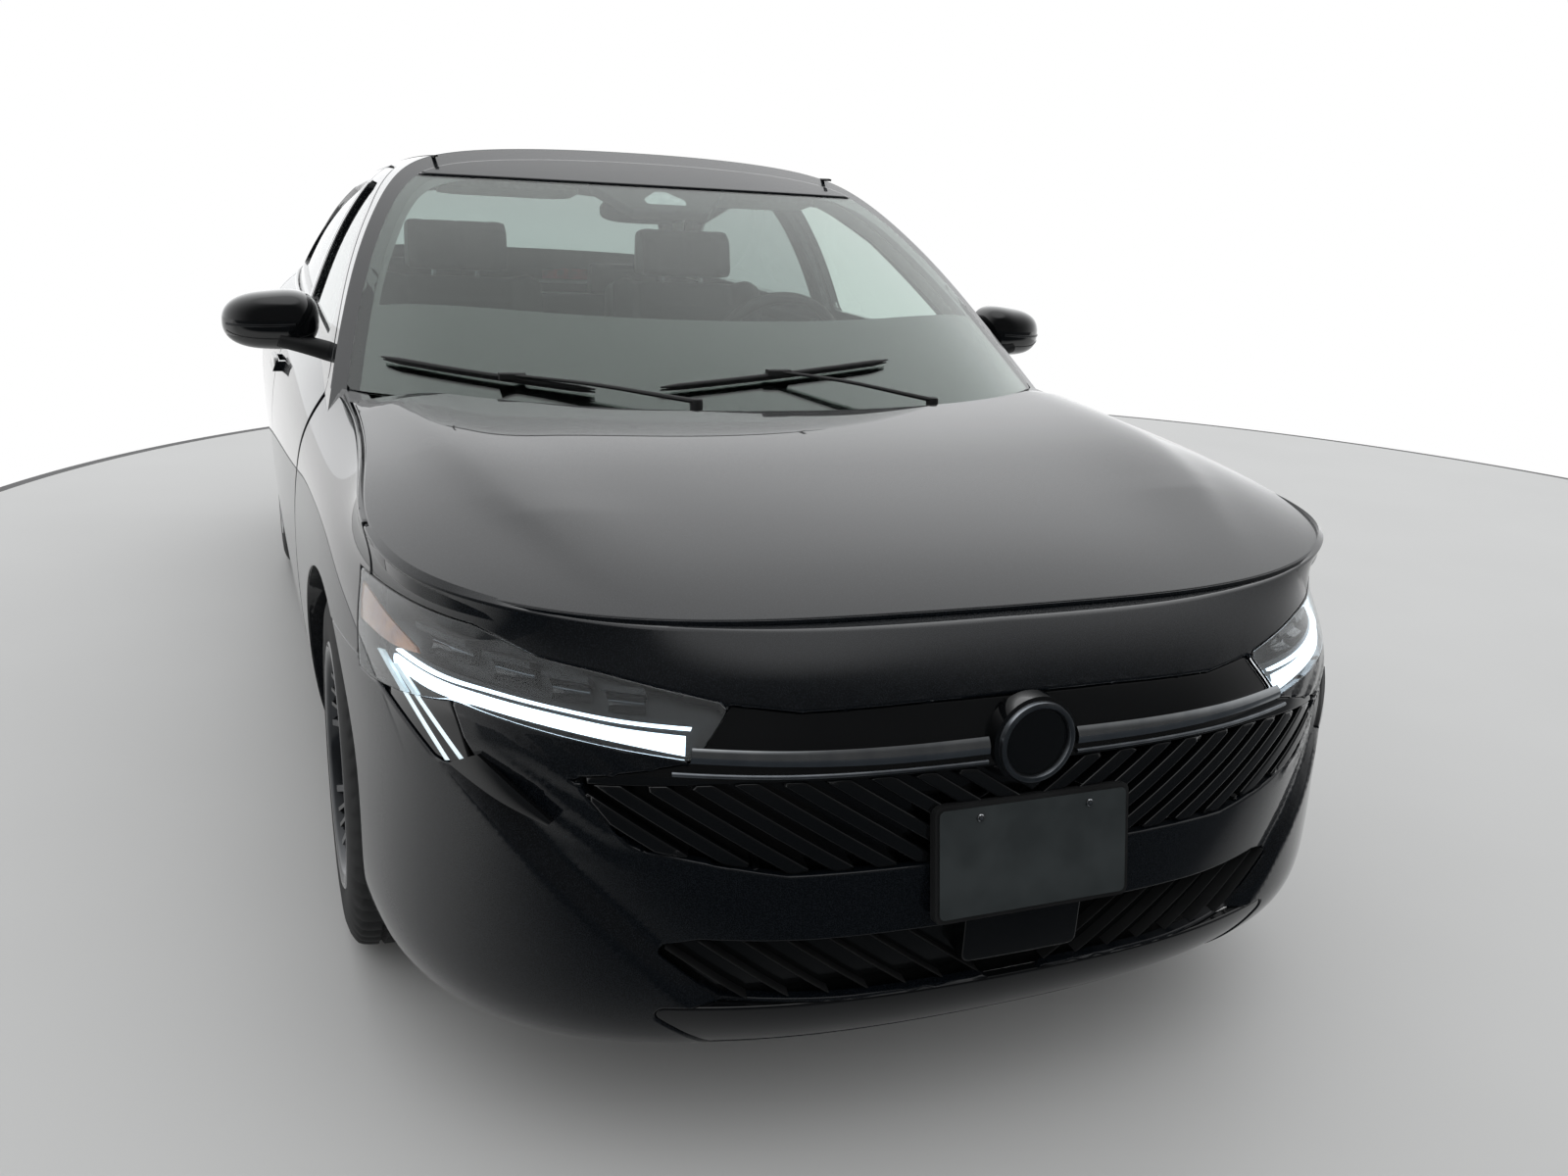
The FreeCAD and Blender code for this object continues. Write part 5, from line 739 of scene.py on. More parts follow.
# Finishes with a drift of shade and a fine grain. Each row has its key, name, colour, roughness and other
# settings, the drift's size in mm and two shades, then the grain's size in mm, strength, depth in mm and,
# where the roughness varies, its span.
METAL, CLEAR = {"Metallic": 1.0}, {"Transmission Weight": 1.0}
FINISHES = (
    # Polished black ABS: mirror-smooth, with a faint swirl of polishing
    ("piano", "polished_black_abs", "#08090A", 0.07, {"Coat Weight": 0.6, "Coat Roughness": 0.03},
     (180, "#070809", "#0B0C0D"), (60, 0.02, 0.2)),
    # Moulded grained polypropylene: dull, with a leathery grain
    ("plastic", "grained_black_polypropylene", "#141516", 0.62, {}, (90, "#121314", "#191A1B"),
     (1.6, 0.35, 0.25, (0.52, 0.7))),
    # Bright chrome plate on plastic: mirror with slight waviness of the moulding
    ("chrome", "chrome_plate", "#D6D9DC", 0.09, METAL, (40, "#CCD0D4", "#DFE2E4"), (30, 0.03, 0.1)),
    # Dark satin nickel, as on the badge ring
    ("satin", "satin_nickel_plate", "#8C9196", 0.28, METAL, (30, "#83888D", "#969BA0"), (1.5, 0.08, 0.05)),
    # Cast aluminium wheel, painted dark and lacquered
    ("alloy", "lacquered_dark_alloy", "#23262A", 0.32,
     {"Metallic": 0.75, "Coat Weight": 0.7, "Coat Roughness": 0.06},
     (60, "#1F2226", "#2A2D31"), (1.2, 0.06, 0.08)),
    # Vulcanised rubber: nearly black, dull, with dust in the pores
    ("rubber", "tyre_rubber", "#17181A", 0.78, {}, (45, "#131415", "#1E1F20"), (1.0, 0.3, 0.3, (0.7, 0.88))),
    # Cast iron brake disc, ground by the pads
    ("iron", "ground_cast_iron", "#7A7C7E", 0.38, METAL, (25, "#6E7072", "#87898B"), (0.9, 0.2, 0.06)),
    # Pressed steel under a black electrocoat
    ("steel", "black_coated_steel", "#1B1D1F", 0.5, {"Metallic": 0.2}, (120, "#17191B", "#232527"),
     (3, 0.15, 0.2, (0.42, 0.6))),
    # Sand-cast aluminium of engine and gearbox
    ("cast", "cast_aluminium", "#85888A", 0.52, {"Metallic": 0.85}, (60, "#787B7D", "#929597"),
     (2, 0.4, 0.35)),
    # Laminated windscreen glass, faintly green
    ("glass", "laminated_green_glass", "#DFEBE6", 0.0, {"IOR": 1.5, **CLEAR}, None, (400, 0.02, 0.2)),
    # Darker toughened glass behind
    ("privacy", "tinted_toughened_glass", "#A9B4B2", 0.0, {"IOR": 1.5, **CLEAR}, None, (400, 0.02, 0.2)),
    # Hard-coated lamp lens
    ("lens", "clear_polycarbonate", "#F2F6F8", 0.0, {"IOR": 1.46, **CLEAR}, None, (250, 0.02, 0.2)),
    # Blank plate behind: white enamel on pressed aluminium
    ("blank_plate", "white_enamelled_plate", "#D9DBDA", 0.35, {"Coat Weight": 0.5},
     (60, "#D3D5D4", "#DEE0DF"),
     (3, 0.05, 0.05)),
    # Blank plate in front: dark enamel on pressed aluminium
    ("dark_plate", "dark_enamelled_plate", "#2B3031", 0.42, {"Coat Weight": 0.3}, (60, "#282D2E", "#303536"),
     (3, 0.05, 0.05)),
    # Ceramic print baked on the glass edge
    ("frit", "baked_black_ceramic", "#050606", 0.25, {"Coat Weight": 0.8}, (60, "#040505", "#080909"),
     (2, 0.05, 0.05)),
    # Soft-skinned door trim
    ("vinyl", "slush_moulded_vinyl", "#26282A", 0.6, {}, (120, "#222426", "#2D2F31"),
     (1.8, 0.3, 0.3, (0.52, 0.68))),
    # Soft skin of the dashboard, grey, painted lighter to stand in for the strong light from above that falls
    # on it
    ("dash_skin_painted_lighter", "dashboard_skin_painted_lighter", "#595E5D", 0.62, {}, (120, "#545958", "#5F6463"),
     (1.8, 0.3, 0.3, (0.55, 0.7))),
    # Pale needled cloth of the headliner and pillars
    ("liner_cloth", "pale_headliner_cloth", "#D0CEC8", 0.95, {"Sheen Weight": 0.3},
     (12, "#C8C6C0", "#D8D6D0"),
     (1.0, 0.4, 0.3)),
    # Tufted floor carpet
    ("carpet", "tufted_black_carpet", "#161616", 1.0, {"Sheen Weight": 0.4}, (8, "#101010", "#202020"),
     (2.0, 0.8, 1.2)),
    # Metallised bowl and mirror glass
    ("reflector", "metallised_reflector", "#C9CCCE", 0.12, METAL, (15, "#BFC3C6", "#D4D7D9"), (8, 0.1, 0.1)),
    # Dark satin plastic of the lamp housings
    ("housing", "dark_lamp_housing", "#0D0F11", 0.3, {"Metallic": 0.3}, (20, "#0A0C0E", "#15181B"),
     (2.5, 0.15, 0.1)),
    # Hot-rolled stainless exhaust with heat tint
    ("stainless", "heat_tinted_stainless", "#7D7770", 0.35, METAL, (90, "#6B6258", "#8C8882"),
     (2, 0.15, 0.1)))


def plain_finish(name, colour, roughness, settings, drift, grit):
    m, t, s = new_material(name, {"Base Color": linear(colour), "Roughness": roughness, **settings})
    if drift:
        shade_spread(t, s, *drift)
    grain(t, s, *grit)
    return m


def enamel(base, flake):
    """Baked two-coat enamel with mica flakes: deep base, hard clear top coat."""
    m, t, s = new_material("black_mica_enamel", {
        "Base Color": linear(base), "Metallic": 0.1, "Roughness": 0.42, "Specular IOR Level": 0.12,
        "Coat Weight": 1.0, "Coat Roughness": 0.012, "Coat IOR": 1.5})
    flakes = cells(t, s, 1.1, 0.05, 0.2)
    t.links.new(two_tone(t, flakes.outputs["Color"], base, flake, (0.5, 0.95)), s.inputs["Base Color"])
    return m


def acrylic(name, dark, light):
    """Dyed acrylic of tail lamps and reflectors, with moulded prisms."""
    m, t, s = new_material(name, {
        "Base Color": linear(light), "Roughness": 0.12, "Coat Weight": 1.0, "Coat Roughness": 0.02,
        "Subsurface Weight": 0.1})
    shade_spread(t, s, 30, dark, light)
    cells(t, s, 3.0, 0.4, 0.5)
    return m


def light_guide(name, colour, power):
    """Frosted acrylic that glows, a little unevenly along its length."""
    m, t, s = new_material(name, {
        "Base Color": linear("#E9F1F4"), "Roughness": 0.3, "Emission Color": linear(colour),
        "Emission Strength": power})
    level = mapped(t, noise_of(t, 12.0, 1.0), (0, 1), (power * 0.8, power * 1.15), "LINEAR")
    t.links.new(level, s.inputs["Emission Strength"])
    return m


def hide():
    """Dyed and embossed hide with a pebble grain."""
    m, t, s = new_material("embossed_black_leather", {
        "Base Color": linear("#1E1D1D"), "Roughness": 0.5, "Sheen Weight": 0.1})
    shade_spread(t, s, 70, "#1A1919", "#272524")
    cells(t, s, 2.2, 0.35, 0.4, "DISTANCE_TO_EDGE")
    return m


def make_materials(looks):
    made = {key: plain_finish(*row) for key, *row in FINISHES}
    made["paint"] = enamel(looks.paint_code, looks.flake_code)
    made["red"] = acrylic("red_acrylic", "#5A0508", "#8C0A10")
    made["amber"] = acrylic("amber_acrylic", "#A2541E", "#C77A35")
    made["lit"] = light_guide("lit_light_guide", "#DDF0FF", 2.2)
    made["dim"] = light_guide("dim_light_guide", "#B9D2DC", 0.55)
    made["leather"] = hide()
    return made


# Helpers for pieces
def fitted(net, region, spacing, u_pair, v_pair):
    """The part of a net that a region takes up, and how many cells it needs."""
    uv, _ = grid(u_pair, v_pair, (150, 50))
    p = net.at(uv[:, 0], uv[:, 1])
    near = uv[region(p) > -0.045]
    du, dv = (u_pair[1] - u_pair[0]) / 150, (v_pair[1] - v_pair[0]) / 50
    u0, u1 = max(u_pair[0], near[:, 0].min() - du), min(u_pair[1], near[:, 0].max() + du)
    v0, v1 = max(v_pair[0], near[:, 1].min() - dv), min(v_pair[1], near[:, 1].max() + dv)
    t = np.linspace(0, 1, 60)
    along_u = max(np.linalg.norm(np.diff(net.at(u0 + (u1 - u0) * t, np.full(60, v)), axis=0), axis=1).sum()
                  for v in (v0, (v0 + v1) / 2, v1))
    along_v = max(np.linalg.norm(np.diff(net.at(np.full(60, u), v0 + (v1 - v0) * t), axis=0), axis=1).sum()
                  for u in (u0, (u0 + u1) / 2, u1))
    return (u0, u1), (v0, v1), (max(4, round(along_u / spacing)), max(3, round(along_v / spacing)))


def fitted_skin(net, region, spacing=0.012, hard=None, u_pair=(0, 1), v_pair=(0, 1), **looks):
    whole = region if hard is None else (lambda p: lowest(region(p), hard(p)))
    u_pair, v_pair, counts = fitted(net, whole, spacing, u_pair, v_pair)
    return skin(net, region, u_pair, v_pair, counts, hard=hard, **looks)


def locate(net, targets, axes, u_pair=(0, 1), v_pair=(0, 1)):
    """Surface places whose coordinates on two axes are the targets."""
    targets = np.atleast_2d(np.array(targets, float))
    uv, _ = grid(u_pair, v_pair, (120, 60))
    p = net.at(uv[:, 0], uv[:, 1])[:, axes]
    best = np.array([uv[np.argmin(np.sum((p - t) ** 2, axis=1))] for t in targets])
    for _ in range(12):
        here = net.at(best[:, 0], best[:, 1])[:, axes]
        h = 1e-4
        du = (net.at(np.minimum(best[:, 0] + h, 1), best[:, 1])[:, axes] - here) / h
        dv = (here - net.at(best[:, 0], np.maximum(best[:, 1] - h, 0))[:, axes]) / h
        miss = targets - here
        det = du[:, 0] * dv[:, 1] - du[:, 1] * dv[:, 0]
        det = np.where(np.abs(det) < 1e-9, 1e-9, det)
        step = np.stack([(miss[:, 0] * dv[:, 1] - miss[:, 1] * dv[:, 0]) / det,
                         (du[:, 0] * miss[:, 1] - du[:, 1] * miss[:, 0]) / det], 1)
        best = np.clip(best + np.clip(step, -0.02, 0.02), (u_pair[0], v_pair[0]), (u_pair[1], v_pair[1]))
    return best


def through(points, count):
    """Points spaced evenly on a smooth line through the given points."""
    points = np.array(points, float)
    if len(points) == 2:
        return points[0] + (points[1] - points[0]) * np.linspace(0, 1, count)[:, None]
    lengths = np.concatenate([[0], np.cumsum(np.linalg.norm(np.diff(points, axis=0), axis=1))])
    slopes = np.gradient(points, lengths, axis=0)
    t = np.linspace(0, lengths[-1], count)
    k = np.clip(np.searchsorted(lengths, t, side="right") - 1, 0, len(points) - 2)
    run = (lengths[k + 1] - lengths[k])[:, None]
    s = (t[:, None] - lengths[k][:, None]) / run
    return ((2 * s ** 3 - 3 * s ** 2 + 1) * points[k] + (s ** 3 - 2 * s ** 2 + s) * run * slopes[k]
            + (3 * s ** 2 - 2 * s ** 3) * points[k + 1] + (s ** 3 - s ** 2) * run * slopes[k + 1])


def ribbon(net, one, two, lift, thick, count=40, across=6, bulge=0.0, axes=(0, 2), u_pair=(0, 0.4),
           v_pair=(0, 1)):
    """A band that follows a net between two lines of places, in metres on two axes, as a closed solid."""
    a = locate(net, through(one, count), axes, u_pair, v_pair)
    b = locate(net, through(two, count), axes, u_pair, v_pair)
    s = np.linspace(0, 1, across + 1)
    uv = (a[:, None] * (1 - s)[None, :, None] + b[:, None] * s[None, :, None]).reshape(-1, 2)
    n = net.normal(uv[:, 0], uv[:, 1])
    raise_by = lift + bulge * np.tile(np.sin(np.pi * s), count)
    outer = net.at(uv[:, 0], uv[:, 1]) + n * raise_by[:, None]
    inner = net.at(uv[:, 0], uv[:, 1]) + n * (lift - thick)
    return sheet_solid(outer.reshape(count, across + 1, 3), inner.reshape(count, across + 1, 3))


def sheet_solid(outer, inner):
    """A closed solid between two grids of points, with quads."""
    rows, columns = outer.shape[:2]
    points = np.concatenate([outer.reshape(-1, 3), inner.reshape(-1, 3)])
    shift = rows * columns
    faces = []
    for i in range(rows - 1):
        for j in range(columns - 1):
            a = i * columns + j
            quad = [a, a + columns, a + columns + 1, a + 1]
            faces.append(quad)
            faces.append([k + shift for k in reversed(quad)])
    ring = ([(0, j) for j in range(columns)] + [(i, columns - 1) for i in range(1, rows)]
            + [(rows - 1, j) for j in range(columns - 2, -1, -1)] + [(i, 0) for i in range(rows - 2, 0, -1)])
    ids = [i * columns + j for i, j in ring]
    for a, b in zip(ids, ids[1:] + ids[:1]):
        faces.append([a, b, b + shift, a + shift])
    return points, faces


def solid_piece(name, parts, material, body, smooth_angle=35, bevel=0.0, both=False, slots=None):
    """One object from solids (points, faces), turned outward, smoothed, and mirrored too if both."""
    made = bmesh.new()
    for index, (points, faces) in enumerate(parts):
        for sign in ((1, -1) if both else (1,)):
            verts = [made.verts.new((p[0] * sign, p[1], p[2])) for p in points]
            for face in faces:
                corners = []
                for k in face:
                    if verts[k] not in corners:
                        corners.append(verts[k])
                if len(corners) > 2:
                    try:
                        f = made.faces.new(corners)
                    except ValueError:
                        continue
                    f.material_index = slots[index] if slots else 0
    bmesh.ops.remove_doubles(made, verts=made.verts, dist=2e-6)
    bmesh.ops.recalc_face_normals(made, faces=made.faces)
    if bevel:
        sharp = [e for e in made.edges if len(e.link_faces) == 2 and e.calc_face_angle(0) > 0.6]
        bmesh.ops.bevel(made, geom=sharp, offset=bevel, segments=2, affect="EDGES", clamp_overlap=True)
    for f in made.faces:
        f.smooth = True
    for e in made.edges:
        if len(e.link_faces) == 2 and e.calc_face_angle(0) > math.radians(smooth_angle):
            e.smooth = False
    mesh = bpy.data.meshes.new(name)
    made.to_mesh(mesh)
    made.free()
    return placed(name, mesh, material, body)


def box_part(low, high):
    x0, y0, z0 = low
    x1, y1, z1 = high
    points = [(x, y, z) for z in (z0, z1) for x, y in ((x0, y0), (x1, y0), (x1, y1), (x0, y1))]
    return points, [(3, 2, 1, 0), (4, 5, 6, 7), (0, 1, 5, 4), (1, 2, 6, 5), (2, 3, 7, 6), (3, 0, 4, 7)]


def tube_part(path, radius, sides=12, closed=False, flat=(1.0, 1.0), up=(0, 0, 1)):
    """A tube along points, its section an ellipse; radius may be a list."""
    path = np.array(path, float)
    count = len(path)
    radii = np.broadcast_to(np.asarray(radius, float), (count,))
    runs = np.roll(path, -1, 0) - np.roll(path, 1, 0) if closed else np.gradient(path, axis=0)
    points, faces = [], []
    for p, run, r in zip(path, runs, radii):
        run = run / np.linalg.norm(run)
        side = np.cross(run, up)
        if np.linalg.norm(side) < 1e-3:
            side = np.cross(run, (1, 0, 0))
        side = side / np.linalg.norm(side)
        lifted = np.cross(side, run)
        for k in range(sides):
            a = 2 * math.pi * k / sides
            points.append(p + side * math.cos(a) * r * flat[0] + lifted * math.sin(a) * r * flat[1])
    for i in range(count if closed else count - 1):
        n = (i + 1) % count
        for k in range(sides):
            m = (k + 1) % sides
            faces.append((i * sides + k, i * sides + m, n * sides + m, n * sides + k))
    if not closed:
        faces.append(tuple(range(sides - 1, -1, -1)))
        faces.append(tuple((count - 1) * sides + k for k in range(sides)))
    return points, faces


def ring_faces(sides, count):
    """Faces of a closed profile turned all the way round."""
    faces = []
    for k in range(sides):
        n = (k + 1) % sides
        for i in range(count):
            j = (i + 1) % count
            faces.append((k * count + i, k * count + j, n * count + j, n * count + i))
    return faces


def turned_part(profile, centre, axis=0, sides=64, sign=1):
    """A closed profile (along, radius) turned about an axis through centre."""
    points = []
    for k in range(sides):
        a = 2 * math.pi * k / sides
        for x, r in profile:
            p = [0.0, 0.0, 0.0]
            p[axis] = x * sign
            p[(axis + 1) % 3] = r * math.cos(a)
            p[(axis + 2) % 3] = r * math.sin(a)
            points.append(tuple(c + q for c, q in zip(centre, p)))
    return points, ring_faces(sides, len(profile))


def prism_part(outline_points, low, high, axis=0):
    """A flat outline (points on the other two axes) swept along one axis."""
    others = [k for k in range(3) if k != axis]
    points = []
    for level in (low, high):
        for a, b in outline_points:
            p = [0.0, 0.0, 0.0]
            p[axis], p[others[0]], p[others[1]] = level, a, b
            points.append(tuple(p))
    count = len(outline_points)
    faces = [tuple(range(count)), tuple(range(2 * count - 1, count - 1, -1))]
    faces += [(i, (i + 1) % count, (i + 1) % count + count, i + count) for i in range(count)]
    return points, faces


def dress(node, material):
    """Gives a node of the frame its finish."""
    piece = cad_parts[node]
    piece.data.materials.clear()
    piece.data.materials.append(material)


# What a user would change
class SedanLooks(bpy.types.PropertyGroup):
    paint_code: bpy.props.StringProperty(name="Paint", description="Base coat as an sRGB hex value",
                                         default="#03060A")
    flake_code: bpy.props.StringProperty(name="Flake", description="Mica flake as an sRGB hex value",
                                         default="#14181D")
    skin_spacing: bpy.props.FloatProperty(
        name="Skin spacing", description="Distance between the skin's mesh points", default=0.0135,
        unit="LENGTH")
    lamp_depth: bpy.props.FloatProperty(
        name="Lamp depth", description="How far the lamp housings reach in", default=0.045, unit="LENGTH")


MATERIALS = {}
BODY = "body"


def under_bonnet(p):
    return (BONNET.over(p[:, 0], p[:, 1]) - p[:, 2]) * 0.8


# Finishes of the frame's own pieces
FRAME_FINISHES = {
    "paint": ["body_sides", "roof_panel", "hood", "trunk_lid", "front_fenders", "front_bumper", "rear_bumper",
              "front_door_left", "front_door_right", "rear_door_left", "rear_door_right"],
    "plastic": ["cowl", "wheel_liners", "number_plate", "wipers"],
    "steel": ["front_structure", "front_suspension", "rear_suspension", "drive_shafts", "fuel_tank",
              "floor_pan"],
    "cast": ["engine", "radiator", "knuckle_left", "knuckle_right"],
    "stainless": ["exhaust"],
    # The dashboard's skin colour is painted lighter to stand in for the light from above
    "dash_skin_painted_lighter": ["dashboard"],
    "vinyl": ["console", "steering_wheel"],
    "leather": ["front_seats", "rear_seat"],
    "housing": ["grille", "headlamps", "tail_lamps", "lid_lamps"],
    "satin": ["badge"],
    "piano": ["mirror_left", "mirror_right"],
    "glass": ["windshield", "rear_window", "front_glass_left", "front_glass_right", "rear_glass_left",
              "rear_glass_right"],
    "alloy": ["wheel_front_left", "wheel_front_right", "wheel_rear_left", "wheel_rear_right"],
    "rubber": ["tyre_front_left", "tyre_front_right", "tyre_rear_left", "tyre_rear_right"]}


class SEDAN_OT_materials(bpy.types.Operator):
    """Makes every finish of the car and puts them on the pieces that keep the frame's own shape"""
    bl_idname = "sedan.materials"
    bl_label = "Finishes"

    def execute(self, context):
        MATERIALS.update(make_materials(context.scene.sedan_looks))
        for key, nodes in FRAME_FINISHES.items():
            for node in nodes:
                dress(node, MATERIALS[key])
        return {"FINISHED"}


SHOULDER_SHARES = [(.20, .52), (.35, .60), (.60, .69), (.85, .745), (1.12, .80)]


def bonnet_shoulders(p):
    """Soft crests that run forward over the bonnet from the foot of each pillar."""
    stations, places = np.array(SHOULDER_SHARES).T
    crest = np.interp(p[:, 1], [along(s) for s in stations], places * HALF)
    away = np.abs(p[:, 0]) - crest
    ends = np.clip((p[:, 1] - along(.22)) / .28, 0, 1) * np.clip((along(1.12) - p[:, 1]) / .10, 0, 1)
    return .0085 * np.where(away > 0, np.exp(-(away / .050) ** 2), np.exp(-(away / .120) ** 2)) * ends ** 1.5


class SEDAN_OT_skin(bpy.types.Operator):
    """Lays the painted skin over the body, the doors, the bonnet and the boot lid"""
    bl_idname = "sedan.skin"
    bl_label = "Painted skin"

    def execute(self, context):
        paint = MATERIALS["paint"]
        spacing = context.scene.sedan_looks.skin_spacing

        def wrap(region, **looks):
            return fitted_skin(WRAP, region, spacing, **looks)

        def cabin(region, **looks):
            return fitted_skin(CABIN, region, spacing, u_pair=(0.5, 1), **looks)

        arches = {1: arch_out(1, ARCH), 2: arch_out(2, ARCH)}
        lid_out = lambda p: -lid_region(p) - PANEL_GAP
        fender = wrap(lambda p: lowest(
            IN_FENDER(p), arches[1](p), -headlamp_region(p), under_bonnet(p) - 0.0002))
        layer_piece("fender_skins", paired(fender), paint, BODY)

        rear = wrap(lambda p: lowest(IN_REAR_BUMPER(p), arches[2](p), lid_out(p), -tail_region(p)),
                    u_pair=(0.55, 1))
        layer_piece("rear_bumper_skin", paired(rear), paint, BODY)

        for name, inside, pane in (("front", IN_FRONT_DOOR, IN_FRONT_PANE),
                                   ("rear", IN_REAR_DOOR, IN_REAR_PANE)):
            low = wrap(inside, u_pair=(0.3, 0.75))
            high = cabin(lambda p: lowest(inside(p), -pane(p)), hard=above_waist)
            whole = joined(low, high)
            layer_piece(name + "_door_skin_left", whole, paint, name + "_door_left")
            layer_piece(name + "_door_skin_right", reflect(whole), paint, name + "_door_right")

        quarter = wrap(lambda p: lowest(
            IN_BODY_SIDE(p), outside_doors(p), arches[2](p), lid_out(p), -tail_region(p)), u_pair=(0.3, 1))
        side = cabin(lambda p: lowest(outside_doors(p), p[:, 0] - ROOF_SIDE_SHARE * HALF - SEAT_GAP,
                                      BEHIND_WINDSCREEN(p) - 0.0005, AHEAD_OF_BACK(p) - 0.0005),
                     hard=above_waist)
        deck_side = fitted_skin(
            DECK, lambda p: lowest(lid_out(p), p[:, 0] - 0.4), spacing,
            hard=lambda p: lowest(IN_WAIST(p), -AHEAD_OF_BACK(p) - 0.002), u_pair=(0.5, 1))
        whole = joined(quarter, side, deck_side)
        layer_piece("body_side_skins", paired(whole), paint, BODY)

        roof = fitted_skin(CABIN, lambda p: lowest(ROOF_SIDE_SHARE * HALF - np.abs(p[:, 0]),
                                                   BEHIND_WINDSCREEN(p) - 0.0005,
                                                   AHEAD_OF_BACK(p) - 0.0005), spacing,
                           hard=lambda p: p[:, 2] - 0.7 * HIGH)
        layer_piece("roof_skin", roof, paint, BODY)

        hood = fitted_skin(BONNET, lambda p: lowest(IN_WAIST(p) - 0.0075, IN_BONNET(p)), spacing,
                           carve=bonnet_shoulders)
        layer_piece("bonnet_skin", hood, paint, "hood")

        lid_top = fitted_skin(DECK, IN_LID_PLAN, spacing, hard=lambda p: lowest(IN_WAIST(p), IN_LID_BACK(p)))
        lid_face = wrap(lambda p: lowest(IN_LID_BACK(p), -tail_region(p)), u_pair=(0.75, 1))
        layer_piece("boot_lid_skin", joined(lid_top, lid_face, reflect(lid_face)), paint, "trunk_lid")
        return {"FINISHED"}


class SEDAN_OT_glass(bpy.types.Operator):
    """Makes the screens and door panes with their black printed edges"""
    bl_idname = "sedan.glass"
    bl_label = "Glass"

    def execute(self, context):
        glass, dark, frit = MATERIALS["glass"], MATERIALS["privacy"], MATERIALS["frit"]
        corner = lambda p: np.maximum(SCREEN_CORNER[0] - np.abs(p[:, 0]), p[:, 2] - SCREEN_CORNER[1])
        front = lambda p: lowest(UNDER_FRAME(p) - SEAT_GAP,
                                 p[:, 2] - BONNET.over(p[:, 0], p[:, 1]) + LID + 2 * PANEL_GAP,
                                 corner(p), SCREEN_HALF - np.abs(p[:, 0]))
        back = lambda p: lowest(UNDER_FRAME(p) - SEAT_GAP, p[:, 2] - DECK.over(p[:, 0], p[:, 1]) + LID)
        clear = dict(lift=0.0, roll=0.0, thick=GLASS)
        print_low = dict(lift=-GLASS - 0.0006, roll=0.0, thick=0.0004)

        layer_piece("windscreen_pane", fitted_skin(WINDSCREEN, front, 0.026, **clear), glass, BODY)
        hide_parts("windshield")
        edge = lambda p: lowest(front(p), 0.034 - lowest(
            UNDER_FRAME(p), p[:, 2] * 0.5 - 0.5 * BONNET.over(p[:, 0], p[:, 1]) - 0.0285))
        layer_piece("windscreen_print", fitted_skin(WINDSCREEN, edge, 0.018, **print_low), frit, BODY)

        header = lambda p: lowest(front(p), p[:, 2] - HEADER_SHARE * HIGH)
        header_layer = fitted_skin(WINDSCREEN, header, 0.012, lift=0.0035, thick=0.003, roll=0.002)
        layer_piece("roof_header", header_layer, MATERIALS["paint"], BODY)

        layer_piece("back_window_pane", fitted_skin(BACK_WINDOW, back, 0.02, flip=True, **clear), dark, BODY)
        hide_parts("rear_window")
        edge = lambda p: lowest(back(p), 0.03 - lowest(
            UNDER_FRAME(p), p[:, 2] * 0.6 - 0.6 * DECK.over(p[:, 0], p[:, 1])))
        layer_piece("back_window_print", fitted_skin(BACK_WINDOW, edge, 0.018, flip=True, **print_low),
                    frit, BODY)

        for name, inside in (("front", IN_FRONT_PANE), ("rear", IN_REAR_PANE)):
            pane = fitted_skin(CABIN_PANE, lambda p: inside(p) - SEAT_GAP, 0.02, u_pair=(0.5, 1), **clear)
            for side, layer in (("left", pane), ("right", reflect(pane))):
                piece = layer_piece(name + "_pane_" + side, layer, glass if name == "front" else dark,
                                    name + "_door_" + side)
                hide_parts(name + "_glass_" + side)
        return {"FINISHED"}


def front_place(points):
    return [(a * HALF, h * HIGH) for a, h in points]


CREASE = rounded_line([(a * HALF, h * HIGH, 0) for a, h in
                       [(.875, .425), (.851, .396), (.720, .309), (.611, .244), (.50, .170)]], 2)


def crease_side(p):
    """Distance to the bumper's slanting crease, positive towards the middle."""
    q = p[:, (0, 2)]
    best, sign = np.full(len(q), np.inf), np.ones(len(q))
    for a, b in zip(CREASE, CREASE[1:]):
        run = b - a
        w = q - a
        t = np.clip((w @ run) / (run @ run), 0, 1)
        d = np.linalg.norm(w - t[:, None] * run, axis=1)
        cross = run[0] * w[:, 1] - run[1] * w[:, 0]
        near = d < best
        best = np.where(near, d, best)
        sign = np.where(near, np.sign(-cross), sign)
    return best * sign


FACET_DEEP, LOUVRE_DEEP = 0.017, 0.0045
GRILLE_PITCH, GRILLE_BAR, GRILLE_LEAN, GRILLE_START = 0.062, 0.036, 1.55, 0.01
INTAKE_PITCH, INTAKE_LEAN = 0.058, 1.35


def bumper_carve(p):
    """The facet that falls in from the slanting crease, and louvres that run out of the upper grille."""
    d = crease_side(p)
    reach = np.clip(d / 0.028, 0, 1)
    fade = 1 - np.clip((d - 0.028) / 0.17, 0, 1)
    window = np.clip((0.43 * HIGH - p[:, 2]) / 0.05, 0, 1) * np.clip((p[:, 2] - 0.15 * HIGH) / 0.05, 0, 1)
    facet = FACET_DEEP * reach * fade ** 1.5 * window * (d > 0)
    step = np.mod(np.abs(p[:, 0]) - GRILLE_LEAN * p[:, 2] - GRILLE_START, GRILLE_PITCH) / GRILLE_PITCH
    edge = np.minimum(step / 0.85, (1 - step) / 0.15)
    near = np.clip(1 + IN_GRILLE(p) / 0.120, 0, 1) * np.clip((p[:, 2] - 0.335 * HIGH) / 0.02, 0, 1)
    return -facet - LOUVRE_DEEP * edge * near * (d > 0.01)


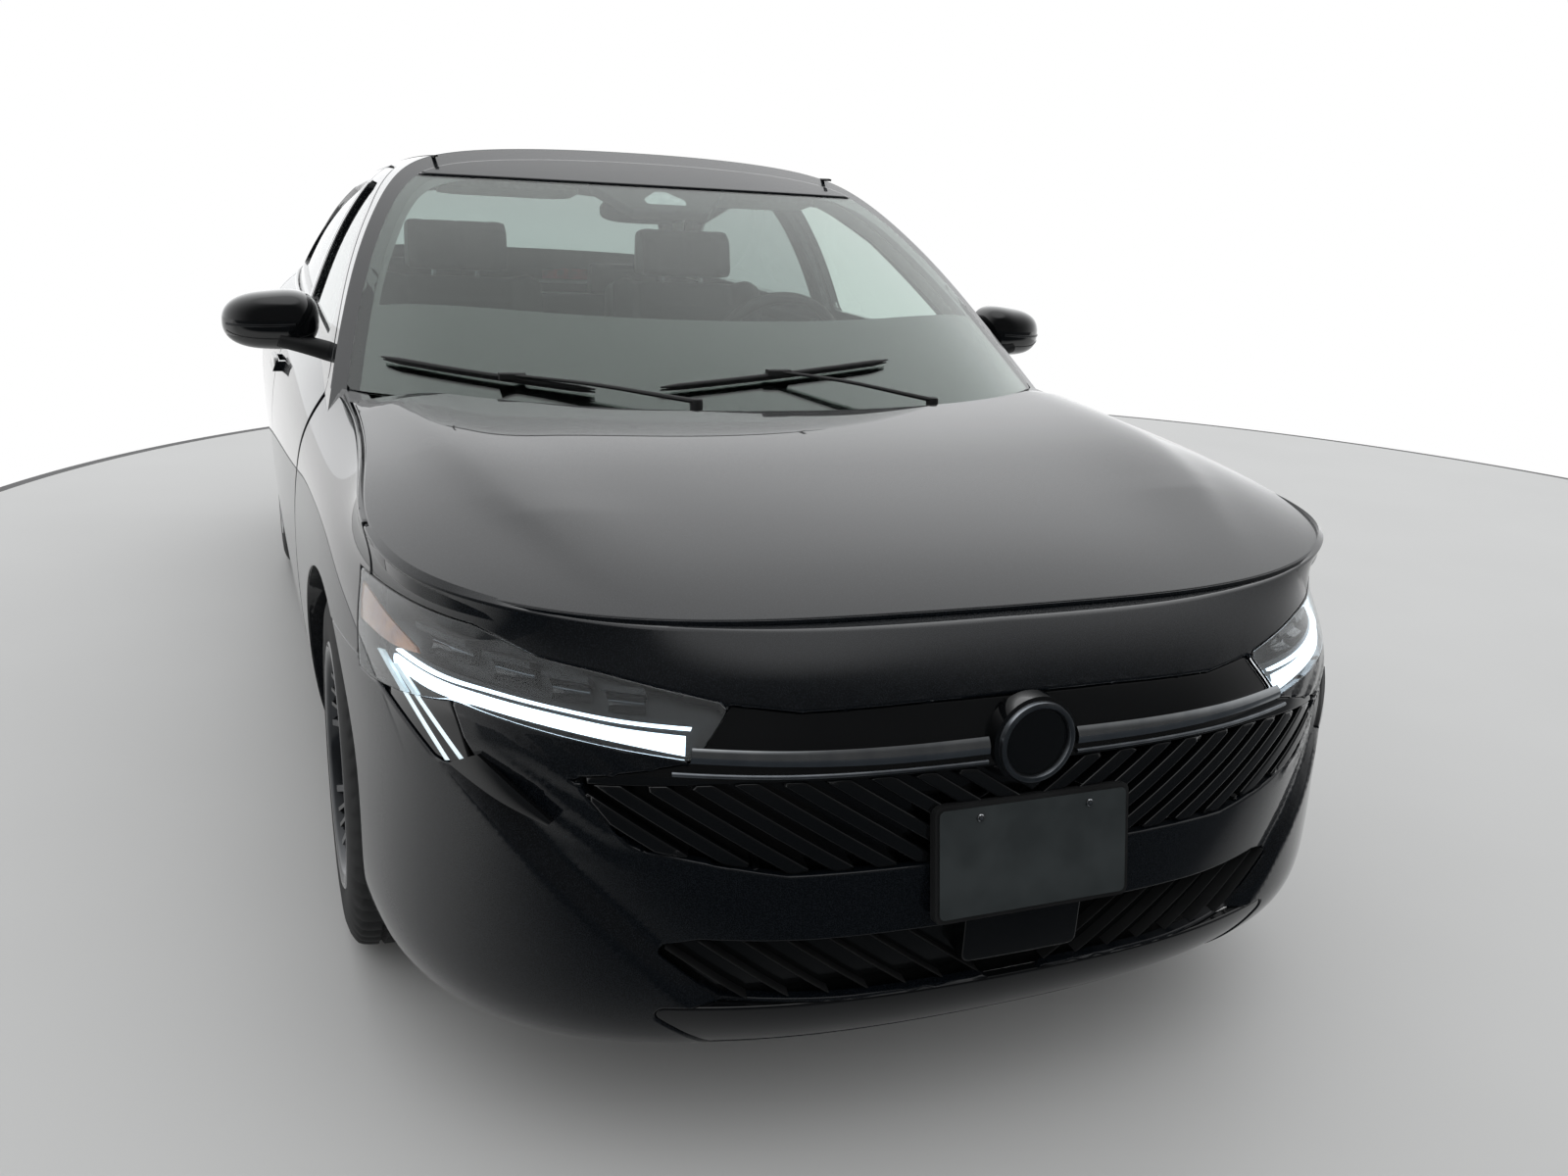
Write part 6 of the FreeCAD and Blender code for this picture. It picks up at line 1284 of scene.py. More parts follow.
BAND_SHARES = [
    (-.470, .4835, .1), (-.367, .4765, .5), (-.165, .4790, 1), (.165, .4790, 1), (.367, .4765, .5),
    (.470, .4835, .1), (.534, .4350, .1), (.700, .4120, .1), (.690, .4085, .1), (.460, .4165, .1),
    (-.460, .4165, .1), (-.690, .4085, .1), (-.700, .4120, .1), (-.534, .4350, .1)]
IN_BAND = outline(BAND_SHARES, "front")
BLADE_SHARES = [
    (.940, .4440, .1), (.925, .4440, .1), (.860, .4000, .3), (.812, .3990, .3), (.838, .4625, .1),
    (.94, .4500, .1)]
IN_BLADE = outline(BLADE_SHARES, "front")
RADAR_SHARES = [(-.105, .214, .3), (-.105, .272, .3), (.105, .272, .3), (.105, .214, .3)]
IN_RADAR = outline(RADAR_SHARES, "front")
LIP_SHARES = [(-.60, .1865, .3), (.60, .1865, .3), (.47, .120, .3), (-.47, .120, .3)]
IN_LIP = outline(LIP_SHARES, "front")


def intake_bars(pitch, lean):
    """Thin bars that slant down towards the middle, as far as the lower opening reaches."""
    parts = []
    for k in range(16):
        height = np.linspace(0.10, 0.30, 101) * HIGH
        across = lean * height + pitch * (k - 5.5)
        p = np.stack([across, 0 * height, height], 1)
        met = height[(lowest(IN_INTAKE(p) - 0.001, -IN_RADAR(p) - 0.004, across - 0.01)) > 0]
        if len(met) > 8:
            line = [(lean * h + pitch * (k - 5.5), h) for h in np.linspace(met[0], met[-1], 4)]
            parts.append(ribbon(WRAP, [(x - 0.0017, h) for x, h in line], [(x + 0.0017, h) for x, h in line],
                                -0.012, 0.018, 14, 2, 0.0008))
    return parts


def slanted(pitch, bar, lean, start=0.0):
    """Bars across the front that slant down towards the middle: positive inside a bar."""
    def distance(p):
        run = np.abs(p[:, 0]) - lean * p[:, 2] - start
        place = np.mod(run, pitch)
        return (bar / 2 - np.abs(place - pitch / 2)) / math.hypot(1, lean)
    return distance


def front_skin(region, step=0.010, **looks):
    """A layer on the car's face, on both sides."""
    return paired(fitted_skin(WRAP, region, step, u_pair=(0, 0.42), **looks))


def tail_skin(region, **looks):
    """A layer on the car's tail, on both sides."""
    return paired(fitted_skin(WRAP, region, 0.010, u_pair=(0.75, 1), **looks))


def front_ribbon(name, low, top, lift, thick, key, count=50, across=5, bulge=0.0015):
    """A band on the car's face between two lines of front places, on both sides."""
    parts = [ribbon(WRAP, front_place(low), front_place(top), lift, thick, count, across, bulge)]
    solid_piece(name, parts, MATERIALS[key], BODY, both=True)


class SEDAN_OT_front(bpy.types.Operator):
    """Makes the front bumper's skin, the black band and bright strip, both grilles, badge and plate holder"""
    bl_idname = "sedan.front"
    bl_label = "Front"

    def execute(self, context):
        paint, piano, plastic = MATERIALS["paint"], MATERIALS["piano"], MATERIALS["plastic"]
        arch = arch_out(1, ARCH)

        bumper = front_skin(lambda p: lowest(
            IN_BUMPER(p), arch(p), -headlamp_region(p), -IN_GRILLE(p), -IN_INTAKE(p), -IN_BAND(p),
            -IN_BLADE(p) - 0.001, -IN_LIP(p), under_bonnet(p) - 0.0002),
            carve=bumper_carve, thick=0.012, lift=0.0)
        piece = layer_piece("front_bumper_skin", bumper, paint, BODY)
        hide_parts("front_bumper")

        band = front_skin(lambda p: IN_BAND(p) - 0.0006, lift=-0.007, thick=0.006, roll=0.002)
        layer_piece("black_band", band, piano, BODY)
        lip = front_skin(lambda p: lowest(IN_LIP(p) - 0.0006, -IN_INTAKE(p)), lift=-0.002, thick=0.010)
        layer_piece("front_lip", lip, piano, BODY)
        fin = front_skin(lambda p: lowest(IN_BLADE(p) - 0.0015, -headlamp_region(p) - 0.0006), lift=-0.004,
                         thick=0.006, roll=0.002)
        layer_piece("blade_surrounds", fin, piano, BODY)

        strip_low = [(.079, .4290), (.25, .4290), (.40, .4315), (.5345, .4350)]
        strip_top = [(.079, .4445), (.25, .4440), (.40, .4450), (.5300, .4480)]
        front_ribbon("bright_strip", strip_low, strip_top, 0.0015, 0.008, "chrome", 60, 6, 0.003)
        line_low = [(.080, .4195), (.25, .4195), (.40, .4200), (.56, .4225)]
        line_top = [(.080, .4235), (.25, .4235), (.40, .4240), (.56, .4265)]
        front_ribbon("lower_line", line_low, line_top, -0.0035, 0.004, "satin", 60, 4, 0.002)

        bars = slanted(GRILLE_PITCH, GRILLE_BAR, GRILLE_LEAN, GRILLE_START)
        face = front_skin(lambda p: lowest(IN_GRILLE(p) - 0.0006, bars(p)), 0.008, lift=-0.006,
                          flange=0.026, roll=0.003)
        back = front_skin(lambda p: IN_GRILLE(p) + 0.014, 0.02, lift=-0.034, thick=0.004, roll=0.0)
        piece = layer_piece("upper_grille", joined(face, back), piano, BODY)
        low_back = front_skin(lambda p: IN_INTAKE(p) + 0.024, 0.02, lift=-0.030, thick=0.004, roll=0.0)
        low = layer_piece("lower_grille", low_back, MATERIALS["frit"], BODY)
        solid_piece("lower_grille_bars", intake_bars(INTAKE_PITCH, INTAKE_LEAN), plastic, BODY, both=True)
        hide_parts("grille")
        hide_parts("grille")
        radar = front_skin(IN_RADAR, 0.008, lift=0.004, thick=0.03, roll=0.0036)
        layer_piece("sensor_cover", radar, piano, BODY)

        nose = WRAP.at(np.zeros(1), locate(WRAP, [(0, .437 * HIGH)], (0, 2), (0, 0))[:, 1])[0]
        disc = [(0.030, 0.0), (-0.0015, 0.0), (-0.003, 0.030), (-0.002, 0.052), (0.002, 0.0655),
                (0.030, 0.0655)]
        ring = [(0.006, 0.050), (-0.004, 0.0495), (-0.0085, 0.0520), (-0.0090, 0.0555), (-0.0075, 0.0590),
                (0.006, 0.0605)]
        middle = (0, nose[1] - 0.006, nose[2])
        solid_piece("badge_disc", [turned_part(disc, middle, 1)], piano, BODY, 50)
        badge = solid_piece("badge_ring", [turned_part(ring, middle, 1)], MATERIALS["satin"], BODY, 50)
        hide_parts("badge")

        plate_piece()
        return {"FINISHED"}


def plate_piece():
    """The leaning holder with a rim, a blank plate and two screws."""
    lean = math.radians(9.6)
    wide, tall = 0.318, 0.168

    def turned(points):
        out = []
        for x, y, z in points:
            out.append((x, y * math.cos(lean) + z * math.sin(lean), z * math.cos(lean) - y * math.sin(lean)))
        shift = (0, along(0) - 0.024, 0.392)
        return [(x + shift[0], y + shift[1], z + shift[2]) for x, y, z in out]

    def rounded(w, h, r, z0=0.0):
        line = rounded_line([(-w / 2, z0, r), (w / 2, z0, r), (w / 2, z0 + h, r), (-w / 2, z0 + h, r)], 6)
        return [tuple(q) for q in line]
    parts, kinds = [], []
    for outline_points, y0, y1, kind in (
            (rounded(wide, tall, 0.012), 0.0, 0.014, 0),
            (rounded(wide - 0.012, tall - 0.012, 0.009, 0.006), -0.0022, 0.0, 1)):
        points, faces = prism_part(outline_points, y0, y1, 1)
        parts.append((turned(points), faces))
        kinds.append(kind)
    points, faces = box_part((-0.07, 0.012, 0.05), (0.07, 0.055, 0.12))
    parts.append((turned(points), faces))
    kinds.append(0)
    screw_line = [(-0.0062, 0.0), (-0.0058, 0.0035), (-0.0035, 0.006), (0.004, 0.006), (0.004, 0.0)]
    for x in (-0.089, 0.089):
        screw = turned_part(screw_line, (x, 0, tall - 0.022), 1, 20)
        parts.append((turned(screw[0]), screw[1]))
        kinds.append(2)
    finishes = [MATERIALS[key] for key in ("plastic", "dark_plate", "chrome")]
    piece = solid_piece("plate_holder", parts, finishes, BODY, 30, 0.0008, slots=kinds)
    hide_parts("number_plate")


# Bands of a head lamp: lower line, upper line, lift, thickness and finish, then counts and bulge if set
LAMP_BANDS = {
    "light_guide_low": (
        [(.905, .4655), (.868, .4605), (.80, .4600), (.716, .4560), (.62, .4485), (.541, .4405)],
        [(.905, .4755), (.866, .4720), (.80, .4710), (.716, .4680), (.62, .4620), (.5375, .4580)],
        -0.009, 0.012, "lit"),
    "light_guide_top": (
        [(.900, .4800), (.864, .4755), (.79, .4745), (.716, .4715), (.62, .4660), (.530, .4625)],
        [(.899, .4825), (.862, .4785), (.79, .4775), (.716, .4745), (.62, .4690), (.5275, .4655)],
        -0.007, 0.008, "lit"),
    "guide_carrier": (
        [(.915, .4600), (.868, .4570), (.80, .4570), (.716, .4535), (.62, .4460), (.538, .4380)],
        [(.912, .4880), (.862, .4830), (.79, .4815), (.716, .4785), (.62, .4740), (.505, .4720)],
        -0.016, 0.006, "housing", 50, 8),
    "amber_reflector": (
        [(.872, .4880), (.905, .4840), (.9380, .4860)], [(.874, .4925), (.905, .5060), (.9360, .5240)],
        -0.006, 0.004, "amber", 24, 6, 0.001)}
LAMP_MODULES = ((.845, .499), (.765, .494), (.690, .488), (.615, .483))
MODULE_WIDE, MODULE_TALL = .026, .0075
LIGHT_BLADES = (((.9180, .4735), (.8460, .4020)), ((.9010, .4700), (.8235, .4040)))
BLADE_HALF = .0030
FIN_LOW = [(.842, .4005), (.780, .3790), (.722, .3655)]
FIN_TOP = [(.806, .4180), (.765, .3960), (.716, .3700)]


def lamp_module(number, across, height):
    """A projector's dark opening and the visor over it."""
    left, right, top = across - MODULE_WIDE, across + MODULE_WIDE, height + MODULE_TALL
    front_ribbon("lamp_module_%d" % number,
                 [(left, height - MODULE_TALL + .0015), (right, height - MODULE_TALL)],
                 [(left, top), (right, top + .0015)], -0.022, 0.02, "piano", 14, 6, -0.010)
    front_ribbon("lamp_visor_%d" % number, [(left - .004, top), (right + .004, top + .002)],
                 [(left - .004, top + .0055), (right + .004, top + .0065)],
                 -0.010, 0.032, "housing", 10, 2, 0)


class SEDAN_OT_lamps(bpy.types.Operator):
    """Makes the head lamps and tail lamps: lenses, housings, light guides, reflectors"""
    bl_idname = "sedan.lamps"
    bl_label = "Lamps"

    def execute(self, context):
        depth = context.scene.sedan_looks.lamp_depth
        inside = lambda p: lowest(headlamp_region(p) - SEAT_GAP, under_bonnet(p) - 0.002)
        lens = front_skin(inside, lift=0.0005, thick=0.003, roll=0.002)
        piece = layer_piece("headlamp_lenses", lens, MATERIALS["lens"], BODY)
        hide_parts("headlamps")
        bowl = front_skin(inside, lift=-depth, flange=-(depth - 0.005), roll=0.0)
        layer_piece("headlamp_housings", bowl, MATERIALS["housing"], BODY)

        for name, band in LAMP_BANDS.items():
            front_ribbon(name, *band)
        for k, (across, height) in enumerate(LAMP_MODULES):
            lamp_module(k + 1, across, height)
        for k, (top, foot) in enumerate(LIGHT_BLADES):
            front_ribbon("light_blade_%d" % (k + 1),
                         [(top[0] - BLADE_HALF, top[1]), (foot[0] - BLADE_HALF, foot[1])],
                         [(top[0] + BLADE_HALF, top[1] - .002), (foot[0] + BLADE_HALF, foot[1] - .002)],
                         -0.0040, 0.005, "dim", 30, 3, 0.001)
        front_ribbon("corner_fins", FIN_LOW, FIN_TOP, .0012, .008, "piano", 30, 5, .001)

        back = lambda p: tail_region(p) - SEAT_GAP
        on_side = lambda p: lowest(back(p), -lid_region(p) - PANEL_GAP)
        on_lid = lambda p: lowest(back(p), lid_region(p))
        for name, region, body, node in (("tail_lenses", on_side, BODY, "tail_lamps"),
                                         ("lid_lenses", on_lid, "trunk_lid", "lid_lamps")):
            piece = layer_piece(name, tail_skin(region, lift=0.002, thick=0.010), MATERIALS["red"], body)
            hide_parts(node)
        return {"FINISHED"}


SIDES = (("left", 1), ("right", -1))


def oval(count, power=2.0):
    """The two places of each point round a rounded rectangle of half-size one."""
    a = np.linspace(0, 2 * math.pi, count, endpoint=False)
    c, s = np.cos(a), np.sin(a)
    return np.sign(c) * np.abs(c) ** (2 / power), np.sign(s) * np.abs(s) ** (2 / power)


def loft_part(rings):
    """A closed solid through rings of points."""
    rings = np.array(rings, float)
    rows, count = rings.shape[:2]
    faces = [(i + k, i + (k + 1) % count, i + count + (k + 1) % count, i + count + k)
             for i in range(0, (rows - 1) * count, count) for k in range(count)]
    faces += [tuple(range(count - 1, -1, -1)), tuple((rows - 1) * count + k for k in range(count))]
    return rings.reshape(-1, 3), faces


def slab_part(centre, half, power=4.0, turn=0.0, rows=9, count=28):
    """A slab with rounded edges, tipped about X: half its size along each axis, thinnest along Y."""
    u, v = oval(count, power)
    rings = []
    for t in np.linspace(-1, 1, rows):
        full = (1 - abs(t) ** 5) ** 0.3
        x, z = u * half[0] * (0.93 + 0.07 * full), v * half[2] * (0.9 + 0.1 * full)
        y = np.full(count, t * half[1])
        rings.append(np.stack([centre[0] + x, centre[1] + y * math.cos(turn) - z * math.sin(turn),
                               centre[2] + z * math.cos(turn) + y * math.sin(turn)], 1))
    return loft_part(rings)


def mirror_parts(sign):
    """Housing, glass, foot, seam and turn lamp of a door mirror."""
    u, v = oval(40, 2.7)
    rings, seam, lamp = [], [], []
    for t in (1 - np.cos(np.linspace(0, math.pi, 30))) / 2:
        full = max(0.0, 1 - abs(2 * t - 1) ** 3.0) ** 0.42
        x, back, z = .824 + .200 * t, -.600 + .006 * t, 1.046 - .010 * t
        deep, high = .098 * (1 - .40 * t * t) * full, (.070 - .014 * t) * full
        y = back - np.where(u > 0, u * deep, u * .010 * full)
        rings.append(np.stack([np.full(40, x), y, z + v * high], 1))
        if .06 < t < .97:
            low = (1 - .55 ** 2.7) ** (1 / 2.7)
            seam.append((x, back - low * deep - .0002, z - .55 * high))
            if t > .25:
                lamp.append((x, back - deep - .0004, z - .10 * high))
    glass = [np.stack([.924 + .082 * u, np.full(40, y), 1.0410 + .0520 * v], 1)
             for y in (-.598, -.5885, -.5875)]
    glass[2] = glass[2] + (np.array([.924, -.5875, 1.0410]) - glass[2]) * .03
    arm = through([(.780, -.648, .968), (.822, -.650, .982), (.868, -.654, .995), (.912, -.656, 1.006)], 14)
    foot = tube_part(arm, np.linspace(.046, .036, 14), 20, flat=(1.0, .50))
    parts = [loft_part(rings), loft_part(glass), foot, tube_part(seam, .0011, 6),
             tube_part(lamp, .0030, 8, flat=(.5, 1))]
    return [([(p[0] * sign, p[1], p[2]) for p in points], faces) for points, faces in parts], [0, 2, 1, 1, 3]


def wiper_parts(pivot, ends, arm_share):
    """Arm, blade and rubber lip of a wiper lying on the windscreen."""
    places = locate(WINDSCREEN, through(ends, 26), (0, 2))
    glass, n = WINDSCREEN.at(places[:, 0], places[:, 1]), WINDSCREEN.normal(places[:, 0], places[:, 1])
    k = int(arm_share * 25)
    pivot = np.array(pivot)
    arm = through([pivot + (0, 0, .010), pivot * .82 + (glass[k] + n[k] * .02) * .18 + (0, -.004, .010),
                   pivot * .45 + glass[k] * .55 + n[k] * .022, glass[k] + n[k] * .019], 22)
    shape = np.clip(np.minimum(np.linspace(0, 9, 26), np.linspace(9, 0, 26)) + .35, 0, 1)
    blade = tube_part(glass + n * .0115, .0078 * shape, 10, flat=(1, .6))
    lip = tube_part(glass + n * .0045, .0045 * shape, 6, flat=(.3, 1))
    cap = turned_part([(-.016, 0), (-.016, .0120), (.008, .0135), (.0145, .0115), (.0160, .0060), (.0160, 0)],
                      tuple(pivot), 2, 24)
    a, b = oval(12, 4)
    held = glass[k] + n[k] * .016
    clip = loft_part([np.stack([held[0] + x + 0 * a, held[1] + .010 * a, held[2] + .007 * b], 1)
                      for x in (-.026, .026)])
    return [blade, lip, tube_part(arm, np.linspace(.0085, .0050, 22), 10, flat=(1.25, .6)), cap, clip]


def on_net(net, points, lift, axes=(1, 2), u_pair=(0.3, 0.75), v_pair=(0, 1)):
    """Places over a net, lifted off it, from places on two axes."""
    places = locate(net, points, axes, u_pair, v_pair)
    return net.at(places[:, 0], places[:, 1]) + net.normal(places[:, 0], places[:, 1]) * lift


def mirrored_part(part):
    return [(-p[0], p[1], p[2]) for p in part[0]], part[1]


def side_trim():
    """Mirrors, pillar covers, handles and waist strips."""
    cover = {}
    for name, inside, ahead in (("front", IN_FRONT_DOOR, lambda p: p[:, 1] - along(1.5890)),
                                ("rear", IN_REAR_DOOR, lambda p: along(1.6212) - p[:, 1])):
        cover[name] = fitted_skin(
            CABIN, lambda p: lowest(inside(p) - .0012, ahead(p), .926 * HIGH - p[:, 2]), .012, u_pair=(.5, 1),
            hard=above_waist, lift=.0024, roll=.0015, flange=.004)
    bars = {"front": (1.545, .600, 1.236, 1.5955), "rear": (1.880, .618, 1.6105, 2.022)}
    belt_line = WAIST_LINE[(WAIST_LINE[:, 1] > along(1.15)) & (WAIST_LINE[:, 1] < along(2.2))]
    for side, sign in SIDES:
        parts, kinds = mirror_parts(sign)
        finishes = [MATERIALS[key] for key in ("piano", "plastic", "reflector", "housing")]
        piece = solid_piece("mirror_housing_" + side, parts, finishes, "front_door_" + side, 42, slots=kinds)
        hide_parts("mirror_" + side)
        for name, (station, height, start, end) in bars.items():
            layer = cover[name] if sign > 0 else reflect(cover[name])
            layer_piece(name + "_pillar_cover_" + side, layer, MATERIALS["piano"], name + "_door_" + side)
            y = along(station) + np.linspace(-.0955, .0955, 24)
            middle = on_net(WRAP, np.stack([y, np.full(24, height * HIGH)], 1), .0190)
            shape = (1 - np.abs(np.linspace(-1, 1, 24)) ** 9) ** .4
            u, v = oval(20, 4.5)
            grip = loft_part([np.stack([m[0] + u * .0064 * max(s, .3), np.full(20, m[1]),
                                        m[2] + v * .0144 * max(s, .6)], 1)
                              for m, s in zip(middle, shape)])
            belt_y = np.linspace(along(start), along(end), 40)
            line = np.stack([np.interp(belt_y, belt_line[:, 1], belt_line[:, 0]) - .0030, belt_y,
                             np.interp(belt_y, belt_line[:, 1], belt_line[:, 2]) + .0045], 1)
            belt = tube_part(line, .0080, 12, flat=(.75, 1.0))
            for label, part, material in (("handle_", grip, MATERIALS["paint"]),
                                          ("waist_strip_", belt, MATERIALS["piano"])):
                part = part if sign > 0 else mirrored_part(part)
                solid_piece(name + "_" + label + side, [part], material, name + "_door_" + side, 50)


def wipers():
    """Both wipers, laid on the windscreen."""
    for name, pivot, ends, share in (
            ("driver", (.363, -1.262, .944), [(-.215, .962), (.06, .985), (.335, 1.008)], .5),
            ("passenger", (-.163, -1.262, .944), [(-.722, .992), (-.53, .974), (-.345, .957)], .6)):
        piece = solid_piece(name + "_wiper", wiper_parts(pivot, ends, share), MATERIALS["plastic"], BODY, 40)
        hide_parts("wipers")


# Trim on the tail: name, outline, looks, finish and body
TAIL_TRIM = (
    ("lid_band", [(-.2955, .667, .2), (.2955, .667, .2), (.2955, .698, .2), (-.2955, .698, .2)],
     dict(lift=.003, thick=.005, roll=.0025), "piano", "trunk_lid"),
    ("plate_surround", [(-.245, .541, .6), (.245, .541, .6), (.215, .657, .6), (-.215, .657, .6)],
     dict(lift=.0022, roll=.0025), "plastic", "trunk_lid"),
    ("rear_plate", [(-.168, .546, .25), (.168, .546, .25), (.168, .650, .25), (-.168, .650, .25)],
     dict(lift=.0045, thick=.0015, roll=.001), "blank_plate", "trunk_lid"),
    ("rear_valance", [(-.70, .135, .6), (.70, .135, .6), (.66, .232, 1.2), (-.66, .232, 1.2)],
     dict(lift=.0030, roll=.003, flange=.006), "plastic", BODY))
REFLECTOR_SHARES = [(.70, .262, .2), (.84, .268, .2), (.84, .284, .2), (.70, .280, .2)]
ROOF_STRIP = [(.5178, -.300), (.5178, 1.235)], [(.5266, -.300), (.5266, 1.235)]


def tail_trim():
    for name, shares, looks, key, body in TAIL_TRIM:
        layer = paired(fitted_skin(WRAP, outline(shares, "front"), .010, u_pair=(.8, 1), **looks))
        layer_piece(name, layer, MATERIALS[key], body)
    inside = outline(REFLECTOR_SHARES, "front")
    layer = fitted_skin(WRAP, lambda p: lowest(inside(p), p[:, 1] - 1.5), .008, u_pair=(.7, 1), lift=.004,
                        roll=.002)
    layer_piece("rear_reflectors", paired(layer), MATERIALS["red"], BODY)


def fuel_flap():
    """The fuel flap and the gap round it."""
    flap = outline([(2.175, .600, .9), (2.325, .600, .9), (2.325, .664, .9), (2.175, .664, .9)], "side")
    ring = fitted_skin(WRAP, lambda p: lowest(flap(p) + .0018, -flap(p) + .0003), .008, u_pair=(.6, .9),
                       lift=.0013, roll=0.0, flange=.001)
    lid = fitted_skin(WRAP, flap, .010, u_pair=(.6, .9), lift=.0016, roll=.002, flange=.002)
    layer_piece("fuel_flap_gap", ring, MATERIALS["plastic"], BODY)
    layer_piece("fuel_flap", lid, MATERIALS["paint"], BODY)


class SEDAN_OT_trim(bpy.types.Operator):
    """Makes the door mirrors, handles, wipers, waist strips, pillar covers, roof strips and tail trim"""
    bl_idname = "sedan.trim"
    bl_label = "Trim"

    def execute(self, context):
        side_trim()
        wipers()
        parts = [ribbon(CABIN, *ROOF_STRIP, .0014, .004, 60, 4, .0006, (0, 1), (.5, 1))]
        solid_piece("roof_strips", parts, MATERIALS["plastic"], BODY, both=True)
        tail_trim()
        fuel_flap()
        return {"FINISHED"}


def lining():
    """Headliner and pillar trims, 52 mm inside the outer skin."""
    inner = dict(lift=.0520, roll=0.0, flange=.004, flip=True)
    between = lambda p: lowest(BEHIND_WINDSCREEN(p) - .018, AHEAD_OF_BACK(p) - .018)
    liner = fitted_skin(CABIN, lambda p: lowest(.500 - np.abs(p[:, 0]), between(p)), .03,
                        hard=lambda p: p[:, 2] - 0.7 * HIGH, **inner)
    layer_piece("headliner", liner, MATERIALS["liner_cloth"], BODY)
    posts = fitted_skin(CABIN, lambda p: lowest(outside_doors(p), p[:, 0] - .49, between(p) + .012), .02,
                        u_pair=(.5, 1), hard=lambda p: above_waist(p) - .03, **inner)
    layer_piece("pillar_trims", paired(posts), MATERIALS["liner_cloth"], BODY)


def door_cards():
    """Door trims with arm rests."""
    for name, inside, start, end in (("front", IN_FRONT_DOOR, 1.26, 1.55),
                                     ("rear", IN_REAR_DOOR, 1.66, 1.93)):
        card = fitted_skin(WRAP, lambda p: lowest(inside(p) - .030, p[:, 2] - .21 * HIGH), .02,
                           u_pair=(.3, .75), lift=.1135, roll=0.0, flange=.004, flip=True)
        places = np.stack([np.linspace(along(start), along(end), 16), np.full(16, .455 * HIGH)], 1)
        middle = on_net(WRAP, places, -.142)
        u, v = oval(16, 3)
        rest = loft_part([np.stack([m[0] + u * .032, np.full(16, m[1]), m[2] + v * .020], 1) for m in middle])
        for side, sign in SIDES:
            layer_piece(name + "_door_card_" + side, card if sign > 0 else reflect(card),
                        MATERIALS["vinyl"], name + "_door_" + side)
            solid_piece(name + "_arm_rest_" + side, [rest if sign > 0 else mirrored_part(rest)],
                        MATERIALS["leather"], name + "_door_" + side, 50)


def carpets():
    """Carpet over the floor and tunnel, and the cloth of the shelf behind."""
    floor_low, tunnel = .2113 + .0005, .3088
    xs = np.concatenate([np.linspace(-.735, -.145, 24), np.linspace(-.14, -.125, 5),
                         np.linspace(-.12, .12, 9), np.linspace(.125, .14, 5), np.linspace(.145, .735, 24)])
    ys = np.linspace(along(1.156), along(1.797), 50)
    rise = np.clip((.1400 - np.abs(xs)) / .009, 0, 1)
    top = floor_low + .006 + (tunnel - floor_low - .002) * rise
    outer = np.stack([np.repeat(xs[:, None], 50, 1), np.repeat(ys[None], len(xs), 0),
                      np.repeat(top[:, None], 50, 1)], 2)
    low = outer - (0, 0, .0055)
    solid_piece("carpet", [sheet_solid(outer, low)], MATERIALS["carpet"], BODY, 40)
    shelf = rounded_line([(-.70, 1.45, .02), (.70, 1.45, .02), (.66, 1.26, .04), (-.66, 1.26, .04)], 5)
    cloth = prism_part([tuple(q) for q in shelf], .697 * HIGH + .0045, .697 * HIGH + .0105, 2)
    solid_piece("shelf_cloth", [cloth], MATERIALS["carpet"], BODY, 30)


def dashboard():
    """Screens, vents and pads of the dashboard, and what lies on the console."""
    details = [slab_part((.36, -.600, .965), (.170, .011, .062), 7, .30),
               slab_part((.04, -.592, .968), (.150, .011, .070), 7, .30)]
    details += [slab_part((x, -.5475, .868), (.058, .010, .024), 5, .05) for x in (-.60, -.165, .165, .61)]
    solid_piece("dash_screens", details, MATERIALS["piano"], BODY, 50)
    hoods = [slab_part((.20, -.605, .925), (.36, .034, .024), 3, .25),
             slab_part((-.42, -.552, .800), (.22, .008, .055), 6, .05)]
    solid_piece("dash_pads", hoods, MATERIALS["leather"], BODY, 50)
    lever = [tube_part(through([(0, -.19, .60), (0, -.188, .66), (0, -.180, .705)], 8),
                       [.009] * 6 + [.018, .015], 14),
             slab_part((0, -.330, .652), (.075, .110, .012), 5),
             slab_part((0, .10, .655), (.088, .150, .020), 4)]
    solid_piece("console_top", lever, MATERIALS["leather"], BODY, 50)


